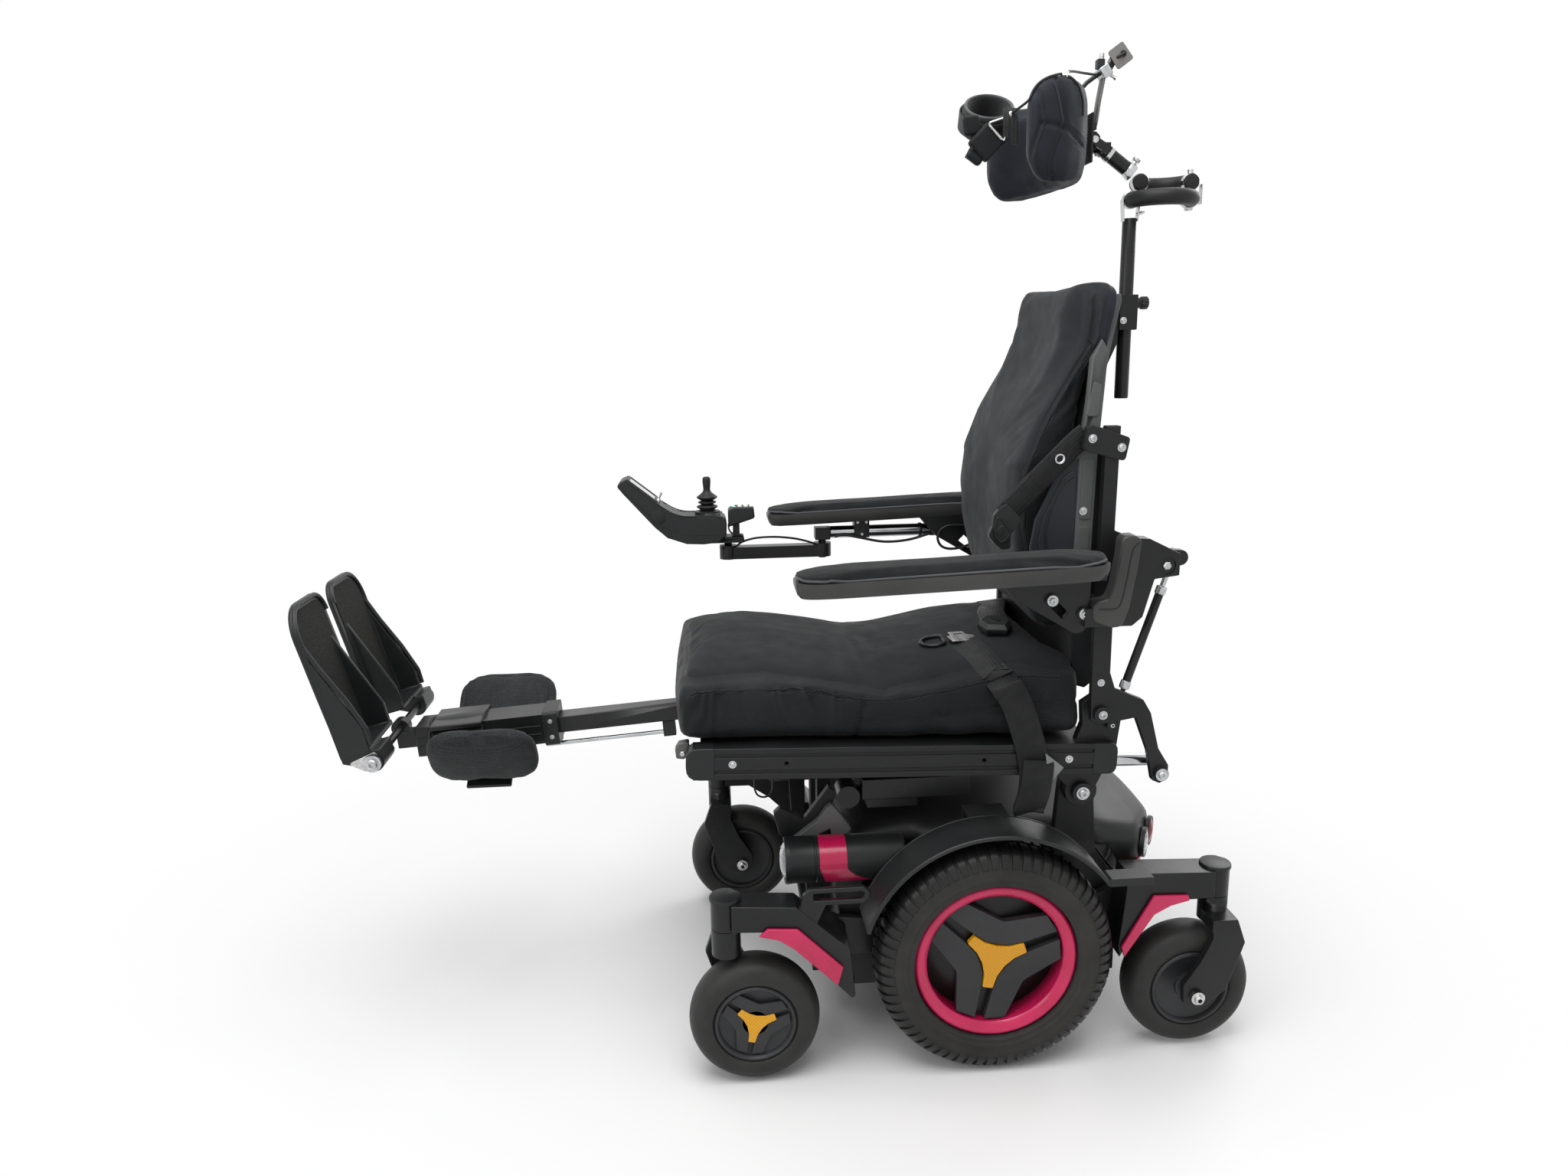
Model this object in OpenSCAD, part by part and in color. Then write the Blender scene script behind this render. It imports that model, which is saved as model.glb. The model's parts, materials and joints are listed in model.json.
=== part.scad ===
/* [Wheels] */
// Radius of the drive tyres
tyre_r = 175; // [172:1:177]
// Width of the drive tyres
tyre_w = 75; // [66:1:75]
// Distance of each drive wheel from the middle
drive_y = 262; // [262:1:264]
// Outer radius of the coloured rim ring
ring_r = 118; // [112:1:118]
// Radius of the caster wheels
caster_r = 95; // [92:1:96]
// Width of the caster wheels
caster_w = 62; // [54:1:62]
// Trail of each caster axle from its swivel
trail = 38; // [36:1:40]

/* [Base] */
// Drive axle behind the middle of the chair's length
axle_x = 296; // [290:1:300]
// Front swivel ahead of the axle
front_swivel_x = 386; // [380:1:390]
// Front swivel from the middle
front_swivel_y = 258; // [256:1:260]
// Rear swivel behind the axle
rear_swivel_x = 342; // [338:1:346]
// Rear swivel from the middle
rear_swivel_y = 236; // [234:1:238]
// Suspension pivots ahead of and behind the axle
arm_pivot_x = 120; // [116:1:124]
// Height of the suspension pivots
arm_pivot_z = 180; // [176:1:184]

/* [Seat] */
// Width between the outer faces of the seat rails
seat_w = 470; // [468:2:472]
// Height of the seat rails
rail_h = 46; // [44:1:48]
// Backward slope of the seat
seat_slope = 1.8; // [1:0.1:2]
// Width of the seat cushion
cushion_w = 456; // [440:2:458]
// Spacing of the two accessory holes in each rail
accessory_spacing = 283; // [260:1:290]
// Diameter of the accessory holes
accessory_d = 6.6; // [6.4:0.1:8.4]

/* [Armrests] */
// Outer edge of the armrest pads from the middle
arm_outer_y = 331; // [328:1:332]
// Width of the armrest pads
arm_pad_w = 73; // [66:1:73]
// Slope of the armrests, low at the front
arm_slope = 1.8; // [1:0.1:2]

/* [Legrest] */
// Slope of the raised legrest
leg_slope = 4; // [3:0.5:5]
// Lean of the footplates from upright
foot_lean = 14.8; // [13:0.1:16]

/* [Headrest] */
// Diameter of the headrest post
post_d = 21; // [19:0.5:21]
// Height of the headrest pad
head_pad_h = 140; // [136:1:144]

/* [Hidden] */
$fn = 48;

// Sides of the chair: a sub-part is drawn on the right and mirrored to the left
left = -1;
right = 1;

// Running clearance of pins in their bores
fit = 0.05;
// Gap between neighbouring pieces of one body
gap = 0.4;

// Layers across the chair, from the middle outwards
side_plate_y = [186, 192];
arm_tail_y = [198, 211];
tower_y = [206, 222];
link_y = [226, 238];
cane_y = [240, 252];
bracket_y = [256, 280];
fender_y = [228, 300];

// Seat and back pivots, as [x from the axle, height]
tilt_pivot = [138, 402];
recline_pivot = [152, 530];
bracket_pivot = [222, 746];
link_top = [252, 751];
link_low = recline_pivot + link_top - bracket_pivot;
lever_end = [242, 437];
knee_pivot = [-430, 480];
foot_pivot = [-885, 468];
head_pivot = [192, 1330];

// Seat rails
rail_front = -425;
rail_rear = 177;
rail_y = [seat_w / 2 - 30, seat_w / 2];
rail_mid_z = 465;
rail_mid_x = -124;
rod_r = 9;
accessory_x = -293;
accessory_depth = [22, 18];

// Pin and bolt radii
tilt_pin_r = 10;
recline_pin_r = 8;
link_pin_r = 5;
foot_pin_r = 6;
caster_axle_r = 6;
stem_r = 10;
arm_pin_r = 10;
axle_r = 12;
head_pin_r = 5;
knee_pin_r = 8;

// Outline of the cushions, as tables of [place, value]
cushion_front = -446;
cushion_rear = 116;
cushion_top = [[-446, 588], [-380, 594], [-320, 596], [-240, 583], [-150, 566],
               [-70, 578], [0, 593], [60, 599], [116, 600]];
cushion_crown = 12;
back_bottom = 626;
back_top = 1128;
back_front_x = [[626, 72], [700, 42], [790, 26], [866, 27], [930, 53], [986, 86],
                [1050, 110], [1128, 116]];
back_rear_x = [[626, 138], [760, 128], [893, 134], [960, 142], [1022, 158],
               [1095, 180], [1128, 182]];
back_half_w = [[626, 168], [790, 190], [900, 186], [1050, 168], [1128, 160]];
shell_t = 10;
shell_gap = 3.5;

// Colours
jet = [0.09, 0.09, 0.10];
dark = [0.16, 0.16, 0.17];
cloth = [0.12, 0.12, 0.13];
pink = [0.78, 0.07, 0.36];
zinc = [0.72, 0.73, 0.75];

// Places the chair so that its origin is under the middle of its length
module chair() translate([axle_x, 0, 0]) children();

// Draws a right-hand shape on the given side
module on(side) mirror([0, side == left ? 1 : 0, 0]) children();

// Draws a right-hand shape on both sides
module both() for (side = [left, right]) on(side) children();

// Slopes a shape about a line across the chair
module sloped(at, angle)
    translate([at[0], 0, at[1]]) rotate([0, angle, 0]) translate([-at[0], 0, -at[1]]) children();

// Upright outline in the side view, drawn between two distances across
module slab(outline, y)
    translate([0, y[1], 0]) rotate([90, 0, 0]) linear_extrude(y[1] - y[0]) polygon(outline);

// Round bar across the chair
module pin(at, r, y)
    translate([at[0], y[0], at[1]]) rotate([-90, 0, 0]) cylinder(r = r, h = y[1] - y[0]);

// Round bar along the chair
module bar(x, y, z, r)
    translate([x[0], y, z]) rotate([0, 90, 0]) cylinder(r = r, h = x[1] - x[0]);

// Round bar upright
module post(x, y, r, z)
    translate([x, y, z[0]]) cylinder(r = r, h = z[1] - z[0]);

// Box between pairs of limits
module box(x, y, z)
    translate([x[0], y[0], z[0]]) cube([x[1] - x[0], y[1] - y[0], z[1] - z[0]]);

// Turned shape about a line across the chair, from an outline of [radius, distance across]
module turned(x, y, z, outline)
    translate([x, y, z]) rotate([-90, 0, 0]) rotate_extrude($fn = 96) polygon(outline);

// Points of an arc
function arc(c, r, a0, a1, n) =
    [for (i = [0:n]) let (a = a0 + (a1 - a0) * i / n) c + r * [cos(a), sin(a)]];

// Signed power, for rounded-square outlines
function spow(v, e) = sign(v) * pow(abs(v), e);

// How far a rounded end of radius r draws in at distance d from the end
function drawn_in(d, r) = d >= r ? 0 : r - sqrt(r * r - (r - d) * (r - d));

// Middle of a ring of points
function middle(ring) = [for (k = [0:2]) let (v = [for (p = ring) p[k]]) v * [for (p = ring) 1] / len(ring)];

// Closed triangle skin over rings that have the same number of points
module skin(rings) {
    n = len(rings[0]);
    m = len(rings);
    points = concat([for (ring = rings) each ring], [middle(rings[0]), middle(rings[m - 1])]);
    sides = [for (i = [0:m - 2]) for (j = [0:n - 1])
        let (a = i * n + j, b = i * n + (j + 1) % n) each [[a, b + n, b], [a, a + n, b + n]]];
    ends = [for (j = [0:n - 1]) let (k = (j + 1) % n, s = (m - 1) * n)
        each [[j, k, m * n], [s + k, s + j, m * n + 1]]];
    polyhedron(points, concat(sides, ends));
}

// Ribbon of webbing along a route, wide along the given direction
module ribbon(route, wide, thick, w) {
    function along(i) = route[min(i + 1, len(route) - 1)] - route[max(i - 1, 0)];
    function out(i) = let (c = cross(along(i), w)) c / norm(c);
    skin([for (i = [0:len(route) - 1]) let (p = route[i], a = w / norm(w) * wide / 2, b = out(i) * thick / 2)
        [p - a - b, p + a - b, p + a + b, p - a + b]]);
}

// Chassis with its side plates, tilt towers, suspension pins, front rest and front strut
module base_frame() color(jet) chair() {
    box([-214, 212], [-192, 192], [90, 96]);
    box([-252, -206], [-150, 150], [90, 110]);
    for (x = [[-214, -207], [207, 212]]) box(x, [-187, 187], [95, 250]);
    both() {
        difference() {
            slab([[-190, 90], [212, 90], [212, 240], [170, 300], [-90, 300], [-95, 252], [-222, 252]], side_plate_y);
            pin([0, tyre_r], 30, [180, 200]);
        }
        box([-220, -180], [188, 197], [248, tube_z - tube_r - gap]);
        box([-30, 30], side_plate_y, [299, 369 - gap]);
        for (x = [-arm_pivot_x, arm_pivot_x]) pin([x, arm_pivot_z], arm_pin_r, [190, 214]);
        slab(concat([[104, 290], [172, 290]], arc(tilt_pivot, 26, 0, 180, 12)), [187, 202]);
        pin(tilt_pivot, tilt_pin_r, [190, 228]);
        pin(tilt_pivot, 15, [226, 231]);
        box([-234, -214], [44, 70], [96, 486]);
        slab([[-252, 96], [-235, 96], [-235, 318], [-212, 388], [-224, 396], [-262, 346], [-298, 366],
              [-308, 356], [-300, 322], [-264, 300]], [136, 150]);
    }
}

// Domed top cover: a shell that is open below, with cut-off corners for the tail lamps
cover_corner = [240, 194];
cover_back = [300, 96];
lens_normal = [cover_corner[1] - cover_back[1], cover_back[0] - cover_corner[0]] / norm(cover_back - cover_corner);
function cover_plan(t) = [
    [-205 + t, 158 - t], [-94 - t, 158 - t], [-88 - t, 184 - t], [172 + t, 184 - t], [180 + t, 194 - t],
    [cover_corner[0], cover_corner[1] - t], [cover_back[0] - t, cover_back[1]], [304 - t, 0],
    [cover_back[0] - t, -cover_back[1]], [cover_corner[0], t - cover_corner[1]], [180 + t, t - 194],
    [172 + t, t - 184], [-88 - t, t - 184], [-94 - t, t - 158], [-205 + t, t - 158]];
function cover_side(t) = concat(
    [[-206, 300 - t], [-206, 318 - t]], arc([-150, 290 - t], 60, 150, 100, 6),
    arc([30, -2400 - t], 2756, 93, 87, 12), arc([236, 286 - t], 64, 62, 4, 8), [[306, 258 - t], [214, 258 - t], [206, 300 - t]]);
module cover_block(t) intersection() {
    translate([0, 0, 240]) linear_extrude(140) polygon(cover_plan(t));
    slab(cover_side(t), [-200, 200]);
    translate([-210, 0, 0]) rotate([90, 0, 90]) linear_extrude(520)
        polygon(concat([[-200, 240]], arc([0, -560 - t], 916, 101, 79, 16), [[200, 240]]));
}
module base_cover() color(jet) chair() difference() {
    cover_block(0);
    translate([0, 0, -0.1]) cover_block(3.5);
}

// Two sealed batteries
module batteries() color(dark) chair()
    for (x = [[-205, -56], [56, 205]]) box(x, [-166, 166], [96 + gap, 246]);

// Gear motors with their axle stubs
module drive_motors() color(dark) chair() both() {
    pin([0, tyre_r], 48, [70, 185.5]);
    pin([0, tyre_r], 26, [185.5, 214]);
    pin([0, tyre_r], axle_r, [214, drive_y + 16]);
}

// Electronic power module under the cover
module power_module() color(dark) chair() {
    box([-60, 60], [-62, 62], [248, 288]);
    for (x = [-45:15:45]) box([x - 2, x + 2], [-60, 60], [288, 296]);
}

// Side tubes that carry the headlights
tube_y = 193;
tube_z = 302;
tube_r = 34;
module side_tubes() color(jet) chair() both() {
    difference() {
        bar([-296, -118], tube_y, tube_z, tube_r);
        bar([-297, -130], tube_y, tube_z, tube_r - 3);
    }
}

// Headlight and tail lamp lenses
module lamp_lenses() color([0.8, 0.3, 0.3]) chair() both() {
    bar([-304, -280], tube_y, tube_z, tube_r - 3 - gap);
    for (t = [0.3, 0.7]) let (at = cover_corner + t * (cover_back - cover_corner), n = lens_normal)
        translate([at[0] + gap * n[0], at[1] + gap * n[1], 288])
            rotate([0, 0, atan2(n[1], n[0])]) rotate([0, 90, 0]) cylinder(r = 21, h = 9);
}

// Fenders over the drive tyres, with a flat step behind
fender_r = tyre_r + 19;
module fenders() color(dark) chair() both() {
    slab(concat(arc([0, tyre_r], fender_r, 162, 36, 28), arc([0, tyre_r], fender_r + 5, 36, 162, 28)), fender_y);
    slab([[154, 294], [160, 288], [222, 288], [222, 300], [160, 300]], [270, fender_y[1]]);
    box([-30, 30], [186, 230], [369, 373]);
}

// Pneumatic drive tyre
module drive_tyre(side) color(jet) chair() on(side)
    turned(0, drive_y, tyre_r, concat(
        [[ring_r + 1.2, 27], [ring_r + 1.2, -27]], arc([140, -tyre_w / 2 + 20], 20, 230, 270, 4),
        arc([tyre_r - 20, -tyre_w / 2 + 20], 20, 270, 350, 6), [[tyre_r, -12], [tyre_r, 12]],
        arc([tyre_r - 20, tyre_w / 2 - 20], 20, 10, 90, 6), arc([140, tyre_w / 2 - 20], 20, 90, 130, 4)));

// Wheel with a coloured ring and three broad spokes
module drive_rim(side) color(pink) chair() on(side) difference() {
    union() {
        turned(0, drive_y, tyre_r, [[ring_r - 8, -28], [ring_r, -28], [ring_r, 28], [ring_r - 16, 28],
                                    [ring_r - 16, 20], [ring_r - 8, 14]]);
        pin([0, tyre_r], 34, [drive_y - 30, drive_y + 12]);
        translate([0, drive_y + 4, tyre_r]) rotate([-90, 0, 0]) for (a = [30, 150, 270]) rotate([0, 0, a])
            linear_extrude(14) polygon([[20, -15], [70, -18], [ring_r - 6, -40], [ring_r - 6, 40], [70, 18], [20, 15]]);
    }
    pin([0, tyre_r], axle_r + fit, [drive_y - 40, drive_y + 40]);
}

// Suspension arm plates: an outer beam to the swivel housing and a tail to the pivot
front_beam = [[-378, 280], [-286, 274], [-210, 204], [-203, 130], [-208, 126], [-230, 150], [-293, 212],
              [-330, 238], [-378, 240]];
front_block = [[-258, 218], [-224, 218], [-210, 204], [-203, 130], [-208, 126], [-230, 150]];
rear_beam = [[200, 286], [332, 281], [332, 240], [292, 240], [239, 248], [193, 152], [190, 172], [197, 240]];
rear_block = [[197, 240], [239, 248], [193, 152], [190, 172]];

module arm_body(swivel_x, swivel_y, pivot_x, beam, block, beam_y) difference() {
    union() {
        post(swivel_x, swivel_y, 21, [238, 282]);
        slab(beam, beam_y);
        slab(block, [arm_tail_y[0], beam_y[1]]);
        slab(concat([block[0], block[len(block) - 1]],
                    arc([pivot_x, arm_pivot_z], 25, pivot_x < 0 ? -90 : 270, pivot_x < 0 ? 90 : 90, 14)), arm_tail_y);
    }
    post(swivel_x, swivel_y, stem_r + fit, [230, 275]);
    pin([pivot_x, arm_pivot_z], arm_pin_r + fit, [190, 220]);
}
module caster_arm_front(side) color(jet) chair() on(side) {
    arm_body(-front_swivel_x, front_swivel_y, -arm_pivot_x, front_beam, front_block, [240, 284]);
    difference() {
        slab([[-284, 262], [-276, 292], [-266, 300], [-190, 300], [-181, 291], [-181, 283], [-190, 275], [-244, 275],
              [-258, 244]], [274, 283]);
        slab([[-262, 282], [-262, 293], [-192, 293], [-188, 288], [-192, 282]], [270, 290]);
    }
}
module caster_arm_rear(side) color(jet) chair() on(side)
    arm_body(rear_swivel_x, rear_swivel_y, arm_pivot_x, rear_beam, rear_block, [214, 262]);

// Coloured cover strips on the arms
module arm_cover_front(side) color(pink) chair() on(side)
    slab([[-340, 235], [-328, 246], [-285, 243], [-221, 180], [-229, 152], [-291, 213], [-312, 228]], [284 + gap, 290]);
module arm_cover_rear(side) color(pink) chair() on(side)
    slab([[292, 242], [290, 250], [238, 252], [193, 172], [198, 156], [240, 222], [264, 235]], [262 + gap, 268]);

// Single-sided caster fork, drawn at the swivel line with its wheel trailing towards +X
leg_inner = caster_w / 2 + 4;
module fork_body() {
    post(0, 0, stem_r, [230, 274]);
    post(0, 0, 21, [196, 237]);
    box([-18, 20], [0, leg_inner + 12], [197, 215]);
    slab([[20, 215], [18, 187], [34, 150], [58, 112], [57, 84], [40, 75], [20, 80], [-8, 104], [-31, 178], [-18, 215]],
         [leg_inner, leg_inner + 12]);
    pin([trail, caster_r], 13, [caster_w / 2 - 6, leg_inner + 1]);
    pin([trail, caster_r], caster_axle_r, [-caster_w / 2 + 8, leg_inner + 17]);
    pin([trail, caster_r], 10, [leg_inner + 11, leg_inner + 18]);
}
module caster_fork_front(side) color(jet) chair() on(side)
    translate([-front_swivel_x, front_swivel_y, 0]) mirror([0, 1, 0]) fork_body();
module caster_fork_rear(side) color(jet) chair() on(side)
    translate([rear_swivel_x, rear_swivel_y, 0]) rotate([0, 0, 180]) mirror([0, 1, 0]) fork_body();

// Caster wheel: soft tyre moulded on a dished hub
caster_outline = concat(
    [[caster_axle_r + fit, 22], [caster_axle_r + fit, -22], [20, -22], [20, -14], [52, -14], [60, -24]],
    arc([caster_r - 22, 22 - caster_w / 2], 22, 250, 352, 8), arc([caster_r - 22, caster_w / 2 - 22], 22, 8, 110, 8),
    [[60, 24], [52, 14], [20, 14], [20, 22]]);
module caster_wheel_front(side) color(dark) chair() on(side)
    turned(trail - front_swivel_x, front_swivel_y, caster_r, caster_outline);
module caster_wheel_rear(side) color(dark) chair() on(side)
    turned(rear_swivel_x - trail, rear_swivel_y, caster_r, caster_outline);

// Seat frame: slotted rails, pan, cross tubes, tilt lugs, recline towers and knee lugs
module sloped_seat() sloped([rail_mid_x, rail_mid_z], seat_slope) children();
module rail() difference() {
    box([rail_front, rail_rear], rail_y, [rail_mid_z - rail_h / 2, rail_mid_z + rail_h / 2]);
    for (z = [rail_mid_z - 12, rail_mid_z + 12])
        box([rail_front + 14, rail_rear - 14], [rail_y[1] - 3, rail_y[1] + 1], [z - 2.5, z + 2.5]);
    for (i = [0, 1])
        pin([accessory_x + i * accessory_spacing, rail_mid_z], accessory_d / 2,
            [rail_y[1] - accessory_depth[i], rail_y[1] + 1]);
    bar([20, rail_rear + 1], rail_y[0] + 15, rail_mid_z - 8, rod_r + fit);
}
module seat_frame() color(jet) chair() {
    sloped_seat() {
        both() rail();
        box([-414, 150], [1 - rail_y[0], rail_y[0] - 1], [484, 487]);
        for (x = [-395, 120]) for (s = [-1, 1])
            pin([x, 472], 13, s < 0 ? [-rail_y[0] - 1, 0] : [0, rail_y[0] + 1]);
    }
    both() {
        difference() {
            union() {
                slab(concat([[92, 437], [172, 434.5]], arc(tilt_pivot, 24, 20, -200, 16)), tower_y);
                slab([[124, 470], [188, 468], [196, 535], [182, 546], [168, 542], [152, 548], [134, 536], [136, 505]], tower_y);
            }
            pin(tilt_pivot, tilt_pin_r + fit, [200, 230]);
        }
        pin(recline_pivot, recline_pin_r, [212, 256]);
        pin(recline_pivot, 12, [cane_y[1] + 1, 258]);
        pin(link_low, link_pin_r, [212, link_y[1] + 1]);
        pin([175, 506], 8, [220, 237]);
        slab([[-410, 470], [-380, 470], [-385, 492], [-430, 498], [-446, 486], [-446, 474], [-432, 463]], [24, 38]);
        box([-410, -384], [24, 38], [470, 496]);
    }
    pin(knee_pivot, knee_pin_r, [-30, 30]);
}

// Contoured seat cushion: crowned top, sides drawn in between the corners
cushion_cuts = [0, 4, 12, 28, 60, 110, 165, 220, 275, 330, 385, 440, 490, 525, 545, 556, 562];
function cushion_bottom(x) = 500.5 - (x - cushion_front) * tan(seat_slope);
function cushion_ring(d) =
    let (x = cushion_front + d, length = cushion_rear - cushion_front,
         in_end = drawn_in(min(d, length - d), 28),
         u = d / length, low = cushion_bottom(x), high = lookup(x, cushion_top),
         a = cushion_w / 2 - 0.6 * in_end - 5 * sin(180 * u), b = (high - low) / 2 - 0.45 * in_end)
    [for (i = [0:31]) let (t = 360 * i / 32, y = a * spow(cos(t), 0.35), s = sin(t))
        [x, y, (high + low) / 2 + b * spow(s, 0.4) + (s > 0 ? s * cushion_crown * (1 - pow(y / a, 2)) : 0)]];
module seat_cushion() color(cloth) chair() skin([for (d = cushion_cuts) cushion_ring(d)]);

// Height of a point lying on the seat cushion
function on_seat(x, y) = lookup(x, cushion_top) + cushion_crown * (1 - pow(2 * y / cushion_w, 2)) + 3;

// Lap belt: a short half with its tongue and ring on the left, a half with its buckle from the right
belt_left = [[-8, -96, 0], [-4, -140, 0], [4, -180, 0], [10, -206, 0]];
belt_drop = [[18, -234, 590], [24, -238.6, 575], [36, -239, 540], [56, -239, 500], [68, -239, 470], [80, -239, 436]];
belt_right = [[44, -40, 0], [66, 30, 0], [90, 110, 0], [102, 170, 0], [106, 204, 0]];
function laid(route) = [for (p = route) [p[0], p[1], on_seat(p[0], p[1])]];
module lap_belt() color(cloth) chair() {
    ribbon(concat(laid(belt_left), belt_drop), 44, 2.4, [1, 0, 0.18]);
    ribbon(concat(laid(belt_right), [[110, 233, 592], [112, 238.6, 570], [112, 239, 530], [112, 239, 478]]), 44, 2.4, [1, 0, 0.1]);
    translate([44, -70, on_seat(44, -60) + 6]) cube([46, 58, 15], center = true);
    translate([-10, -78, on_seat(-10, -78) + 2]) cube([40, 44, 3], center = true);
    translate([-52, -74, on_seat(-50, -74) + 2]) rotate_extrude() translate([16, 0]) circle(r = 3, $fn = 16);
}

// Seat function motors and their boxes under the pan
module seat_actuators() color(dark) chair() {
    both() {
        box([-180, -20], [112, 196], [392, 424]);
        box([-172, -96], [120, 190], [376, 392]);
        pin([-200, 396], 17, [156, 192]);
        for (x = [-168, -32]) box([x - 8, x + 8], [140, 170], [424, 478]);
        box([-208, -180], [155, 185], [392, 400]);
    }
    bar([-330, -60], 0, 446, 24);
}

// Chrome rods that push the back upright
module recline_rods() color(zinc) chair() sloped_seat() both()
    bar([100, 250], rail_y[0] + 15, rail_mid_z - 8, rod_r);

// Back frame: uprights, canes with their lever ends, cross bars, bracket pins and the headrest clamp
cane = [[137, 520], [148, 514], [166, 516], [202, 522], [222, 470], [231, 426], [242, 421], [254, 428], [254, 448],
        [238, 474], [224, 528], [212, 548], [170, 566], [162, 590], [162, 690], [136, 690], [136, 560]];
module back_frame() color(jet) chair() {
    both() {
        slab([[148, 592], [168, 592], [170, 740], [226, 732], [238, 746], [228, 762], [170, 786],
              [172, 930], [152, 930]], tower_y);
        difference() {
            slab(cane, cane_y);
            pin(recline_pivot, recline_pin_r + fit, [230, 260]);
        }
        for (z = [606, 676]) pin([154, z], 7, [tower_y[1] - 1, cane_y[0] + 1]);
        pin(bracket_pivot, recline_pin_r, [tower_y[0], 254]);
        pin(lever_end, 6, [234, 258]);
        pin(lever_end, 10, [cane_y[1], 259]);
    }
    for (z = [700, 900]) pin([160, z], 8, [-tower_y[0] - 1, tower_y[0] + 1]);
    difference() {
        union() {
            slab([[160, 893], [176, 893], [240, 1036], [244, 1110], [228, 1110], [204, 1040], [158, 907]], [-14, 14]);
            box([241, 269], [-18, 18], [1058, 1110]);
        }
        post(256, 0, post_d / 2 + fit, [1000, 1120]);
    }
    bar([268, 279], 0, 1098, 8);
}

// Back shell: a panel that follows the cushion, with side channels
shell_cuts = [640, 760, 893, 960, 1022, 1095, 1106];
module back_shell() color([0.24, 0.25, 0.24]) chair() {
    slab(concat([for (z = shell_cuts) [lookup(z, back_rear_x) + shell_gap, z]],
                [for (i = [len(shell_cuts) - 1:-1:0]) [lookup(shell_cuts[i], back_rear_x) + shell_t, shell_cuts[i]]]), [-190, 190]);
    both() slab([[118, 700], [143, 700], [148, 893], [154, 985], [164, 1030], [156, 1046], [140, 1020], [131, 960], [123, 893]],
                [188.5, 204]);
    both() slab([[128, 760], [128, 892], [96, 868], [64, 800], [58, 760], [72, 720], [128, 702]], [192, 200]);
}

// Contoured back cushion with deep sides
back_cuts = [0, 5, 14, 30, 70, 130, 190, 250, 310, 370, 420, 460, 482, 496, 502];
function back_ring(d) =
    let (z = back_bottom + d, in_end = drawn_in(min(d, back_top - back_bottom - d), 34),
         front = lookup(z, back_front_x), rear = lookup(z, back_rear_x),
         a = (rear - front) / 2 - 0.5 * in_end, b = lookup(z, back_half_w) - 0.7 * in_end)
    [for (i = [0:31]) let (t = 360 * i / 32, y = b * spow(sin(t), 0.42), c = cos(t))
        [(front + rear) / 2 + a * spow(c, 0.42) + (c < 0 ? 16 * (1 - pow(y / b, 2)) : 0), y, z]];
module back_cushion() color(cloth) chair() skin([for (d = back_cuts) back_ring(d)]);

// Chest belt: a strap on each side with its fixing plate, and a buckle on the left
module chest_belt() color(cloth) chair() {
    both() {
        slab([[120, 898], [126, 934], [184, 914], [178, 882]], [224, 227]);
        slab([[118, 898], [124, 932], [138, 928], [132, 894]], [208, 225]);
        pin([131, 914], 6, [204.5, 229]);
        pin([172, 901], 6, [tower_y[1] + gap, 229]);
    }
    on(right) slab([[84, 890], [122, 930], [120, 900], [104, 868]], [208, 210.5]);
    on(left) slab([[13, 830], [122, 930], [120, 900], [34, 804]], [208, 210.5]);
    on(left) slab([[34, 804], [13, 830], [-2, 816], [-10, 786], [0, 768], [22, 764], [34, 784]], [206, 219]);
}

// Levelling crank of each armrest
module arm_crank(side) color(dark) chair() on(side) {
    difference() {
        slab(concat(arc(bracket_pivot, 17, 100, 265, 10), arc(link_top, 11, -85, 95, 8)), [cane_y[0], 254]);
        pin(bracket_pivot, recline_pin_r + fit, [230, 260]);
    }
    pin(link_top, link_pin_r - 0.5, [link_y[0], 245]);
    difference() {
        pin(bracket_pivot, 12, [253, 278]);
        pin(bracket_pivot, recline_pin_r + fit, [230, 256]);
    }
}

// Levelling link of each armrest: two eyes, a threaded rod and a sleeve
link_lean = atan2(link_top[0] - link_low[0], link_top[1] - link_low[1]);
link_len = norm(link_top - link_low);
module arm_link(side) color(dark) chair() on(side) difference() {
    union() {
        pin(link_low, 10, link_y);
        pin(link_top, 10, link_y);
        translate([link_low[0], 232, link_low[1]]) rotate([0, link_lean, 0]) {
            cylinder(r = 4, h = link_len);
            translate([0, 0, 30]) cylinder(r = 6, h = 112);
            translate([0, 0, 26]) cylinder(r = 7.5, h = 12);
            translate([0, 0, 134]) cylinder(r = 7.5, h = 14);
        }
    }
    pin(link_low, link_pin_r + fit, [220, 245]);
    pin(link_top, link_pin_r + 1, [220, 245]);
}

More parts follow.
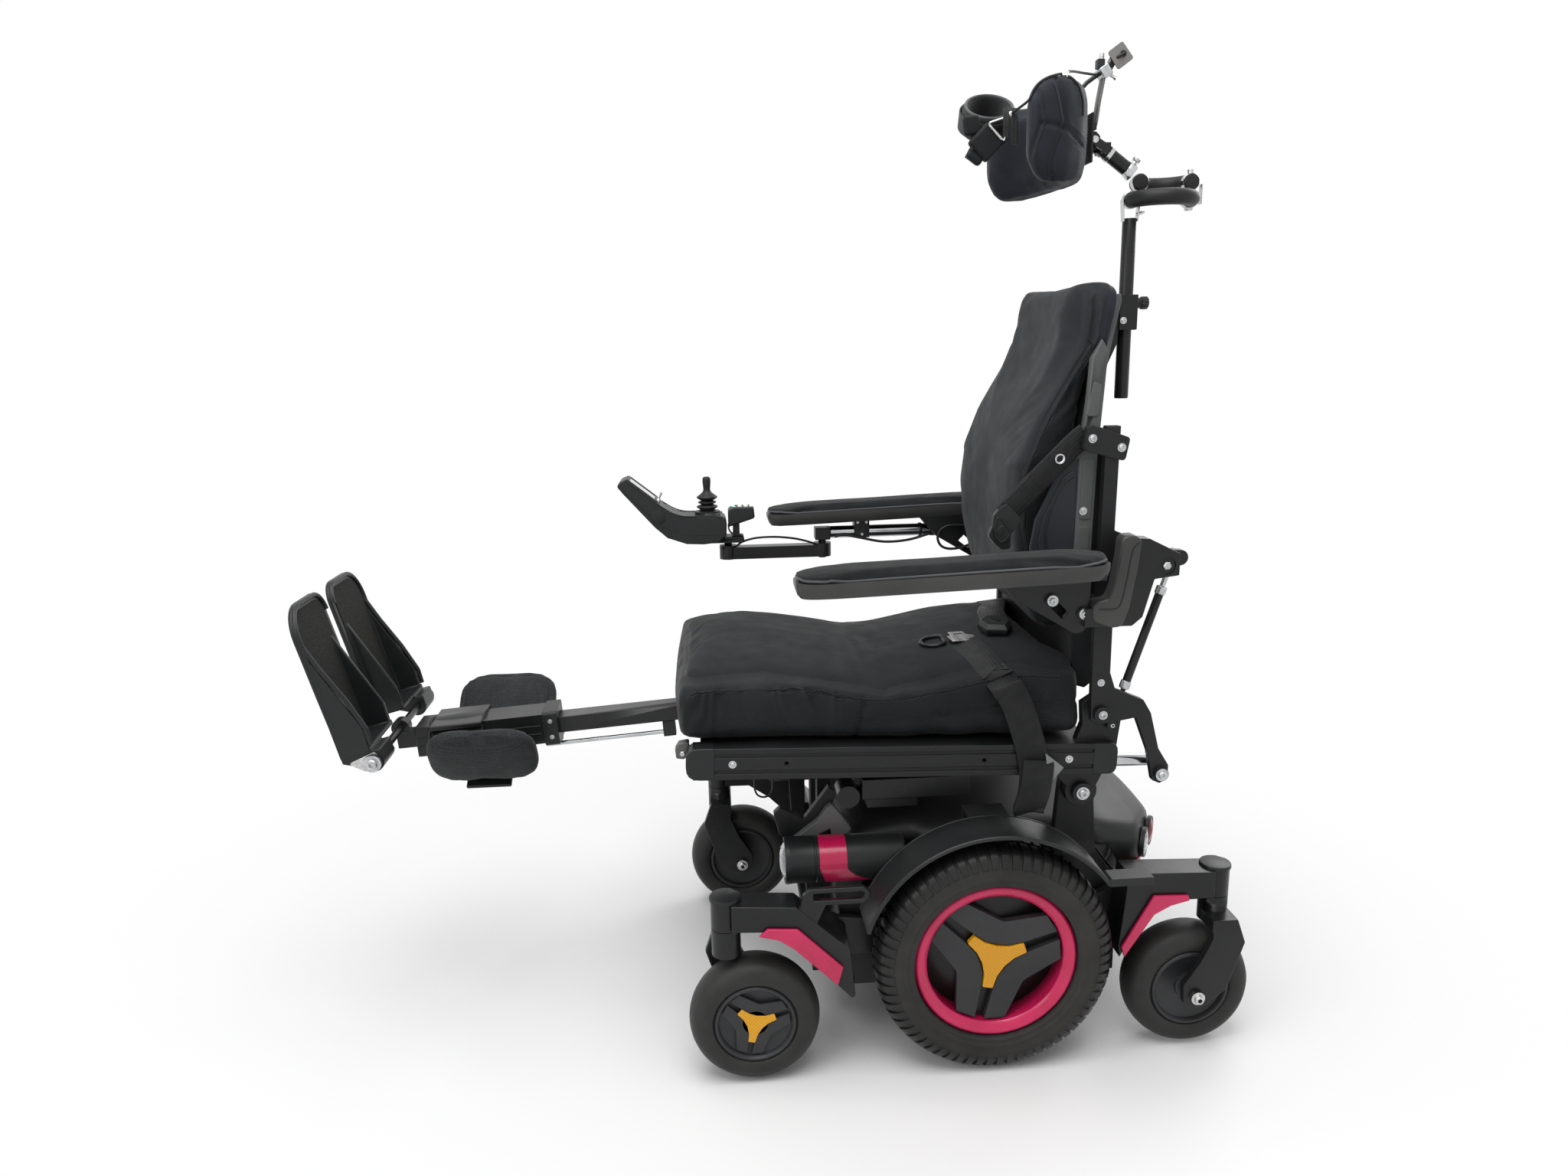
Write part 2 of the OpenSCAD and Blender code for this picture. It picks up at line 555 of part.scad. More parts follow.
// Armrest frame: bent bracket, slotted hinge plate and the channel under the pad
arm_front = -283;
arm_rear = 132;
arm_mid_y = arm_outer_y - arm_pad_w / 2;
arm_level = [arm_rear, 755];
channel_z = [arm_level[1] - 17, arm_level[1]];
module sloped_arm() sloped(arm_level, -arm_slope) children();
module arm_frame(side) color(dark) chair() on(side) {
    difference() {
        slab([[168, 786], [196, 784], [240, 762], [240, 732], [206, 728], [192, 676], [178, 664], [112, 664],
              [112, 690], [160, 692], [172, 706]], bracket_y);
        pin(bracket_pivot, 12 + fit, [250, 290]);
    }
    difference() {
        slab(concat([[-8, 736], [122, 741]], arc([104, 670], 16, 0, -110, 8), [[24, 700]]), [262, 270]);
        slab([[66, 690], [84, 676], [92, 684], [76, 700]], [260, 272]);
    }
    for (at = [[113, 682], [68, 702]]) pin(at, 9, [269, 275]);
    sloped_arm() difference() {
        box([arm_front + 18, arm_rear - 8], [arm_mid_y - 26, arm_mid_y + 26], channel_z);
        for (x = [-120, -40]) box([x, x + 26], [arm_mid_y + 18, arm_mid_y + 27], [channel_z[0] - 1, channel_z[0] + 7]);
    }
    if (side == right) {
        bar([-172, 60], joy_y, 708, 11);
        for (x = [-110, 30]) box([x - 14, x + 14], [joy_y - 14, joy_y + 14], [698, 737]);
        box([-196, -168], [joy_y - 14, joy_y + 14], [696, 718]);
        post(swing_x[1], joy_y, 7, [662, 698]);
    }
}

// Padded armrest top with a rounded front
arm_cuts = [0, 4, 14, 34, 80, 160, 250, 340, 385, 403, 411, 415];
function arm_ring(d) =
    let (x = arm_front + d, in_end = drawn_in(min(d, arm_rear - arm_front - d), 36),
         a = arm_pad_w / 2 - 0.9 * in_end, b = 7.5 - 0.1 * in_end, low = arm_level[1] + gap + 0.1 * in_end)
    [for (i = [0:19]) let (t = 360 * i / 20, y = a * spow(cos(t), 0.45), s = sin(t))
        [x, arm_mid_y + y, low + b + b * spow(s, 0.5) + (s > 0 ? 4 * s * (1 - pow(y / a, 2)) : 0)]];
module arm_pad(side) color(cloth) chair() on(side) sloped_arm() skin([for (d = arm_cuts) arm_ring(d)]);

// Swing-away bar under the joystick
joy_y = 292;
swing_x = [-355, -182];
module joystick_arm() color(dark) chair() difference() {
    union() {
        slab(concat(arc([swing_x[0], 676], 11, 90, 270, 8), [[swing_x[1], 665], [swing_x[1], 687]]), [joy_y - 13, joy_y + 13]);
        for (x = swing_x) post(x, joy_y, 16, [665, 690]);
        post(swing_x[0], joy_y, 7, [665, 701]);
    }
    post(swing_x[1], joy_y, 7 + fit, [660, 695]);
}

// Joystick housing: a scoop with a raised display, a gimbal well and the keypad box behind
gimbal = [-391, 737];
stick_pin_r = 2;
joy_w = [joy_y - 33, joy_y + 33];
scoop = concat([[-550, 806], [-544, 814], [-535, 818], [-480, 774]], arc([-425, 817], 68, 218, 262, 6),
               [[-362, 746], [-357, 738], [-358, 712], [-372, 700], [-400, 697.5], [-430, 699], [-464, 711],
                [-486, 731], [-540, 793]]);
module joystick_housing() color(jet) chair() {
    difference() {
        union() {
            slab(scoop, joy_w);
            box([-384, -326], [joy_y - 20, joy_y + 20], [697, 708]);
            post(gimbal[0], joy_y, 23, [740, 754]);
        }
        post(gimbal[0], joy_y, 17, [716, 760]);
        post(swing_x[0], joy_y, 7 + fit, [690, 702]);
    }
    difference() {
        slab([[-354, 727], [-354, 758], [-344, 763], [-308, 763], [-306, 742]], [264, 300]);
        post(-322, 291, 5, [757, 764]);
    }
    box([-346, -334], [274, 290], [706, 733]);
}

// Gimbal ring inside the joystick
module joystick_gimbal() color(zinc) chair() {
    difference() {
        post(gimbal[0], joy_y, 13, [gimbal[1] - 4, gimbal[1] + 4]);
        post(gimbal[0], joy_y, 9, [gimbal[1] - 5, gimbal[1] + 5]);
        bar([gimbal[0] - 14, gimbal[0] + 14], joy_y, gimbal[1], stick_pin_r + fit);
    }
    for (y = [-16, 12]) pin(gimbal, 2.5, [joy_y + y, joy_y + y + 4]);
}

// Joystick stick with its skirt and knob
module joystick_stick() color(jet) chair() translate([gimbal[0], joy_y, gimbal[1]]) {
    sphere(r = 7.5);
    bar([-12.5, 12.5], 0, 0, stick_pin_r);
    cylinder(r = 4.5, h = 40);
    translate([0, 0, 30]) cylinder(r1 = 24, r2 = 9, h = 14);
    translate([0, 0, 44]) cylinder(r1 = 8, r2 = 10, h = 26);
    translate([0, 0, 70]) cylinder(r1 = 10, r2 = 6, h = 9);
}

// Power key of the keypad
module power_button() color([0.85, 0.9, 0.85]) chair() post(-322, 291, 5 - 0.06, [759, 764.2]);

// Upper legrest tube with its knee eye
module sloped_leg() sloped(knee_pivot, -leg_slope) children();
module leg_upper() color(dark) chair() sloped_leg() difference() {
    union() {
        pin(knee_pivot, 18, [-22, 22]);
        box([-648, knee_pivot[0]], [-18, 18], [knee_pivot[1] - 12.5, knee_pivot[1] + 12.5]);
    }
    pin(knee_pivot, knee_pin_r + fit, [-30, 30]);
}

// Telescoping legrest carriage: sleeve, calf bridge and the foot pivot bar
module leg_carriage() color(jet) chair() {
    sloped_leg() {
        difference() {
            box([-858, -640], [-30, 30], [knee_pivot[1] - 24, knee_pivot[1] + 24]);
            box([-846, -639], [-18.6, 18.6], [knee_pivot[1] - 13.1, knee_pivot[1] + 13.1]);
        }
        slab([[-832, 500], [-752, 500], [-752, 508], [-832, 508]], [-44, 44]);
        box([-892, -857], [-10, 10], [knee_pivot[1] - 14, knee_pivot[1] + 14]);
    }
    pin(foot_pivot, foot_pin_r, [-156, 156]);
    pin(foot_pivot, 14, [-9, 9]);
    both() pin(foot_pivot, 13, [152, 158]);
    for (side = [left, right]) on(side) {
        calf_place(side) box([-34, 34], [-calf_half_w - 7, -calf_half_w - 1], [-14, 14]);
        box([-752, -724], [14, calf_foot_y(side)], [calf_foot_z(side) - 4, calf_foot_z(side) + 4]);
        box([-752, -724], [14, 29], [calf_foot_z(side) - 4, 440]);
    }
}

// Shoe-shaped footplate with raised sides
foot_back = -43;
module footplate(side) color(dark) chair() on(side)
    translate([foot_pivot[0], 0, foot_pivot[1]]) rotate([0, -foot_lean, 0]) difference() {
        union() {
            translate([foot_back, 0, 0]) rotate([90, 0, 90]) linear_extrude(7)
                polygon(concat([[14, 17], [150, 17], [152, 116]], arc([104, 200], 48, 0, 90, 8), arc([46, 216], 32, 90, 180, 6)));
            for (y = [[144, 151], [34, 40]])
                slab([[foot_back, 17], [0, 17], [2, 56], [-18, 120], [foot_back, 204]], y);
            slab(concat([[foot_back, 17], [foot_back, 8]], arc([0, 0], 15, 200, 360, 10), [[15, 17]]), [96, 150]);
            slab([[foot_back, 17], [2, 17], [2, 24], [foot_back, 24]], [34, 150]);
        }
        pin([0, 0], foot_pin_r + fit, [80, 160]);
    }

// Calf pads in a shallow trough
calf_half_w = 58;
function calf_z(side) = side == left ? 456 : 464;
function calf_tilt(side) = side == left ? 58 : 44;
function calf_foot_z(side) = calf_z(side) - (calf_half_w + 4) * sin(calf_tilt(side));
function calf_foot_y(side) = 108 - (calf_half_w + 7) * cos(calf_tilt(side));
module calf_place(side) translate([-738, 110, calf_z(side)]) rotate([calf_tilt(side), 0, 0]) children();
calf_cuts = [0, 4, 12, 28, 52, 83, 114, 138, 154, 162, 166];
function calf_ring(d) =
    let (in_end = drawn_in(min(d, 166 - d), 46), a = calf_half_w - 0.85 * in_end, b = 19 - 0.25 * in_end)
    [for (i = [0:19]) let (t = 360 * i / 20) [d - 83, a * spow(cos(t), 0.6), b * spow(sin(t), 0.6)]];
module calf_pads() color(cloth) chair() for (side = [left, right])
    on(side) calf_place(side) skin([for (d = calf_cuts) calf_ring(d)]);

// Headrest post with the lower curved link
post_x = 256;
link_pin = [346, 1272];
module headrest_post() color(jet) chair() {
    post(post_x, 0, post_d / 2, [955, 1222]);
    post(post_x, 0, 7, [1221, 1240]);
    translate([(post_x + link_pin[0]) / 2, 0, 1247]) rotate([0, 0, 180]) rotate_extrude(angle = 180)
        translate([(link_pin[0] - post_x) / 2, 0]) circle(r = 11);
    for (x = [post_x, link_pin[0]]) post(x, 0, 13, [1235, 1259]);
    post(link_pin[0], 0, head_pin_r, [1257, 1290]);
}

// Headrest arm: upper curved link, tube and ball socket lugs
arm_tube = [[266, 1286], [206, 1322]];
module headrest_arm() color(jet) chair() {
    difference() {
        union() {
            translate([(268 + link_pin[0]) / 2, 0, 1272]) rotate_extrude(angle = 180)
                translate([(link_pin[0] - 268) / 2, 0]) circle(r = 11);
            post(link_pin[0], 0, 13, [1260, 1285]);
            post(268, 0, 13, [1260, 1285]);
        }
        post(link_pin[0], 0, head_pin_r + fit, [1255, 1295]);
    }
    translate([266, 0, 1278]) rotate([0, atan2(arm_tube[1][0] - 266, arm_tube[1][1] - 1278), 0])
        cylinder(r = 10.5, h = norm([arm_tube[1][0] - 266, arm_tube[1][1] - 1278]));
    both() slab(concat(arc(head_pivot, 7, 70, 230, 8), [[212, 1309], [220, 1318]]), [11, 18]);
    box([204, 216], [-18, 18], [1312, 1326]);
    pin(head_pivot, head_pin_r, [-18, 18]);
}

// Wrap-round headrest pad
head_path = [[62, -100], [72, -102], [90, -102], [110, -97], [130, -82], [146, -56], [154, -28], [156, 0]];
head_route = concat(head_path, [for (i = [len(head_path) - 2:-1:0]) [head_path[i][0], -head_path[i][1]]]);
function head_ring(i) =
    let (m = len(head_route) - 1, p = head_route[i], d = head_route[min(i + 1, m)] - head_route[max(i - 1, 0)],
         n = [d[1], -d[0]] / norm(d), e = min(i, m - i), s = e == 0 ? 0.62 : e == 1 ? 0.9 : 1)
    [for (k = [0:15]) let (t = -360 * k / 16, w = 22 * s * spow(cos(t), 0.7), h = head_pad_h / 2 * s * spow(sin(t), 0.6))
        [p[0] + w * n[0], p[1] + w * n[1], 1332 + h]];
module headrest_pad() color(cloth) chair() skin([for (i = [0:len(head_route) - 1]) head_ring(i)]);

// Padded forehead band, worn between the wings of the pad
module headband() color(cloth) chair() translate([52, 0, 1348]) rotate([0, 12, 0])
    skin_loop([for (i = [0:27]) let (a = 360 * i / 28)
        [for (q = [[-4, -16], [4, -16], [5, 0], [4, 16], [-4, 16], [-5, 0]])
            [(46 + q[0]) * cos(a), (66 + q[0]) * sin(a), q[1]]]]);

// Closed triangle skin over a loop of rings
module skin_loop(rings) {
    n = len(rings[0]);
    m = len(rings);
    polyhedron([for (ring = rings) each ring], [for (i = [0:m - 1]) for (j = [0:n - 1])
        let (a = i * n + j, b = i * n + (j + 1) % n, c = ((i + 1) % m) * n + j, d = ((i + 1) % m) * n + (j + 1) % n)
        each [[a, b, d], [a, d, c]]]);
}

// Pad plate, upright strip and switch plate behind the headrest pad
module head_switch_mount() color(zinc) chair() {
    difference() {
        union() {
            box([180, 183.5], [-34, 34], [1296, 1364]);
            slab([[183, 1318], [200, 1320], [202, 1336], [196, 1342], [183, 1342]], [-9, 9]);
        }
        pin(head_pivot, head_pin_r + fit, [-20, 20]);
    }
    slab([[183, 1346], [200, 1346], [210, 1420], [203, 1422], [194, 1352], [183, 1352]], [-10, 10]);
    slab([[200, 1414], [214, 1410], [232, 1444], [222, 1450]], [-8, 8]);
    slab([[228, 1465], [247, 1441], [224, 1424], [206, 1450]], [-14, -8]);
}

base_frame();
base_cover();
batteries();
drive_motors();
power_module();
side_tubes();
lamp_lenses();
fenders();
drive_tyre(left);  // drive_tyre_left
drive_tyre(right);  // drive_tyre_right
drive_rim(left);  // drive_rim_left
drive_rim(right);  // drive_rim_right
caster_arm_front(left);  // caster_arm_front_left
caster_arm_front(right);  // caster_arm_front_right
caster_arm_rear(left);  // caster_arm_rear_left
caster_arm_rear(right);  // caster_arm_rear_right
arm_cover_front(left);  // arm_cover_front_left
arm_cover_front(right);  // arm_cover_front_right
arm_cover_rear(left);  // arm_cover_rear_left
arm_cover_rear(right);  // arm_cover_rear_right
caster_fork_front(left);  // caster_fork_front_left
caster_fork_front(right);  // caster_fork_front_right
caster_fork_rear(left);  // caster_fork_rear_left
caster_fork_rear(right);  // caster_fork_rear_right
caster_wheel_front(left);  // caster_wheel_front_left
caster_wheel_front(right);  // caster_wheel_front_right
caster_wheel_rear(left);  // caster_wheel_rear_left
caster_wheel_rear(right);  // caster_wheel_rear_right
seat_frame();
seat_cushion();
lap_belt();
seat_actuators();
recline_rods();
back_frame();
back_shell();
back_cushion();
chest_belt();
arm_crank(left);  // arm_crank_left
arm_crank(right);  // arm_crank_right
arm_link(left);  // arm_link_left
arm_link(right);  // arm_link_right
arm_frame(left);  // arm_frame_left
arm_frame(right);  // arm_frame_right
arm_pad(left);  // arm_pad_left
arm_pad(right);  // arm_pad_right
joystick_arm();
joystick_housing();
joystick_gimbal();
joystick_stick();
power_button();
leg_upper();
leg_carriage();
footplate(left);  // footplate_left
footplate(right);  // footplate_right
calf_pads();
headrest_post();
headrest_arm();
headrest_pad();
headband();
head_switch_mount();
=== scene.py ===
import json
import math

import bmesh
import bpy
import numpy as np
from mathutils import Matrix, Vector
from mathutils.bvhtree import BVHTree

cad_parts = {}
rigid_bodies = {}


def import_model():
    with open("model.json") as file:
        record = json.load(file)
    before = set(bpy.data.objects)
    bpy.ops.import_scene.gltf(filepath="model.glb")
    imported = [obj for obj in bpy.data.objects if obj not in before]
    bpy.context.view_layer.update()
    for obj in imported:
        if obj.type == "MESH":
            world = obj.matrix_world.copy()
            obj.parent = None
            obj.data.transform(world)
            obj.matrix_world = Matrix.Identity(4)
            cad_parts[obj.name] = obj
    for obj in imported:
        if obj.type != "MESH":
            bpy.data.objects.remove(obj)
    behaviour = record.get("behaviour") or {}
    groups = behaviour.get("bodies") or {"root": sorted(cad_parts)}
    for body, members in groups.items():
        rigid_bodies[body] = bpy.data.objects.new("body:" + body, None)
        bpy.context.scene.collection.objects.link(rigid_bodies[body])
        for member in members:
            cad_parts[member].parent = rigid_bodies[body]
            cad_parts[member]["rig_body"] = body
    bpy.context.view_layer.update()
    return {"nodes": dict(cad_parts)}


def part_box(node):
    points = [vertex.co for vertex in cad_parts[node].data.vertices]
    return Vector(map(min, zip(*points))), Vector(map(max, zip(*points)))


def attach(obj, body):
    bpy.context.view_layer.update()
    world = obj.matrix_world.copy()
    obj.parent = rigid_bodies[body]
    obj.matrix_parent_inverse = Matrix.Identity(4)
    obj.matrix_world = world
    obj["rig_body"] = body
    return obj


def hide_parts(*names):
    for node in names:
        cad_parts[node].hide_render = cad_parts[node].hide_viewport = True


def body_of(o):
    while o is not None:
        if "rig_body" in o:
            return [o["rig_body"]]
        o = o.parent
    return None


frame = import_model()

# The view
# The camera stands on the user's left, a little ahead of the drive axle and above the armrests. The chair
# stands on a pale studio floor that fades to white, under one broad lamp overhead and two soft side lamps.
scene = bpy.context.scene
scene.view_settings.view_transform = "Standard"
AXLE_X = sum(corner.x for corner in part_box("drive_tyre_left")) / 2
IMAGE_WIDTH_PX = 2048
FOCAL_PX = 1411.3
SENSOR = 36.0
CAMERA_PLACE = (-0.394, -1.661, 1.044)
CAMERA_YAW, CAMERA_PITCH, CAMERA_ROLL = 0.0715, 0.2204, -0.0189
LAMPS = [("overhead_lamp", (-0.5, -0.7, 3.1), (-0.1, 0, 0.6), 2.4, 74),
         ("front_lamp", (-2.6, -1.9, 1.9), (-0.1, 0, 0.6), 1.6, 17),
         ("rear_lamp", (1.9, 1.7, 2.2), (0.1, 0, 0.7), 1.5, 26)]
WORLD_LIGHT = 0.45
FLOOR_HALF = 9.0
FLOOR_FADE = (0.45, 1.5)
FLOOR_TONE = (0.88, 0.88, 0.88, 1)
FLOOR_ROUGH = 0.95
SQUARE = ((-1, -1), (1, -1), (1, 1), (-1, 1))


def at(x, y, z):
    """A point given from the drive axle, in metres: x to the rear, y to the user's right, z from the ground."""
    return Vector((AXLE_X + x, y, z))


def added(name, data):
    """A new object in the scene."""
    made = bpy.data.objects.new(name, data)
    scene.collection.objects.link(made)
    return made


def new_node(tree, kind, settings=None, feeds=None):
    """A new node in a tree, with its sockets and options set and its inputs wired."""
    made = tree.nodes.new(kind)
    for key, value in (settings or {}).items():
        if isinstance(key, int) or key in made.inputs:
            made.inputs[key].default_value = value
        else:
            setattr(made, key, value)
    for key, source in (feeds or {}).items():
        tree.links.new(source, made.inputs[key])
    return made


camera = added("view", bpy.data.cameras.new("view"))
camera.data.sensor_width = SENSOR
camera.data.lens = SENSOR * FOCAL_PX / IMAGE_WIDTH_PX
forward = Vector((math.sin(CAMERA_YAW) * math.cos(CAMERA_PITCH), math.cos(CAMERA_YAW) * math.cos(CAMERA_PITCH),
                  -math.sin(CAMERA_PITCH)))
level = Vector((math.cos(CAMERA_YAW), -math.sin(CAMERA_YAW), 0))
over = level.cross(forward)
across = level * math.cos(CAMERA_ROLL) + over * math.sin(CAMERA_ROLL)
upward = over * math.cos(CAMERA_ROLL) - level * math.sin(CAMERA_ROLL)
camera.matrix_world = Matrix((across, upward, -forward)).transposed().to_4x4()
camera.location = at(*CAMERA_PLACE)
scene.camera = camera

for name, place, aim, size, power in LAMPS:
    light = added(name, bpy.data.lights.new(name, "AREA"))
    light.data.size = size
    light.data.energy = power
    light.location = at(*place)
    light.rotation_euler = (at(*aim) - at(*place)).to_track_quat("-Z", "Y").to_euler()


def seen_or_mirrored(tree):
    """1 for rays from the camera and for those that metal or glass sends on."""
    path = new_node(tree, "ShaderNodeLightPath")
    total = path.outputs["Is Camera Ray"]
    for ray in ("Is Glossy Ray", "Is Transmission Ray"):
        most = new_node(tree, "ShaderNodeMath", {"operation": "MAXIMUM"}, {0: total, 1: path.outputs[ray]})
        total = most.outputs[0]
    return total


world = bpy.data.worlds.new("studio")
world.use_nodes = True
scene.world = world
sky = world.node_tree
backdrop = sky.nodes["Background"]
backdrop.inputs["Color"].default_value = (1, 1, 1, 1)
brightness = new_node(sky, "ShaderNodeMapRange", {"To Min": WORLD_LIGHT, "To Max": 1.0},
                      {"Value": seen_or_mirrored(sky)})
sky.links.new(brightness.outputs[0], backdrop.inputs["Strength"])

floor_mesh = bpy.data.meshes.new("floor")
floor_mesh.from_pydata([(FLOOR_HALF * a, FLOOR_HALF * b, 0) for a, b in SQUARE], [], [(0, 1, 2, 3)])
floor = added("floor", floor_mesh)
floor_paper = bpy.data.materials.new("floor_paper")
floor_paper.use_nodes = True
paper = floor_paper.node_tree
paper_shader = paper.nodes["Principled BSDF"]
paper_shader.inputs["Base Color"].default_value = FLOOR_TONE
paper_shader.inputs["Roughness"].default_value = FLOOR_ROUGH
spot = new_node(paper, "ShaderNodeTexCoord")
far = new_node(paper, "ShaderNodeVectorMath", {"operation": "LENGTH"}, {0: spot.outputs["Object"]})
fade = new_node(paper, "ShaderNodeMapRange",
                {"interpolation_type": "SMOOTHSTEP", "From Min": FLOOR_FADE[0], "From Max": FLOOR_FADE[1]},
                {"Value": far.outputs["Value"]})
only_seen = new_node(paper, "ShaderNodeMath", {"operation": "MULTIPLY"},
                     {0: fade.outputs[0], 1: seen_or_mirrored(paper)})
white = new_node(paper, "ShaderNodeEmission")
blend_out = new_node(paper, "ShaderNodeMixShader", {},
                     {0: only_seen.outputs[0], 1: paper_shader.outputs[0], 2: white.outputs[0]})
paper.links.new(blend_out.outputs[0], paper.nodes["Material Output"].inputs["Surface"])
floor_mesh.materials.append(floor_paper)

# The chassis
# A welded steel tray with side plates and towers, powder coated black, with the batteries, gear motors and
# power module inside. Its edges are broken by a small radius, as on laser-cut and deburred plate.
EASE = 0.0014
EASE_ANGLE, SMOOTH_ANGLE = math.radians(30), math.radians(38)
EASE_ALONG, EASE_BESIDE, IN_LINE = 2.5, 1.7, 0.97
TINT_SPAN, GLOSS_SPAN = (0.35, 0.65), (0.3, 0.7)


def finish(name, sockets):
    """A new surface finish: the material, with the shader's own sockets set."""
    material = bpy.data.materials.new(name)
    material.use_nodes = True
    shader = material.node_tree.nodes["Principled BSDF"]
    for socket, value in sockets.items():
        shader.inputs[socket].default_value = value
    return material


def grain(material, kind, scale, stretch=(1, 1, 1), turn=(0, 0, 0), lay=False, **settings):
    """A pattern over a finish, on the piece's own coordinates or on its lay attribute; returns its output."""
    tree = material.node_tree
    if lay:
        source = new_node(tree, "ShaderNodeAttribute", {"attribute_name": "lay"}).outputs["Vector"]
    else:
        source = new_node(tree, "ShaderNodeTexCoord").outputs["Object"]
    mapping = new_node(tree, "ShaderNodeMapping", {"Scale": stretch, "Rotation": turn}, {"Vector": source})
    texture = new_node(tree, "ShaderNodeTex" + kind, {"Scale": scale, **settings}, {"Vector": mapping.outputs[0]})
    return texture.outputs["Distance" if kind == "Voronoi" else "Fac"]


def tint(material, source, low, high, span=TINT_SPAN):
    """Colours a finish between two tones by a pattern."""
    tree = material.node_tree
    tones = new_node(tree, "ShaderNodeValToRGB", {}, {0: source})
    for stop, place, colour in zip(tones.color_ramp.elements, span, (low, high)):
        stop.position = place
        stop.color = (*colour, 1)
    tree.links.new(tones.outputs[0], tree.nodes["Principled BSDF"].inputs["Base Color"])


def gloss(material, source, low, high):
    """Varies a finish's roughness by a pattern."""
    tree = material.node_tree
    least, most = GLOSS_SPAN
    limits = {"From Min": least, "From Max": most, "To Min": low, "To Max": high}
    spread = new_node(tree, "ShaderNodeMapRange", limits, {"Value": source})
    tree.links.new(spread.outputs[0], tree.nodes["Principled BSDF"].inputs["Roughness"])


def relief(material, source, depth, strength):
    """Raises a finish's surface by a pattern, on top of any relief it already has."""
    tree = material.node_tree
    normal = tree.nodes["Principled BSDF"].inputs["Normal"]
    below = {"Normal": normal.links[0].from_socket} if normal.is_linked else {}
    bump = new_node(tree, "ShaderNodeBump", {"Distance": depth, "Strength": strength}, {"Height": source, **below})
    tree.links.new(bump.outputs[0], normal)


def hazed(name, sockets, scale, low, high, rough, span=TINT_SPAN, **pattern):
    """A finish whose colour and gloss drift in clouds between two values."""
    material = finish(name, sockets)
    cloud = grain(material, "Noise", scale, **pattern)
    tint(material, cloud, low, high, span)
    gloss(material, cloud, *rough)
    return material


def coated(name, low, high, rough, texture_scale, depth):
    """Powder coat or textured paint: a fine orange-peel surface with cloudy wear."""
    material = hazed(name, {"Specular IOR Level": 0.3}, 9, low, high, rough, Detail=4)
    relief(material, grain(material, "Noise", texture_scale, Detail=2), depth, 0.35)
    return material


black_coat = coated("black_powder_coat", (0.0075, 0.008, 0.0085), (0.0125, 0.013, 0.014), (0.36, 0.5), 1500, 0.0003)
moulded_black = coated("moulded_black_plastic", (0.011, 0.012, 0.0125), (0.017, 0.018, 0.0185), (0.34, 0.46), 1100,
                       0.0002)
dark_case = coated("battery_case_plastic", (0.014, 0.015, 0.016), (0.022, 0.023, 0.024), (0.45, 0.6), 700, 0.0004)
satin_black = coated("satin_black_alloy", (0.009, 0.0095, 0.01), (0.015, 0.0155, 0.016), (0.24, 0.36), 2200, 0.0001)


def placed(made, body, replaced=()):
    """Puts a piece on the body that carries it and the CAD pieces it stands for."""
    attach(made, body)
    if replaced:
        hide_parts(*replaced)
    return made


def eased(node, material, width=EASE):
    """A copy of a CAD piece with its sharp edges rounded, standing in for it."""
    source = frame["nodes"][node]
    form = bmesh.new()
    form.from_mesh(source.data)
    bmesh.ops.remove_doubles(form, verts=form.verts, dist=1e-5)
    bmesh.ops.dissolve_limit(form, angle_limit=math.radians(1), verts=form.verts, edges=form.edges)

    def roomy(edge):
        if edge.calc_length() < EASE_ALONG * width or not edge.is_manifold:
            return False
        if edge.calc_face_angle(0) < EASE_ANGLE:
            return False
        along = (edge.verts[1].co - edge.verts[0].co).normalized()
        for end in edge.verts:
            for other in end.link_edges:
                if other is edge:
                    continue
                turn = (other.other_vert(end).co - end.co).normalized()
                if other.calc_length() < EASE_BESIDE * width and abs(turn.dot(along)) < IN_LINE:
                    return False
        return True

    edges = [edge for edge in form.edges if roomy(edge)]
    bmesh.ops.bevel(form, geom=edges, offset=width, offset_type="OFFSET", segments=2, profile=0.5, affect="EDGES",
                    clamp_overlap=False, loop_slide=True)
    mesh = bpy.data.meshes.new(node + "_finished")
    form.to_mesh(mesh)
    form.free()
    mesh.materials.clear()
    mesh.materials.append(material)
    mesh.polygons.foreach_set("material_index", [0] * len(mesh.polygons))
    mesh.shade_smooth()
    mesh.set_sharp_from_angle(angle=SMOOTH_ANGLE)
    made = added(node + "_finished", mesh)
    made.modifiers.new("even_shading", "WEIGHTED_NORMAL").keep_sharp = True
    return placed(made, body_of(source)[0], [node])


def dressed(node, material):
    """A CAD piece that stays, with a better finish on it."""
    held = frame["nodes"][node].data.materials
    for place in range(len(held)):
        held[place] = material
    if not held:
        held.append(material)


eased("base_frame", black_coat)
dressed("batteries", dark_case)
eased("drive_motors", satin_black)
dressed("power_module", moulded_black)

# The top cover
# A vacuum-formed black shell over the chassis, domed, with rounded shoulders, a stepped rear and a magenta
# edging pressed over its lower rear rim. It lies on the side plates.
COVER_PLAN = [(-0.205, 0.15), (-0.19, 0.157), (-0.098, 0.158), (-0.08, 0.182), (0.16, 0.183), (0.182, 0.1935),
              (0.232, 0.1935), (0.244, 0.187), (0.29, 0.112), (0.298, 0.092), (0.304, 0.06)]
COVER_TOP = [(-0.205, 0.322), (-0.17, 0.338), (-0.11, 0.35), (0.03, 0.3555), (0.19, 0.351), (0.245, 0.342),
             (0.28, 0.326), (0.304, 0.306)]
COVER_FOOT = [(-0.205, 0.3005), (0.196, 0.3005), (0.214, 0.262), (0.304, 0.262)]
COVER_SHOULDER = 0.022
COVER_WALL = 0.003
COVER_CROWN = 0.6
COVER_STEPS_X = 56
COVER_STEPS_Y = 30
SAME_POINT = 2e-6
STRIP_EDGE = 0.25
UP = Vector((0, 0, 1))


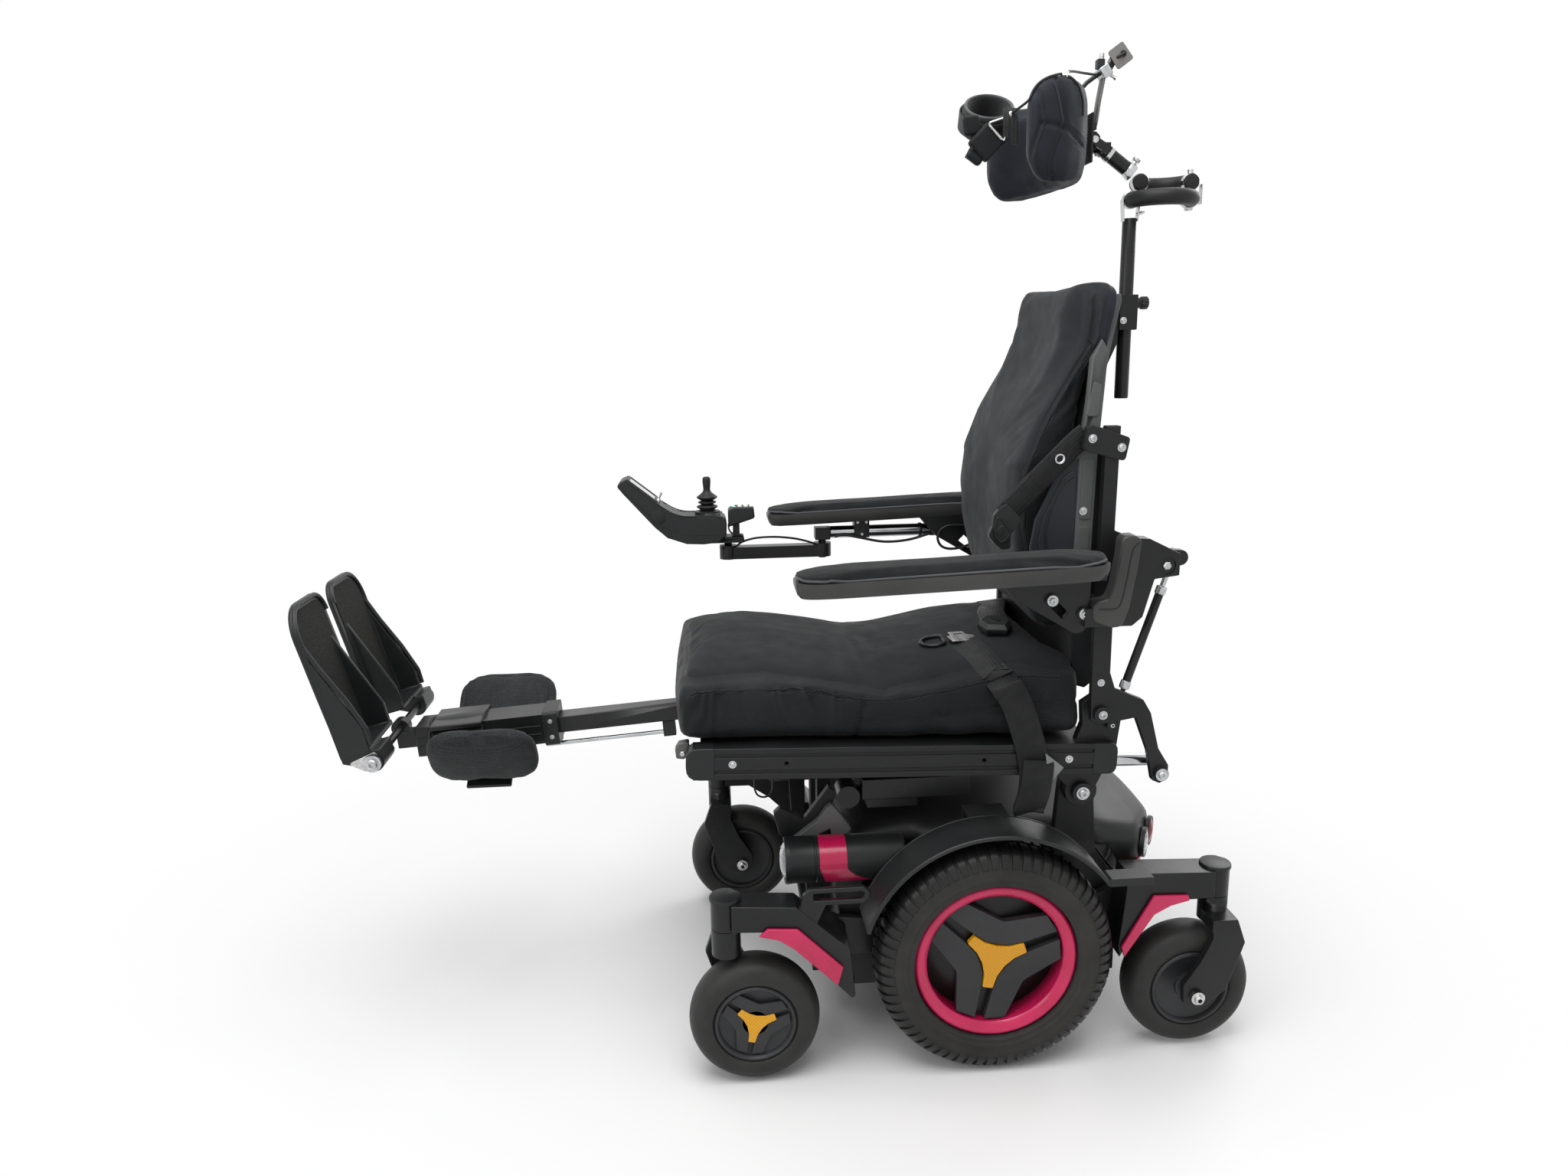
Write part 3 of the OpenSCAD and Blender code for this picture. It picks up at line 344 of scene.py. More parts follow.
def table_of(table, places):
    """Values read off a table of (place, value) rows."""
    return np.interp(places, [row[0] for row in table], [row[1] for row in table])


def along_table(table, x):
    """One value read off a table."""
    return float(table_of(table, x))


def loft(rings, ends=True, loop=False, closed=True):
    """Quads between rings of points: the points and the faces."""
    count, size = len(rings), len(rings[0])
    points = [Vector(point) for ring in rings for point in ring]
    faces = []
    for i in range(count if loop else count - 1):
        a, b = i * size, (i + 1) % count * size
        faces += [(a + j, a + (j + 1) % size, b + (j + 1) % size, b + j) for j in range(size if closed else size - 1)]
    if ends and not loop:
        faces += [tuple(range(size))[::-1], tuple(range((count - 1) * size, count * size))]
    return points, faces


def joined(*shapes):
    """Several shapes as one."""
    points, faces = [], []
    for shape in shapes:
        faces += [tuple(len(points) + i for i in face) for face in shape[1]]
        points = points + list(shape[0])
    return points, faces


def faced_out(mesh, merge=0.0):
    """Joins a mesh's points that are closer than a distance, and turns its faces outwards."""
    form = bmesh.new()
    form.from_mesh(mesh)
    if merge:
        bmesh.ops.remove_doubles(form, verts=form.verts, dist=merge)
    bmesh.ops.recalc_face_normals(form, faces=form.faces)
    form.to_mesh(mesh)
    form.free()


def piece(name, shapes, body, replaces=(), ease=0.0, wall=0.0, rounds=0, sharp=35):
    """One finished piece from shapes with their finishes: closed, faced outwards, smooth-shaded and placed."""
    mesh = bpy.data.meshes.new(name)
    points, faces, owners, lays, finishes = [], [], [], [], []
    for shape, material in shapes:
        if material not in finishes:
            finishes.append(material)
        faces += [tuple(len(points) + i for i in face) for face in shape[1]]
        owners += [finishes.index(material)] * len(shape[1])
        lays += shape[2] if len(shape) > 2 else [(0, 0, 0)] * len(shape[0])
        points += list(shape[0])
    mesh.from_pydata(points, [], faces)
    for material in finishes:
        mesh.materials.append(material)
    mesh.polygons.foreach_set("material_index", owners)
    if any(len(shape) > 2 for shape, material in shapes):
        mesh.attributes.new("lay", "FLOAT_VECTOR", "POINT").data.foreach_set("vector", np.array(lays, float).ravel())
    faced_out(mesh, SAME_POINT)
    mesh.shade_smooth()
    made = added(name, mesh)
    if wall:
        skin = made.modifiers.new("wall", "SOLIDIFY")
        skin.thickness, skin.offset = wall, -1
    if ease:
        edge = made.modifiers.new("eased_edges", "BEVEL")
        edge.width, edge.segments, edge.limit_method = ease, 2, "ANGLE"
        edge.angle_limit = math.radians(sharp)
        made.modifiers.new("even_shading", "WEIGHTED_NORMAL")
    elif rounds:
        curve = made.modifiers.new("rounded", "SUBSURF")
        curve.levels = curve.render_levels = rounds
    else:
        mesh.set_sharp_from_angle(angle=math.radians(sharp))
    return placed(made, body, replaces)


def cover_height(x, y):
    """The shell's top at a place, turned down over its shoulders."""
    half = along_table(COVER_PLAN, x)
    edge = min(half - abs(y), x - COVER_PLAN[0][0], (COVER_PLAN[-1][0] - x) * 1.3)
    bend = max(0.0, COVER_SHOULDER - max(edge, 0.0))
    return along_table(COVER_TOP, x) - COVER_CROWN * y * y - (
        COVER_SHOULDER - math.sqrt(max(COVER_SHOULDER ** 2 - bend ** 2, 0)))


cover_rows = []
for i in range(COVER_STEPS_X + 1):
    share = i / COVER_STEPS_X
    x = COVER_PLAN[0][0] + (COVER_PLAN[-1][0] - COVER_PLAN[0][0]) * (share - 0.1 * math.sin(2 * math.pi * share) / 2)
    half, foot = along_table(COVER_PLAN, x), along_table(COVER_FOOT, x)
    spread = [math.sin(math.pi / 2 * v) for v in np.linspace(-1, 1, COVER_STEPS_Y + 1)]
    tops = [(half * v, max(cover_height(x, half * v), foot + 0.004)) for v in spread]
    cover_rows.append([at(x, -half, foot)] + [at(x, y, z) for y, z in tops] + [at(x, half, foot)])
front_foot = [Vector((p.x, p.y, COVER_FOOT[0][1])) for p in cover_rows[0]]
rear_foot = [Vector((p.x, p.y, COVER_FOOT[-1][1])) for p in cover_rows[-1]]
cover_shell = loft([front_foot] + cover_rows + [rear_foot], ends=False, closed=False)
cover_black = coated("cover_black_plastic", (0.02, 0.021, 0.021), (0.029, 0.03, 0.03), (0.38, 0.5), 900, 0.00025)

magenta = hazed("magenta_gloss_paint", {"Coat Weight": 0.35, "Coat Roughness": 0.12, "Specular IOR Level": 0.35}, 14,
                (0.5, 0.006, 0.07), (0.61, 0.011, 0.098), (0.24, 0.38), Detail=5)
relief(magenta, grain(magenta, "Noise", 320, Detail=1), 0.0002, 0.25)


def frames_along(path):
    """For each point of a path, its direction and two directions across it, without twist."""
    path = [Vector(p) for p in path]
    ways = [(path[min(i + 1, len(path) - 1)] - path[max(i - 1, 0)]).normalized() for i in range(len(path))]
    side = ways[0].cross(UP)
    side = side.normalized() if side.length > 1e-4 else ways[0].orthogonal().normalized()
    result = []
    for way in ways:
        side = (side - way * side.dot(way)).normalized()
        result.append((way, side, way.cross(side)))
    return result


def angles(count):
    """So many even angles round a full turn."""
    return np.linspace(0, 2 * math.pi, count, endpoint=False)


def rod(path, radius, sides=14):
    """A round bar or tube along a path; the radius may change from point to point."""
    radii = radius if isinstance(radius, (list, tuple)) else [radius] * len(path)
    rings = []
    for point, r, (way, a, b) in zip(path, radii, frames_along(path)):
        rings.append([Vector(point) + (a * math.cos(t) + b * math.sin(t)) * r for t in angles(sides)])
    return loft(rings)


def curved(points, per=6):
    """A smooth path through a few points."""
    points = [Vector(p) for p in points]
    path = []
    for i in range(len(points) - 1):
        a, b, c, d = points[max(i - 1, 0)], points[i], points[i + 1], points[min(i + 2, len(points) - 1)]
        for k in range(per):
            t = k / per
            path.append(0.5 * (2 * b + (c - a) * t + (2 * a - 5 * b + 4 * c - d) * t ** 2
                               + (3 * b - a - 3 * c + d) * t ** 3))
    return path + [points[-1]]


def strip(path, width, thickness, wide=None):
    """A flat band along a path, with softened edges and its lay in metres: across, then along."""
    path = [Vector(p) for p in path]
    rings, lays, run = [], [], 0.0
    half, deep, edge = width / 2, thickness / 2, thickness / 2 * STRIP_EDGE
    section = [(-half, -edge), (-half + deep, -deep), (0, -deep), (half - deep, -deep), (half, -edge),
               (half, edge), (half - deep, deep), (0, deep), (-half + deep, deep), (-half, edge)]
    for i, (point, (way, a, b)) in enumerate(zip(path, frames_along(path))):
        side = Vector(wide[i] if isinstance(wide, list) else wide) if wide is not None else a
        side = (side - way * side.dot(way)).normalized()
        out = side.cross(way)
        run += (point - path[max(i - 1, 0)]).length
        rings.append([point + side * u + out * v for u, v in section])
        lays += [(u, run, v) for u, v in section]
    return (*loft(rings), lays)


rim_line = [at(x, along_table(COVER_PLAN, x) + 0.0012, along_table(COVER_FOOT, x) + 0.0045)
            for x in (0.216, 0.226, 0.234, 0.244, 0.256, 0.268, 0.28, 0.292, 0.299)]
rim_band = rim_line + [at(0.3053, y, 0.2665) for y in (0.045, 0.015, -0.015, -0.045)] + [
    Vector((p.x, -p.y, p.z)) for p in reversed(rim_line)]
piece("top_cover", [(cover_shell, cover_black)], "chassis", ["base_cover"], wall=COVER_WALL,
      sharp=50)
piece("cover_edging", [(strip(rim_band, 0.01, 0.0022, wide=(0, 0, 1)), magenta)], "chassis")

# The side tubes with the headlights
# Plastic tubes along the chassis sides, each with a lamp in its front end: a collar, a bright bowl and a
# clear lens. A plain magenta film is wrapped round each tube.
TUBE_Y, TUBE_Z, TUBE_R = 0.193, 0.302, 0.034
TUBE_REAR = -0.119
FILM = 0.0003


def turned(profile, centre, axis, segments=64, spread=None):
    """A turned piece: (radius, along) pairs spun about an axis."""
    axis = Vector(axis).normalized()
    u = axis.orthogonal().normalized()
    v = axis.cross(u)
    rings = []
    for t in angles(segments):
        way = u * math.cos(t) + v * math.sin(t)
        rings.append([Vector(centre) + axis * along + way * (radius + (spread(t, radius) if spread else 0))
                      for radius, along in profile])
    return loft(rings, loop=True)


clear_lens = finish("clear_lamp_lens", {"Base Color": (0.93, 0.95, 0.96, 1), "Transmission Weight": 0.92,
                                        "IOR": 1.45})
gloss(clear_lens, grain(clear_lens, "Noise", 40), 0.04, 0.12)
relief(clear_lens, grain(clear_lens, "Voronoi", 260), 0.0006, 0.35)
bright_bowl = finish("lamp_bowl_silver", {"Metallic": 1.0, "Base Color": (0.75, 0.76, 0.78, 1)})
gloss(bright_bowl, grain(bright_bowl, "Noise", 80), 0.12, 0.3)

tubes, headlights = [], []
for side in (-1, 1):
    axis_start = at(0, side * TUBE_Y, TUBE_Z)
    tubes.append((turned([(0, TUBE_REAR), (0.03, TUBE_REAR), (0.033, TUBE_REAR - 0.002), (TUBE_R, TUBE_REAR - 0.006),
                          (TUBE_R, -0.25), (0.033, -0.2508), (0.033, -0.2528), (TUBE_R, -0.2536), (TUBE_R, -0.2865),
                          (0.0345, -0.288), (0.0348, -0.2935), (0.0338, -0.2962), (0.0318, -0.2965), (0.0308, -0.294),
                          (0.0304, -0.282), (0.028, -0.27), (0, -0.266)], axis_start, (1, 0, 0)), moulded_black))
    film = []
    for t in angles(72):
        low = max(0.0, -math.sin(t))
        front, rear = -0.2465 + 0.012 * low, -0.206 + 0.052 * low ** 1.5
        way = Vector((0, math.cos(t), math.sin(t)))
        film.append([axis_start + Vector((x, 0, 0)) + way * r for x, r in
                     ((front, TUBE_R - FILM), (front + FILM, TUBE_R + FILM), (rear - FILM, TUBE_R + FILM),
                      (rear, TUBE_R - FILM))])
    tubes.append((loft(film, loop=True), magenta))
    headlights.append((turned([(0, -0.27), (0.01, -0.2712), (0.022, -0.277), (0.0285, -0.286), (0.0275, -0.2862),
                               (0.021, -0.2785), (0.009, -0.2727), (0, -0.2715)], axis_start, (1, 0, 0), 48),
                       bright_bowl))
    headlights.append((turned([(0, -0.3035), (0.012, -0.3028), (0.022, -0.2995), (0.0288, -0.293), (0.03, -0.288),
                               (0.0275, -0.2885), (0.021, -0.2965), (0.011, -0.3002), (0, -0.301)], axis_start,
                              (1, 0, 0), 48), clear_lens))
    headlights.append((turned([(0, -0.281), (0.0045, -0.2805), (0.006, -0.277), (0.006, -0.271), (0, -0.271)],
                              axis_start, (1, 0, 0), 24), clear_lens))
piece("side_tubes_wrapped", tubes, "chassis", ["side_tubes"])

# The front struts
# A grey cast strut on each side of the chassis, shaped like an upturned V, carries the front of the seat's
# tilt drive between the side tubes.
# The strut's grey is painted about twice as light as the alloy's own tone: painted light that makes up for the shade
# the strut stands in.
strut_grey_painted_light = coated("painted_light_strut_alloy", (0.12, 0.124, 0.124), (0.165, 0.169, 0.168), (0.38, 0.52), 1100, 0.0002)
STRUT = [(-0.3, 0.3037), (-0.2421, 0.3492), (-0.229, 0.3682), (-0.2216, 0.3737), (-0.2143, 0.3654), (-0.1923, 0.3326),
         (-0.2054, 0.3134), (-0.2203, 0.3142), (-0.2238, 0.3343), (-0.2387, 0.3272), (-0.276, 0.3053),
         (-0.2947, 0.2924)]


def slab(outline, near, far, place=at):
    """A plate with an outline in the side view, between two distances from the chair's middle."""
    return loft([[place(x, y, z) for x, z in outline] for y in (near, far)])


def both(outline, near, far, material):
    """The same plate on both sides of the chair."""
    return [(slab(outline, side * near, side * far), material) for side in (-1, 1)]


piece("front_struts", both(STRUT, 0.15, 0.164, strut_grey_painted_light), "chassis", ease=EASE)

# The tail lamps
# Two round lamps on each rear corner of the cover: the outer clear with a bright bowl, the inner red, each
# with a moulded black cup, a lip and a ribbed lens.
TAIL_LINE = (Vector((0.24, 0.194)), Vector((0.3, 0.096)))
TAIL_Z, TAIL_R = 0.288, 0.021
red_lens = finish("red_lamp_lens", {"Transmission Weight": 0.55, "IOR": 1.47})
tint(red_lens, grain(red_lens, "Noise", 60), (0.42, 0.008, 0.01), (0.6, 0.016, 0.014))
gloss(red_lens, grain(red_lens, "Noise", 45), 0.06, 0.16)
lamp_out = Vector((0.098, 0.06, 0)).normalized()
tails = []
for side in (-1, 1):
    for share, glass in ((0.3, clear_lens), (0.7, red_lens)):
        spot = TAIL_LINE[0].lerp(TAIL_LINE[1], share)
        centre = at(spot.x, side * spot.y, TAIL_Z)
        out = Vector((lamp_out.x, side * lamp_out.y, 0))
        cup = [(0, 0.0005), (TAIL_R * 0.97, 0.0005), (TAIL_R + 0.002, 0.001), (TAIL_R + 0.002, 0.0065),
               (TAIL_R + 0.0008, 0.0075), (TAIL_R - 0.0008, 0.007), (TAIL_R - 0.001, 0.003), (0, 0.002)]
        tails.append((turned(cup, centre, out, 48), moulded_black))
        bowl = [(0, 0.0024), (TAIL_R - 0.0015, 0.0034), (TAIL_R - 0.0015, 0.0042), (0, 0.0032)]
        tails.append((turned(bowl, centre, out, 48), bright_bowl if glass is clear_lens else glass))
        steps = [(TAIL_R - 0.0014) * k / 14 for k in range(15)]
        face = [(r, 0.0096 - 0.0034 * (r / TAIL_R) ** 2 - (0.0005 if k % 2 else 0)) for k, r in enumerate(steps)]
        tails.append((turned(face + [(TAIL_R - 0.0014, 0.0046), (0, 0.0046)], centre, out, 48), glass))
piece("lamps", headlights + tails, "chassis", ["lamp_lenses"])

# The fenders
# Bent plastic guards over the drive wheels with a rolled lip on both edges and a flat step behind, on
# brackets from the chassis.
FENDER_R, FENDER_ARC = 0.1965, (161.5, 36.5)
FENDER_EDGES = (0.2292, 0.2988)
fender_black = coated("fender_black_plastic", (0.013, 0.014, 0.0145), (0.021, 0.022, 0.0225), (0.3, 0.42), 1000,
                      0.0002)
eased("fenders", fender_black, 0.0012)
fender_lips = []
for side in (-1, 1):
    for edge in FENDER_EDGES:
        arc = [at(FENDER_R * math.cos(a), side * edge, 0.175 + FENDER_R * math.sin(a))
               for a in np.radians(np.linspace(*FENDER_ARC, 60))]
        fender_lips.append((rod(arc, 0.0034, 10), fender_black))
piece("fender_rolled_lips", fender_lips, "chassis")

# The drive tyres
# Foam-filled rubber tyres with a warm grey smooth sidewall, two fine ribs on it, and rows of square lugs
# that run over both shoulders, one side half a pitch behind the other.
SIDES = ((-1, "left"), (1, "right"))
DRIVE_Y, DRIVE_Z = 0.262, 0.175
LUGS = 66
LUG_HALF = 0.0054
TYRE_SIDE = [(0.1195, 0.0318), (0.1212, 0.0345), (0.1232, 0.0352), (0.1242, 0.0347), (0.13, 0.0361), (0.1306, 0.0368),
             (0.1318, 0.0368), (0.1324, 0.0363), (0.14, 0.037), (0.148, 0.0366), (0.1545, 0.0348), (0.1605, 0.0312),
             (0.1655, 0.0258), (0.169, 0.019), (0.1708, 0.011), (0.1712, 0.0)]
LUG_PATH = [(0.15, 0.0375), (0.158, 0.0355), (0.1655, 0.0308), (0.1712, 0.0238), (0.1742, 0.014), (0.175, 0.0045)]
LUG_DEPTH = 0.0062


def rubber(name, low, high, rough):
    """Tyre rubber: dusty in patches, with fine moulding grain."""
    material = hazed(name, {"Specular IOR Level": 0.25}, 18, low, high, rough, (0.3, 0.72), Detail=6, Roughness=0.62)
    relief(material, grain(material, "Noise", 900, Detail=2), 0.0002, 0.4)
    return material


tyre_rubber = rubber("drive_tyre_rubber", (0.018, 0.0175, 0.0165), (0.04, 0.039, 0.037), (0.55, 0.75))
lug_rubber = rubber("tread_lug_rubber", (0.012, 0.012, 0.0118), (0.024, 0.0238, 0.023), (0.24, 0.4))


def shape_recipe(name, sizes):
    """An empty shape recipe with its named sizes and its finish; returns the tree and its entry's outputs."""
    tree = bpy.data.node_groups.new(name, "GeometryNodeTree")
    for label, kind in (("Geometry", "Geometry"), *sizes, ("Finish", "Material")):
        tree.interface.new_socket(label, in_out="INPUT", socket_type="NodeSocket" + kind)
    tree.interface.new_socket("Geometry", in_out="OUTPUT", socket_type="NodeSocketGeometry")
    return tree, new_node(tree, "NodeGroupInput").outputs


def copied(tree, entry, feeds):
    """Ends a shape recipe: copies on points, made real and given their finish."""
    copies = new_node(tree, "GeometryNodeInstanceOnPoints", {}, feeds)
    real = new_node(tree, "GeometryNodeRealizeInstances", {}, {0: copies.outputs[0]})
    done = new_node(tree, "GeometryNodeSetMaterial", {}, {"Geometry": real.outputs[0], "Material": entry["Finish"]})
    new_node(tree, "NodeGroupOutput", {}, {0: done.outputs[0]})


def worked(holder):
    """The mesh that a piece's modifiers make."""
    return bpy.data.meshes.new_from_object(holder.evaluated_get(bpy.context.evaluated_depsgraph_get()))


def repeated(tree, name, shape, settings, attributes=None):
    """Runs a shape recipe on a shape with its sizes set and returns the plain mesh it makes."""
    mesh = bpy.data.meshes.new(name)
    mesh.from_pydata(*([shape[0], [], shape[1]] if len(shape) == 2 else shape))
    for label, (kind, field, values) in (attributes or {}).items():
        mesh.attributes.new(label, kind, "POINT").data.foreach_set(field, np.array(values, float).ravel())
    holder = added(name, mesh)
    recipe = holder.modifiers.new("repeat", "NODES")
    recipe.node_group = tree
    for item in tree.interface.items_tree:
        if item.in_out == "INPUT" and item.name in settings:
            recipe[item.identifier] = settings[item.name]
    made = worked(holder)
    bpy.data.objects.remove(holder)
    return made


def settled(name, mesh, body, sharp):
    """A repeated mesh made into a placed piece."""
    mesh.shade_smooth()
    mesh.set_sharp_from_angle(angle=math.radians(sharp))
    return placed(added(name, mesh), body)


ring_tree, ring_in = shape_recipe("ring_about_axle", [("Count", "Int"), ("Centre", "Vector")])
ring_home = new_node(ring_tree, "ShaderNodeVectorMath", {"operation": "SCALE", "Scale": -1}, {0: ring_in["Centre"]})
ring_move = new_node(ring_tree, "GeometryNodeTransform", {},
                     {"Geometry": ring_in["Geometry"], "Translation": ring_home.outputs["Vector"]})
ring_points = new_node(ring_tree, "GeometryNodePoints", {},
                       {"Count": ring_in["Count"], "Position": ring_in["Centre"]})
ring_index = new_node(ring_tree, "GeometryNodeInputIndex")
ring_share = new_node(ring_tree, "ShaderNodeMath", {"operation": "DIVIDE"},
                      {0: ring_index.outputs[0], 1: ring_in["Count"]})
ring_turn = new_node(ring_tree, "ShaderNodeMath", {"operation": "MULTIPLY", 1: 2 * math.pi},
                     {0: ring_share.outputs[0]})
ring_euler = new_node(ring_tree, "ShaderNodeCombineXYZ", {}, {"Y": ring_turn.outputs[0]})
ring_rotation = new_node(ring_tree, "FunctionNodeEulerToRotation", {}, {0: ring_euler.outputs[0]})
copied(ring_tree, ring_in, {"Points": ring_points.outputs[0], "Instance": ring_move.outputs[0],
                            "Rotation": ring_rotation.outputs[0]})


def tread_lug(centre, shift):
    """One lug over a shoulder, standing on top of the wheel, turned back by a part of the pitch."""
    rings = []
    for edge in (-1, 1):
        outer = [(r, y, LUG_HALF * r / DRIVE_Z) for r, y in LUG_PATH]
        inner = [(r - LUG_DEPTH, y * 0.86, 1.12 * LUG_HALF * r / DRIVE_Z) for r, y in reversed(LUG_PATH)]
        ring = []
        for r, y, half in outer + inner:
            a = math.radians(90) - edge * half / r - shift
            ring.append(centre + Vector((r * math.cos(a), y, r * math.sin(a))))
        rings.append(ring)
    return loft(rings)


def doubled(profile):
    """A half profile with its mirror image, for a wheel that is the same on both sides."""
    return profile + [(r, -w) for r, w in reversed(profile) if w]


for side, word in SIDES:
    centre = at(0, side * DRIVE_Y, DRIVE_Z)
    profile = doubled(TYRE_SIDE)
    piece("drive_tyre_carcass_" + word, [(turned(profile, centre, (0, 1, 0), 128), tyre_rubber)],
          "drive_wheel_" + word, ["drive_tyre_" + word], sharp=50)
    near = tread_lug(centre, 0)
    far_lug = tread_lug(centre, math.pi / LUGS)
    far_lug = [Vector((p.x, 2 * centre.y - p.y, p.z)) for p in far_lug[0]], [face[::-1] for face in far_lug[1]]
    lugs = repeated(ring_tree, "tread_" + word, joined(near, far_lug),
                    {"Count": LUGS, "Centre": tuple(centre), "Finish": lug_rubber})
    settled("drive_tread_" + word, lugs, "drive_wheel_" + word, 25)

# The drive rims
# A die-cast rim with a magenta lacquered ring. Three dark grey V-shaped caps fill it, each over two of the
# spider's arms, with an amber reflector star of three blunt arms over the hub.
RING_OUT, RING_IN = 0.1182, 0.1
STAR_ANGLES = (18, 138, 258)
cap_grey = coated("wheel_cap_grey", (0.026, 0.027, 0.029), (0.038, 0.039, 0.041), (0.34, 0.46), 1300, 0.00015)
amber = finish("amber_reflector", {"Coat Weight": 0.2, "Coat Roughness": 0.1, "Specular IOR Level": 0.3})
amber_cells = grain(amber, "Voronoi", 260, turn=(0, 0.785, 0), Randomness=0.0, feature="F1")
tint(amber, amber_cells, (0.86, 0.43, 0.01), (0.56, 0.23, 0.004), (0.2, 0.9))
gloss(amber, grain(amber, "Noise", 60), 0.12, 0.24)
relief(amber, amber_cells, 0.0005, 0.5)


def wheel_plate(outline, centre, side, near, far):
    """A plate in the wheel's plane: its outline from the axle, and its two faces' distances outwards."""
    return loft([[centre + Vector((a, side * y, b)) for a, b in outline] for y in (near, far)])


def polar(angle, along, offset):
    """A point along a wheel arm, shifted to its left."""
    a = math.radians(angle)
    return math.cos(a) * along - math.sin(a) * offset, math.sin(a) * along + math.cos(a) * offset


def rounded(corners, radius, steps=5):
    """An outline with its corners rounded; the radius may be given for each corner."""
    radii = radius if isinstance(radius, (list, tuple)) else [radius] * len(corners)
    outline = []
    for i, r in enumerate(radii):
        spot, before, after = Vector(corners[i]), Vector(corners[i - 1]), Vector(corners[(i + 1) % len(corners)])
        u, v = (before - spot).normalized(), (after - spot).normalized()
        half = math.acos(max(-1, min(1, u.dot(v)))) / 2
        if r <= 0 or half > 1.5:
            outline.append(tuple(spot))
            continue
        reach = min(r / math.tan(half), 0.49 * (before - spot).length, 0.49 * (after - spot).length)
        for t in np.linspace(0, 1, steps):
            outline.append(tuple((1 - t) ** 2 * (spot + u * reach) + 2 * t * (1 - t) * spot
                                 + t * t * (spot + v * reach)))
    return outline


def cap_outline(start, size):
    """The V-shaped cap between one arm and the next, for a ring of this inner radius."""
    end = start + 120
    slot, leg = (math.sqrt(0.985 ** 2 - w * w) for w in (0.07, 0.37))
    spots = [(start, slot, 0.07), (start, 0.5, 0.088), (start, 0.27, 0.115), (start + 60, 0.225, 0),
             (end, 0.27, -0.115), (end, 0.5, -0.088), (end, slot, -0.07), (end, leg, -0.37), (start + 60, 0.58, 0),
             (start, leg, 0.37)]
    bends = (0.01, 0.03, 0.1, 0.14, 0.1, 0.03, 0.01, 0.02, 0.16, 0.02)
    corners = [polar(turn, along * size, offset * size) for turn, along, offset in spots]
    return rounded(corners, [bend * size for bend in bends])


def star_outline(size):
    """The reflector star: three blunt arms with hollow sides."""
    spots = []
    for turn in STAR_ANGLES:
        for past, along, offset in ((0, 0.47, -0.076), (0, 0.47, 0.076), (0, 0.27, 0.098), (60, 0.195, 0.0),
                                    (120, 0.27, -0.098)):
            spots.append(polar(turn + past, along * size, offset * size))
    return rounded(spots, [bend * size for bend in (0.02, 0.02, 0.1, 0.12, 0.1)] * len(STAR_ANGLES))


for side, word in SIDES:
    centre = at(0, side * DRIVE_Y, DRIVE_Z)
    axle = (0, side, 0)
    body = "drive_wheel_" + word
    ring = [(RING_OUT - 0.0015, 0.0275), (RING_OUT - 0.0035, 0.0292), (RING_OUT - 0.006, 0.0296), (0.106, 0.0268),
            (RING_IN + 0.0016, 0.0238), (RING_IN, 0.0215), (RING_IN + 0.001, -0.01), (0.1065, -0.0245),
            (RING_OUT - 0.002, -0.028), (RING_OUT, -0.026), (RING_OUT, 0.0255)]
    piece("rim_ring_" + word, [(turned(ring, centre, axle, 96), magenta)], body, ["drive_rim_" + word])
    drum = [(0, 0.0092), (0.03, 0.0092), (0.034, 0.0075), (0.036, 0.004), (0.092, -0.01), (0.1022, -0.0115),
            (0.1022, -0.0165), (0.034, -0.0165), (0.03, -0.0185), (0, -0.0185)]
    spider = [(turned(drum, centre, axle, 72), satin_black)]
    for angle in STAR_ANGLES:
        arm = [polar(angle, 0.024, -0.016), polar(angle, 0.1005, -0.0115), polar(angle, 0.1005, 0.0115),
               polar(angle, 0.024, 0.016)]
        spider.append((wheel_plate(arm, centre, side, -0.012, 0.0062), satin_black))
    piece("rim_spider_" + word, spider, body, ease=0.001)
    caps = [(wheel_plate(cap_outline(angle, RING_IN), centre, side, 0.0066, 0.0178), cap_grey)
            for angle in STAR_ANGLES]
    piece("wheel_caps_" + word, caps, body, ease=0.0022)
    star = [(wheel_plate(star_outline(RING_IN), centre, side, 0.0094, 0.0206), amber)]
    piece("wheel_star_" + word, star, body, ease=0.0016)

# The suspension arms
# Cast alloy arms, black, on the chassis pins, each with a swivel housing for a caster and a magenta cover
# strip. A plastic cap with a finger notch closes each housing.
CORNERS = [(end, word, x, y * side) for end, x, y in (("front", -0.386, 0.258), ("rear", 0.342, 0.236))
           for side, word in SIDES]
SWIVEL_CAP = [(0, 0.2862), (0.019, 0.286), (0.0218, 0.2852), (0.0226, 0.2838), (0.0226, 0.28), (0, 0.28)]


def notch(t, radius):
    """A finger notch in the rim of a cap."""
    return -0.0016 if math.cos(t) > 0.985 and radius > 0.02 else 0


for end, word, x, y in CORNERS:
    corner = end + "_" + word
    eased("caster_arm_" + corner, satin_black, 0.0018)
    eased("arm_cover_" + corner, magenta, 0.0014)
    cap = turned(SWIVEL_CAP, at(x, y, 0), UP, 48, notch)
    piece("swivel_cap_" + corner, [(cap, moulded_black)], "suspension_" + corner)

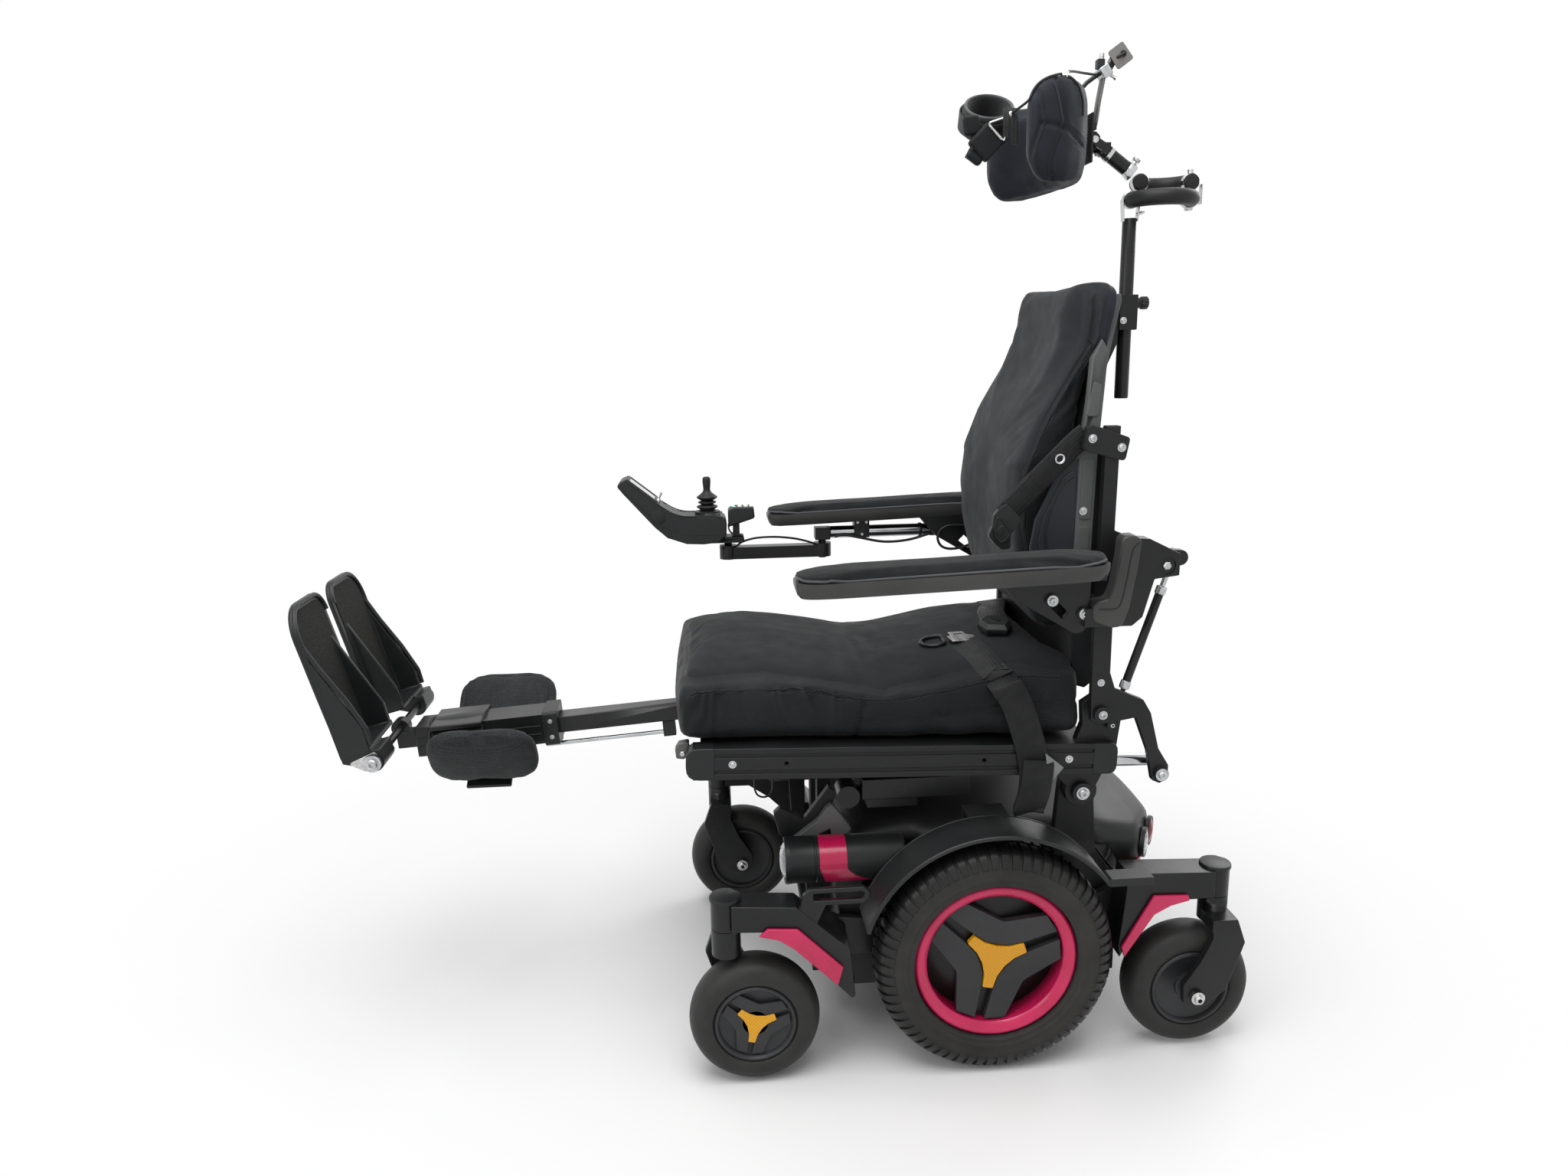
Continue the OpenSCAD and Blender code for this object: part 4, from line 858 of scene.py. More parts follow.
# The casters
# Single-sided cast forks with a stainless axle bolt, and smooth balloon tyres on two-part plastic hubs. The
# front hubs carry V-shaped caps and an amber star, and the rear ones are plain dishes.
CASTER_Z = 0.095
FORK_FACE = 0.053
CASTER_TYRE = [(0.0595, 0.0245), (0.0618, 0.0278), (0.0645, 0.0293), (0.07, 0.0308), (0.0762, 0.0305),
               (0.082, 0.0284), (0.0872, 0.024), (0.0912, 0.018), (0.0938, 0.01), (0.0948, 0.004), (0.095, 0.0)]
caster_rubber = rubber("caster_tyre_rubber", (0.02, 0.0195, 0.0185), (0.034, 0.0335, 0.0325), (0.42, 0.6))
CASTER_DISH = [(0.0592, 0.0262), (0.0575, 0.0282), (0.0548, 0.0286), (0.053, 0.0268), (0.052, 0.0205), (0.048, 0.019),
               (0.026, 0.0165), (0.0215, 0.0172), (0.0205, 0.0225), (0.0185, 0.0236), (0.0082, 0.0236)]
WASHER = 0.0016
stainless = hazed("stainless_steel", {"Metallic": 1.0}, 260, (0.46, 0.46, 0.45), (0.66, 0.66, 0.65), (0.22, 0.38),
                  stretch=(1, 0.05, 1), Detail=3)
# Near-black: painted shade on the floors of the screw recesses and over the belt tongue's slot, and the colour of the
# switch plate's screws.
recess_shade_and_dark_screws = coated("painted_recess_shade_and_dark_screws", (0.006, 0.006, 0.006), (0.012, 0.012, 0.012), (0.5, 0.7), 800, 0.0002)


def socket_screw(centre, axis, radius, height):
    """A round-headed screw with a six-sided recess in it, and its washer: the steel shape, then the recess floor's
    shape, which takes painted shade.
    """
    axis = Vector(axis).normalized()
    u = axis.orthogonal().normalized()
    v = axis.cross(u)
    base = Vector(centre) + axis * WASHER
    head = turned([(0.42 * radius, height * 0.45), (0.5 * radius, height), (0.86 * radius, height),
                   (radius, height * 0.82), (radius, -0.0006), (0.42 * radius, -0.0006)], base, axis, 30)
    hexagon = [(u * math.cos(a) + v * math.sin(a)) * 0.5 * radius for a in np.radians(range(0, 360, 60))]
    bottom = loft([[base + axis * h + p for p in hexagon] for h in (height * 0.3, height * 0.5)])
    washer = turned([(0, 0), (1.55 * radius, 0), (1.55 * radius, WASHER * 0.8), (1.45 * radius, WASHER), (0, WASHER)],
                    centre, axis, 30)
    return joined(head, washer), bottom


for end, word, x, y in CORNERS:
    corner = end + "_" + word
    side = -1 if word == "left" else 1
    centre = at(-0.348 if end == "front" else 0.304, y, CASTER_Z)
    wheel = [(turned(doubled(CASTER_TYRE), centre, (0, side, 0), 96), caster_rubber),
             (turned(doubled(CASTER_DISH), centre, (0, side, 0), 72), cap_grey)]
    piece("caster_tyre_and_hub_" + corner, wheel, "caster_wheel_" + corner, ["caster_wheel_" + corner],
          sharp=40)
    if end == "front":
        small = [(wheel_plate(cap_outline(angle, 0.0515), centre, side, 0.0192, 0.0236), cap_grey)
                 for angle in STAR_ANGLES]
        piece("caster_caps_" + corner, small, "caster_wheel_" + corner, ease=0.0009)
        star = [(wheel_plate(star_outline(0.0645), centre, side, 0.0238, 0.0256), amber)]
        piece("caster_star_" + corner, star, "caster_wheel_" + corner, ease=0.0005)
    eased("caster_fork_" + corner, satin_black, 0.0016)
    out = Vector((0, -side if end == "front" else side, 0))
    # The recess floor carries painted shade.
    head, recess = socket_screw(centre + out * FORK_FACE, out, 0.0066, 0.0058)
    piece("caster_axle_bolt_" + corner, [(head, stainless), (recess, recess_shade_and_dark_screws)],
          body_of(frame["nodes"]["caster_fork_" + corner])[0])

# The seat frame
# Two slotted alloy rails joined by a pan and cross tubes, with tilt lugs, recline towers and knee lugs, black
# anodised. Plastic caps close the rails, and zinc screws with washers clamp the pan to them.
RAIL_MID = Vector((-0.124, 0, 0.465))
RAIL_SIDE = 0.235


def tipped(degrees, axis="Y"):
    """A turn about one of the chair's directions."""
    return Matrix.Rotation(math.radians(degrees), 3, axis)


RAIL_TURN = tipped(1.8)


def on_rail(x, y, z):
    """A point given along the level seat, put on the slope that the rails have."""
    return at(*(RAIL_TURN @ (Vector((x, y, z)) - RAIL_MID) + RAIL_MID))


zinc = hazed("zinc_plated_steel", {"Metallic": 1.0}, 120, (0.4, 0.41, 0.42), (0.6, 0.61, 0.62), (0.26, 0.42),
             Detail=4)
strip_grey = coated("grey_alloy_strip", (0.1, 0.099, 0.096), (0.145, 0.143, 0.139), (0.3, 0.45), 1400, 0.0001)
strip_grey.node_tree.nodes["Principled BSDF"].inputs["Metallic"].default_value = 0.6
chrome = hazed("chrome_plate", {"Metallic": 1.0}, 30, (0.44, 0.45, 0.46), (0.56, 0.57, 0.58), (0.08, 0.18), Detail=3)

fixing_tree, fixing_in = shape_recipe("fixings_on_points", [])
fixing_place, fixing_way, fixing_size = (
    new_node(fixing_tree, "GeometryNodeInputNamedAttribute", {"data_type": kind, "Name": label}).outputs["Attribute"]
    for kind, label in (("FLOAT", "place"), ("FLOAT_VECTOR", "out"), ("FLOAT", "size")))
fixing_split = new_node(fixing_tree, "GeometryNodeSeparateGeometry", {},
                        {"Geometry": fixing_in["Geometry"], "Selection": fixing_place})
fixing_turn = new_node(fixing_tree, "FunctionNodeAlignRotationToVector", {"axis": "Z"}, {"Vector": fixing_way})
copied(fixing_tree, fixing_in, {"Points": fixing_split.outputs["Selection"],
                                "Instance": fixing_split.outputs["Inverted"], "Rotation": fixing_turn.outputs[0],
                                "Scale": fixing_size})


def screw_form(sides, washer, recess):
    """A screw head of radius 1 along z: round or six-sided, on a washer, with a recess where it has one."""
    corners = [Vector((math.cos(a), math.sin(a), 0)) for a in angles(sides)]
    levels = [(washer, 0.0), (washer, 0.16), (1.0, 0.16), (1.0, 0.62), (0.86, 0.8)] if washer else [
        (1.0, 0.0), (1.0, 0.5), (0.8, 0.72)]
    if recess:
        levels += [(0.48, levels[-1][1]), (0.46, 0.34)]
    return loft([[c * r + Vector((0, 0, h)) for c in corners] for r, h in levels])


def fixings(name, form, spots, material, body):
    """Screws or bolts on points: (place, direction out, head radius)."""
    points = list(form[0]) + [Vector(spot) for spot, out, size in spots]
    blank = len(form[0])
    facts = {"place": ("FLOAT", "value", [0.0] * blank + [1.0] * len(spots)),
             "out": ("FLOAT_VECTOR", "vector", [(0, 0, 1)] * blank + [tuple(out) for spot, out, size in spots]),
             "size": ("FLOAT", "value", [1.0] * blank + [size for spot, out, size in spots])}
    mesh = repeated(fixing_tree, name, (points, form[1]), {"Finish": material}, facts)
    faced_out(mesh)
    return settled(name, mesh, body, 30)


def bolt_pairs(rows, place=at):
    """Fixings on both outer sides, for rows of place and head radius."""
    return [(place(x, side * y, z), (0, side, 0), size) for side in (-1, 1) for x, y, z, size in rows]


pan_screw = screw_form(20, 1.65, True)
hex_bolt = screw_form(6, 0, False)
hex_washer_bolt = screw_form(18, 1.5, True)
eased("seat_frame", black_coat, 0.0012)
rail_caps = []
for side in (-1, 1):
    for x0, x1, rounds in ((-0.4345, -0.394, (0.019, 0.004, 0.004, 0.019)),
                           (0.15, 0.1855, (0.004, 0.014, 0.014, 0.004))):
        outline = rounded([(x0, 0.4888), (x1, 0.4888), (x1, 0.4412), (x0, 0.4412)], list(rounds))
        rail_caps.append((slab(outline, side * 0.2042, side * 0.2362, on_rail), moulded_black))
piece("rail_end_caps", rail_caps, "seat", ease=0.0022)
rail_spots = bolt_pairs([(x, RAIL_SIDE, 0.465, 0.0034) for x in (-0.369, 0.114)], on_rail)
fixings("rail_screws", pan_screw, rail_spots, zinc, "seat")
tower_spots = bolt_pairs([(0.152, 0.258, 0.53, 0.0042), (0.175, 0.235, 0.506, 0.0034)])
fixings("seat_tower_bolts", hex_washer_bolt, tower_spots, zinc, "seat")
fixings("tilt_pivot_bolts", hex_washer_bolt, bolt_pairs([(0.138, 0.231, 0.402, 0.0065)]), zinc, "chassis")
knee_bracket = rounded([(-0.4494, 0.4854), (-0.4439, 0.4943), (-0.429, 0.4964), (-0.429, 0.475), (-0.4379, 0.471),
                        (-0.4482, 0.4724)], 0.003)
piece("knee_brackets", both(knee_bracket, 0.186, 0.203, strip_grey), "seat", ease=0.0012)
fixings("knee_bracket_bolts", hex_bolt, bolt_pairs([(-0.439, 0.203, 0.48, 0.0042)]), zinc, "seat")
eased("seat_actuators", satin_black, 0.0018)
eased("recline_rods", chrome, 0.0006)

# The seat cushion
# Contoured foam in a zipped cover: grey stretch cloth on top, black nylon sides and a bottom panel. The top
# is sewn to the sides along the shoulder, and the front part of the side is gathered into the seam.
SEAT_TOP = [(-0.446, 0.588), (-0.38, 0.594), (-0.32, 0.596), (-0.24, 0.583), (-0.15, 0.566), (-0.07, 0.578),
            (0, 0.593), (0.06, 0.599), (0.116, 0.6)]
SEAT_SEAM_DROP = 0.006
SEAT_SKIRT = 0.009
SEAT_SIDE_SEAM_X = -0.18
SEAT_REAR_CORNER = 0.022
PRESSURE = 4.0
CLOTH_FRAMES = 20


def woven(name, low, high, thread, depth, sheen, rough, cloud=7):
    """Plain woven or knitted cloth: two crossed sets of threads, cloudy wear and a soft sheen at the edges."""
    material = finish(name, {"Sheen Weight": sheen, "Sheen Roughness": 0.45, "Specular IOR Level": 0.14})
    tint(material, grain(material, "Noise", cloud, Detail=5), low, high)
    gloss(material, grain(material, "Noise", 30), *rough)
    wave = 2 * math.pi / 20 / thread
    for turn in ((0.6, 0.2, 0.785), (-0.5, 0.3, -0.785)):
        relief(material, grain(material, "Wave", wave, turn=turn, Distortion=0.6, wave_type="BANDS"), depth, 0.5)
    return material


stretch_cloth = woven("grey_stretch_cloth", (0.0095, 0.0103, 0.0112), (0.014, 0.015, 0.016), 0.0011, 0.00018, 0.05,
                      (0.62, 0.78))
black_nylon = woven("black_nylon_cloth", (0.0095, 0.0105, 0.0115), (0.0165, 0.0175, 0.019), 0.0009, 0.00022, 0.05,
                    (0.46, 0.62))


def bare_points(mesh, normals=False):
    """A mesh's points, or its point normals, as rows measured from the drive axle."""
    rows = np.empty(len(mesh.vertices) * 3)
    if normals:
        mesh.vertex_normals.foreach_get("vector", rows)
        return rows.reshape(-1, 3)
    mesh.vertices.foreach_get("co", rows)
    return rows.reshape(-1, 3) - (AXLE_X, 0, 0)


def moved(mesh, points):
    """Puts points measured from the drive axle back into a mesh."""
    mesh.vertices.foreach_set("co", (points + (AXLE_X, 0, 0)).ravel())
    mesh.update()


def plain(holder):
    """A piece's mesh with its modifiers worked in and taken off."""
    mesh = worked(holder)
    holder.modifiers.clear()
    holder.data = mesh
    return mesh


def swollen(holder, held, cap):
    """Blows the cover out like a stuffed pad, held where it is sewn or rests, no point moving past the cap."""
    start = bare_points(holder.data)
    group = holder.vertex_groups.new(name="held")
    for weight in np.unique(np.round(held, 2)):
        group.add([int(i) for i in np.nonzero(np.round(held, 2) == weight)[0]], float(weight), "REPLACE")
    cloth = holder.modifiers.new("stuffing", "CLOTH")
    cloth.settings.quality = 5
    cloth.settings.mass = 0.3
    cloth.settings.use_pressure = True
    cloth.settings.uniform_pressure_force = PRESSURE
    cloth.settings.effector_weights.gravity = 0
    cloth.settings.vertex_group_mass = "held"
    cloth.point_cache.frame_start, cloth.point_cache.frame_end = 1, CLOTH_FRAMES
    for step in range(1, CLOTH_FRAMES + 1):
        scene.frame_set(step)
    blown = worked(holder)
    shift = bare_points(blown) - start
    far = np.linalg.norm(shift, axis=1, keepdims=True)
    holder.modifiers.clear()
    holder.vertex_groups.clear()
    scene.frame_set(1)
    bpy.data.meshes.remove(blown)
    moved(holder.data, start + shift * np.minimum(1, cap / np.maximum(far, 1e-9)))


def stuffed(name, node, finishes, held_of, shaped, voxel, shrink, cap, smooth=5, finish_of=None):
    """A padded piece from a soft CAD solid: evened, drawn in, stuffed, then rounded, sewn and dressed."""
    form = bmesh.new()
    form.from_mesh(frame["nodes"][node].data)
    bmesh.ops.remove_doubles(form, verts=form.verts, dist=1e-5)
    mesh = bpy.data.meshes.new(name)
    form.to_mesh(mesh)
    form.free()
    holder = added(name, mesh)
    cells = holder.modifiers.new("even_cells", "REMESH")
    cells.mode, cells.voxel_size = "VOXEL", voxel
    soften = holder.modifiers.new("softened", "SMOOTH")
    soften.factor, soften.iterations = 0.5, smooth
    mesh = plain(holder)
    moved(mesh, bare_points(mesh) - bare_points(mesh, True) * shrink)
    swollen(holder, held_of(bare_points(mesh)), cap)
    finer = holder.modifiers.new("rounded", "SUBSURF")
    finer.levels = finer.render_levels = 1
    mesh = plain(holder)
    moved(mesh, shaped(bare_points(mesh), bare_points(mesh, True)))
    mesh.materials.clear()
    for material in finishes:
        mesh.materials.append(material)
    if finish_of:
        middles = np.empty(len(mesh.polygons) * 3)
        mesh.polygons.foreach_get("center", middles)
        mesh.polygons.foreach_set("material_index", finish_of(middles.reshape(-1, 3) - (AXLE_X, 0, 0)).astype(int))
    else:
        mesh.polygons.foreach_set("material_index", [0] * len(mesh.polygons))
    mesh.shade_smooth()
    placed(holder, body_of(frame["nodes"][node])[0], [node])
    return holder


def ridge(distance, width):
    """1 on a line, falling away softly to 0 on both sides of it."""
    return np.exp(-(distance / width) ** 2)


def ramp(values, low, high):
    """0 below one value, 1 above the other, smooth between."""
    share = np.clip((values - low) / (high - low), 0, 1)
    return share * share * (3 - 2 * share)


def seat_seam(points):
    """Height of the shoulder seam round the cushion."""
    return table_of(SEAT_TOP, points[:, 0]) - SEAT_SEAM_DROP - 0.01 * ramp(points[:, 0], 0.02, 0.11)


def seat_sewn(points, normals):
    """Draws the cover in along its seams and lays the gathers and creases in the sides."""
    x, y, z = points.T
    seam = seat_seam(points)
    outside = ramp(np.abs(y), 0.15, 0.205) + ramp(-x, 0.39, 0.43) + ramp(x, 0.07, 0.105)
    outside = np.clip(outside, 0, 1)
    dip = 0.0034 * ridge(z - seam, 0.0042) * outside
    side = ramp(np.abs(y), 0.185, 0.212)
    below = ramp(seam - z, 0.002, 0.012)
    gather = side * below * ramp(-x, 0.19, 0.23) * (1 - 0.75 * ramp(seam - z, 0.02, 0.07))
    slant = 0.55 * np.sin(x * 23 + 2) * (z - seam)
    folds = np.sin(2 * math.pi * ((x + slant) / 0.026 + 0.55 * np.sin(x * 61) + 0.3 * np.sin(x * 137 + z * 30)))
    dip += 0.0026 * gather * (0.55 + 0.45 * np.sin(x * 47 + 1)) * (1 + folds)
    dip += 0.003 * ridge(x - SEAT_SIDE_SEAM_X - 0.25 * (z - 0.55), 0.0036) * side * below
    back_seam = 0.531 + 0.05 * (x - SEAT_SIDE_SEAM_X)
    dip += 0.0026 * ridge(z - back_seam, 0.0036) * side * ramp(x, SEAT_SIDE_SEAM_X, SEAT_SIDE_SEAM_X + 0.01)
    sag = 0.0016 * side * below * ramp(x, -0.17, -0.12) * np.sin(2 * math.pi * (0.9 * x + 0.6 * z) / 0.07)
    dip += sag * (1 - ridge(z - back_seam, 0.012))
    top = ramp(normals[:, 2], 0.6, 0.9)
    dip += top * 0.0012 * (np.sin(31 * x + 17 * y) * np.sin(23 * y - 9 * x))
    lower = points - normals * dip[:, None]
    lower[:, 2] -= SEAT_SKIRT * ramp(seam - z, 0.0, 0.05)
    lower[:, 0] += SEAT_REAR_CORNER * ramp(x, 0.02, 0.1) * ramp(np.abs(y), 0.1, 0.17)
    return lower


def seat_finish(middles):
    """Stretch cloth above the shoulder seam, nylon below it."""
    return np.where(middles[:, 2] > seat_seam(middles) - 0.0005, 0, 1)


def seat_held(points):
    """The cover is held at its foot, and most of the way along the shoulder seam."""
    x, y, z = points.T
    foot = ramp(0.512 - 0.0315 * x - 0.014 - z, -0.004, 0.004)
    return np.clip(foot + 0.8 * ridge(z - seat_seam(points), 0.008) * ramp(np.abs(y), 0.19, 0.21), 0, 1)


seat_pad = stuffed("seat_cushion_cover", "seat_cushion", [stretch_cloth, black_nylon], seat_held, seat_sewn,
                   voxel=0.0065, shrink=0.0045, cap=0.009, finish_of=seat_finish)

# The stitches
# Rows of bonded thread along both sides of the cushion's shoulder seam, and thin nylon welts in its side seams.
thread_grey = woven("grey_thread", (0.045, 0.047, 0.05), (0.07, 0.072, 0.075), 0.0004, 0.0001, 0.1, (0.6, 0.8))
STITCH_PITCH, STITCH_LENGTH, STITCH_THICK = 0.0042, 0.003, 0.0009
stitch_tree, stitch_in = shape_recipe("stitch_rows", [("Pitch", "Float"), ("Length", "Float"), ("Thick", "Float")])
stitch_curve = new_node(stitch_tree, "GeometryNodeMeshToCurve", {}, {0: stitch_in["Geometry"]})
stitch_even = new_node(stitch_tree, "GeometryNodeResampleCurve", {"mode": "LENGTH"},
                       {"Curve": stitch_curve.outputs[0], "Length": stitch_in["Pitch"]})
stitch_way = new_node(stitch_tree, "GeometryNodeInputTangent")
stitch_turn = new_node(stitch_tree, "FunctionNodeAlignRotationToVector", {"axis": "X"},
                       {"Vector": stitch_way.outputs[0]})
stitch_bead = new_node(stitch_tree, "GeometryNodeMeshUVSphere", {"Segments": 6, "Rings": 4, "Radius": 0.5})
stitch_size = new_node(stitch_tree, "ShaderNodeCombineXYZ", {},
                       {"X": stitch_in["Length"], "Y": stitch_in["Thick"], "Z": stitch_in["Thick"]})
copied(stitch_tree, stitch_in, {"Points": stitch_even.outputs[0], "Instance": stitch_bead.outputs[0],
                                "Rotation": stitch_turn.outputs[0], "Scale": stitch_size.outputs[0]})


def skin_of(holder):
    """A piece's surface, for finding where something lies on it."""
    mesh = holder.data
    return BVHTree.FromPolygons([v.co for v in mesh.vertices], [tuple(p.vertices) for p in mesh.polygons])


def stitched(name, rows, material, body):
    """Stitches along rows of points."""
    points, edges = [], []
    for row in rows:
        edges += [(len(points) + i, len(points) + i + 1) for i in range(len(row) - 1)]
        points += list(row)
    sizes = {"Pitch": STITCH_PITCH, "Length": STITCH_LENGTH, "Thick": STITCH_THICK, "Finish": material}
    return settled(name, repeated(stitch_tree, name, (points, edges, []), sizes), body, 180)


def laid_on(skin, row, lift):
    """A row of points put on a surface, lifted a little off it."""
    laid = []
    for spot in row:
        place, normal = skin.find_nearest(spot)[:2]
        laid.append(place + normal * lift)
    return laid


seat_skin = skin_of(seat_pad)
seam_rows = []
for side in (-1, 1):
    for drop in (-0.0055, 0.0055):
        row = np.array([(x, side * 0.232, 0) for x in np.linspace(-0.425, 0.1, 150)])
        heights = seat_seam(row) + drop
        seam_rows.append(laid_on(seat_skin, [at(x, y, z) for (x, y, w), z in zip(row, heights)], 0.0002))
seat_welts = []
for side in (-1, 1):
    row = np.array([(x, side * 0.232, 0) for x in np.linspace(-0.432, 0.105, 150)])
    seat_welts.append([at(x, y, z) for (x, y, w), z in zip(row, seat_seam(row))])
    seat_welts.append([at(SEAT_SIDE_SEAM_X + 0.25 * (z - 0.55), side * 0.235, z)
                       for z in np.linspace(0.495, 0.556, 24)])
    seat_welts.append([at(x, side * 0.235, 0.531 - 0.006 + 0.05 * (x - SEAT_SIDE_SEAM_X))
                       for x in np.linspace(-0.185, 0.108, 80)])
piece("seat_seam_welts", [(rod(laid_on(seat_skin, row, 0.0002), 0.001, 8), black_nylon) for row in seat_welts],
      "seat")
stitched("seat_seam_stitches", seam_rows, thread_grey, "seat")

# The lap belt
# Black polyester webbing in two halves, one with a bright tongue and a ring, one with a moulded buckle. Each
# lies over the cushion, drops down its side and is bolted to the rail; the left one has a folded free loop.
BELT_WIDE, BELT_THICK, BELT_LIFT = 0.044, 0.0022, 0.002
RAIL_CLEAR = 0.2375
ABOVE_SEAT, BESIDE_SEAT = 0.8, 0.4
SHOULDER_Y, SHOULDER_Z = 0.196, 0.566
SHOULDER_ANGLES = (78, 64, 50, 38, 26, 14)
webbing = finish("black_webbing", {"Sheen Weight": 0.05, "Specular IOR Level": 0.22})
tint(webbing, grain(webbing, "Noise", 60, Detail=4), (0.0065, 0.007, 0.0076), (0.012, 0.0125, 0.0132))
gloss(webbing, grain(webbing, "Noise", 45), 0.42, 0.6)
relief(webbing, grain(webbing, "Wave", 2 * math.pi / 20 / 0.0018, lay=True, turn=(0, 0, 0.5), wave_type="BANDS",
                      bands_direction="Y"), 0.0004, 0.6)
relief(webbing, grain(webbing, "Wave", 2 * math.pi / 20 / 0.0052, lay=True, wave_type="BANDS", bands_direction="X"),
       0.0003, 0.5)


def on_seat(x, y, lift=BELT_LIFT):
    """A point lying on the seat cushion."""
    return seat_skin.ray_cast(at(x, y, ABOVE_SEAT), -UP)[0] + Vector((0, 0, lift))


def beside_seat(x, side, z, least=RAIL_CLEAR):
    """A point lying on the cushion's side, or clear of the rail below it."""
    place = seat_skin.ray_cast(at(x, side * BESIDE_SEAT, z), Vector((0, -side, 0)))[0]
    return at(x, side * max(abs(place.y) + BELT_LIFT if place else 0, least), z)


def round_seat(x, side, angle):
    """A point lying on the cushion's shoulder, at an angle above the level."""
    out = Vector((0, side * math.cos(math.radians(angle)), math.sin(math.radians(angle))))
    place = seat_skin.ray_cast(at(x, side * SHOULDER_Y, SHOULDER_Z) + out * 0.2, -out)[0] + out * BELT_LIFT
    return Vector((place.x, side * max(abs(place.y), RAIL_CLEAR) if angle < 20 else place.y, place.z))


left_half = [on_seat(x, y) for x, y in ((-0.01, -0.098), (-0.006, -0.12), (-0.003, -0.14), (0.001, -0.16),
                                        (0.005, -0.18), (0.009, -0.2))]
left_half += [round_seat(0.01 + 0.0016 * k, -1, a) for k, a in enumerate(SHOULDER_ANGLES)]
left_half += [beside_seat(x, -1, z, least) for x, z, least in
              ((0.026, 0.56, RAIL_CLEAR), (0.034, 0.545, RAIL_CLEAR), (0.042, 0.524, RAIL_CLEAR),
               (0.05, 0.5, RAIL_CLEAR), (0.056, 0.478, 0.239), (0.061, 0.452, 0.2395))]
left_half += [at(x, -y, z) for x, y, z in
              ((0.062, 0.24, 0.428), (0.059, 0.2415, 0.405), (0.054, 0.2445, 0.389), (0.052, 0.249, 0.3855),
               (0.053, 0.2515, 0.392), (0.06, 0.252, 0.415), (0.064, 0.25, 0.44), (0.066, 0.2465, 0.462))]
right_half = [on_seat(x, y) for x, y in ((0.052, -0.06), (0.058, -0.02), (0.066, 0.03), (0.078, 0.07), (0.09, 0.11),
                                         (0.097, 0.14), (0.102, 0.17), (0.105, 0.195))]
right_half += [round_seat(0.106 + 0.0006 * k, 1, a) for k, a in enumerate(SHOULDER_ANGLES)]
right_half += [beside_seat(x, 1, z) for x, z in ((0.11, 0.56), (0.112, 0.535), (0.112, 0.505), (0.112, 0.478))]
belt = [(strip(curved(left_half, 4), BELT_WIDE, BELT_THICK, wide=(1, 0, 0.3)), webbing),
        (strip(curved(right_half, 4), BELT_WIDE, BELT_THICK, wide=(1, 0, 0.1)), webbing)]
piece("lap_belt_webbing", belt, "seat", ["lap_belt"], sharp=60)


def block(centre, sizes, turn=None):
    """A six-sided block about a centre, turned where that is given; its edges are eased when it is made a piece."""
    turn = turn or Matrix.Identity(3)
    half = Vector(sizes) / 2
    return loft([[Vector(centre) + turn @ Vector((a * half.x, b * half.y, h * half.z)) for a, b in SQUARE]
                 for h in (-1, 1)])


buckle_spot = on_seat(0.046, -0.07, 0.0005)
buckle_turn = tipped(-12, "Z") @ tipped(4, "X")
BUCKLE = [(-0.027, 0), (-0.014, -0.029), (0.017, -0.03), (0.025, -0.006), (0.018, 0.03), (-0.014, 0.028)]
buckle_rings = [[buckle_spot + buckle_turn @ Vector((x * grow, y * grow, h)) for x, y in BUCKLE]
                for grow, h in ((0.86, 0), (1.0, 0.006), (1.0, 0.011), (0.8, 0.0175))]
press = [(0, 0.0172), (0.0086, 0.0172), (0.009, 0.018), (0.008, 0.0184), (0, 0.0184)]
buckle_parts = [(loft(buckle_rings), moulded_black), (turned(press, buckle_spot, buckle_turn @ UP, 36), satin_black)]
piece("lap_belt_buckle", buckle_parts, "seat", ease=0.0012)
tongue_spot = on_seat(-0.01, -0.078, 0.0035)
tongue_turn = tipped(6, "Z")
tongue_frame = [(0.021, -0.024), (0.021, 0.002), (0.012, 0.01), (0.012, 0.026), (-0.012, 0.026), (-0.012, 0.01),
                (-0.021, 0.002), (-0.021, -0.024)]
tongue_rows = [[tongue_spot + tongue_turn @ Vector((x, y, h)) for x, y in rounded(tongue_frame, 0.003)]
               for h in (-0.0011, 0.0011)]
ring_shape = [(min(0.021 * math.cos(a), 0.013), 0.021 * math.sin(a)) for a in np.linspace(0, 2 * math.pi, 37)]
ring_row = [on_seat(-0.05 + a, -0.076 + b, 0.0034) for a, b in ring_shape]
piece("lap_belt_tongue", [(loft(tongue_rows), stainless)], "seat", ease=0.0005)
piece("lap_belt_ring", [(rod(ring_row, 0.003, 10), satin_black)], "seat")
# A thin near-black sheet on the tongue: painted shade standing in for its slot.
slot_painted_shade = block(tongue_spot + tongue_turn @ Vector((0, 0.012, 0.001)), (0.013, 0.0045, 0.0006), tongue_turn)
piece("lap_belt_tongue_slot_shade", [(slot_painted_shade, recess_shade_and_dark_screws)], "seat")
# The light grey patch on the left belt's folded end is a painted highlight, where the fold of the black webbing
# catches the light.
folded_end_painted_highlight = coated("folded_webbing_painted_highlight", (0.15, 0.155, 0.155), (0.21, 0.215, 0.215), (0.34, 0.46), 1200, 0.0002)
folded_end = slab([(0.0745, 0.4735), (0.1018, 0.4508), (0.0811, 0.425)], -0.2478, -0.249)
piece("lap_belt_folded_end", [(folded_end, folded_end_painted_highlight)], "seat", ease=0.0004)

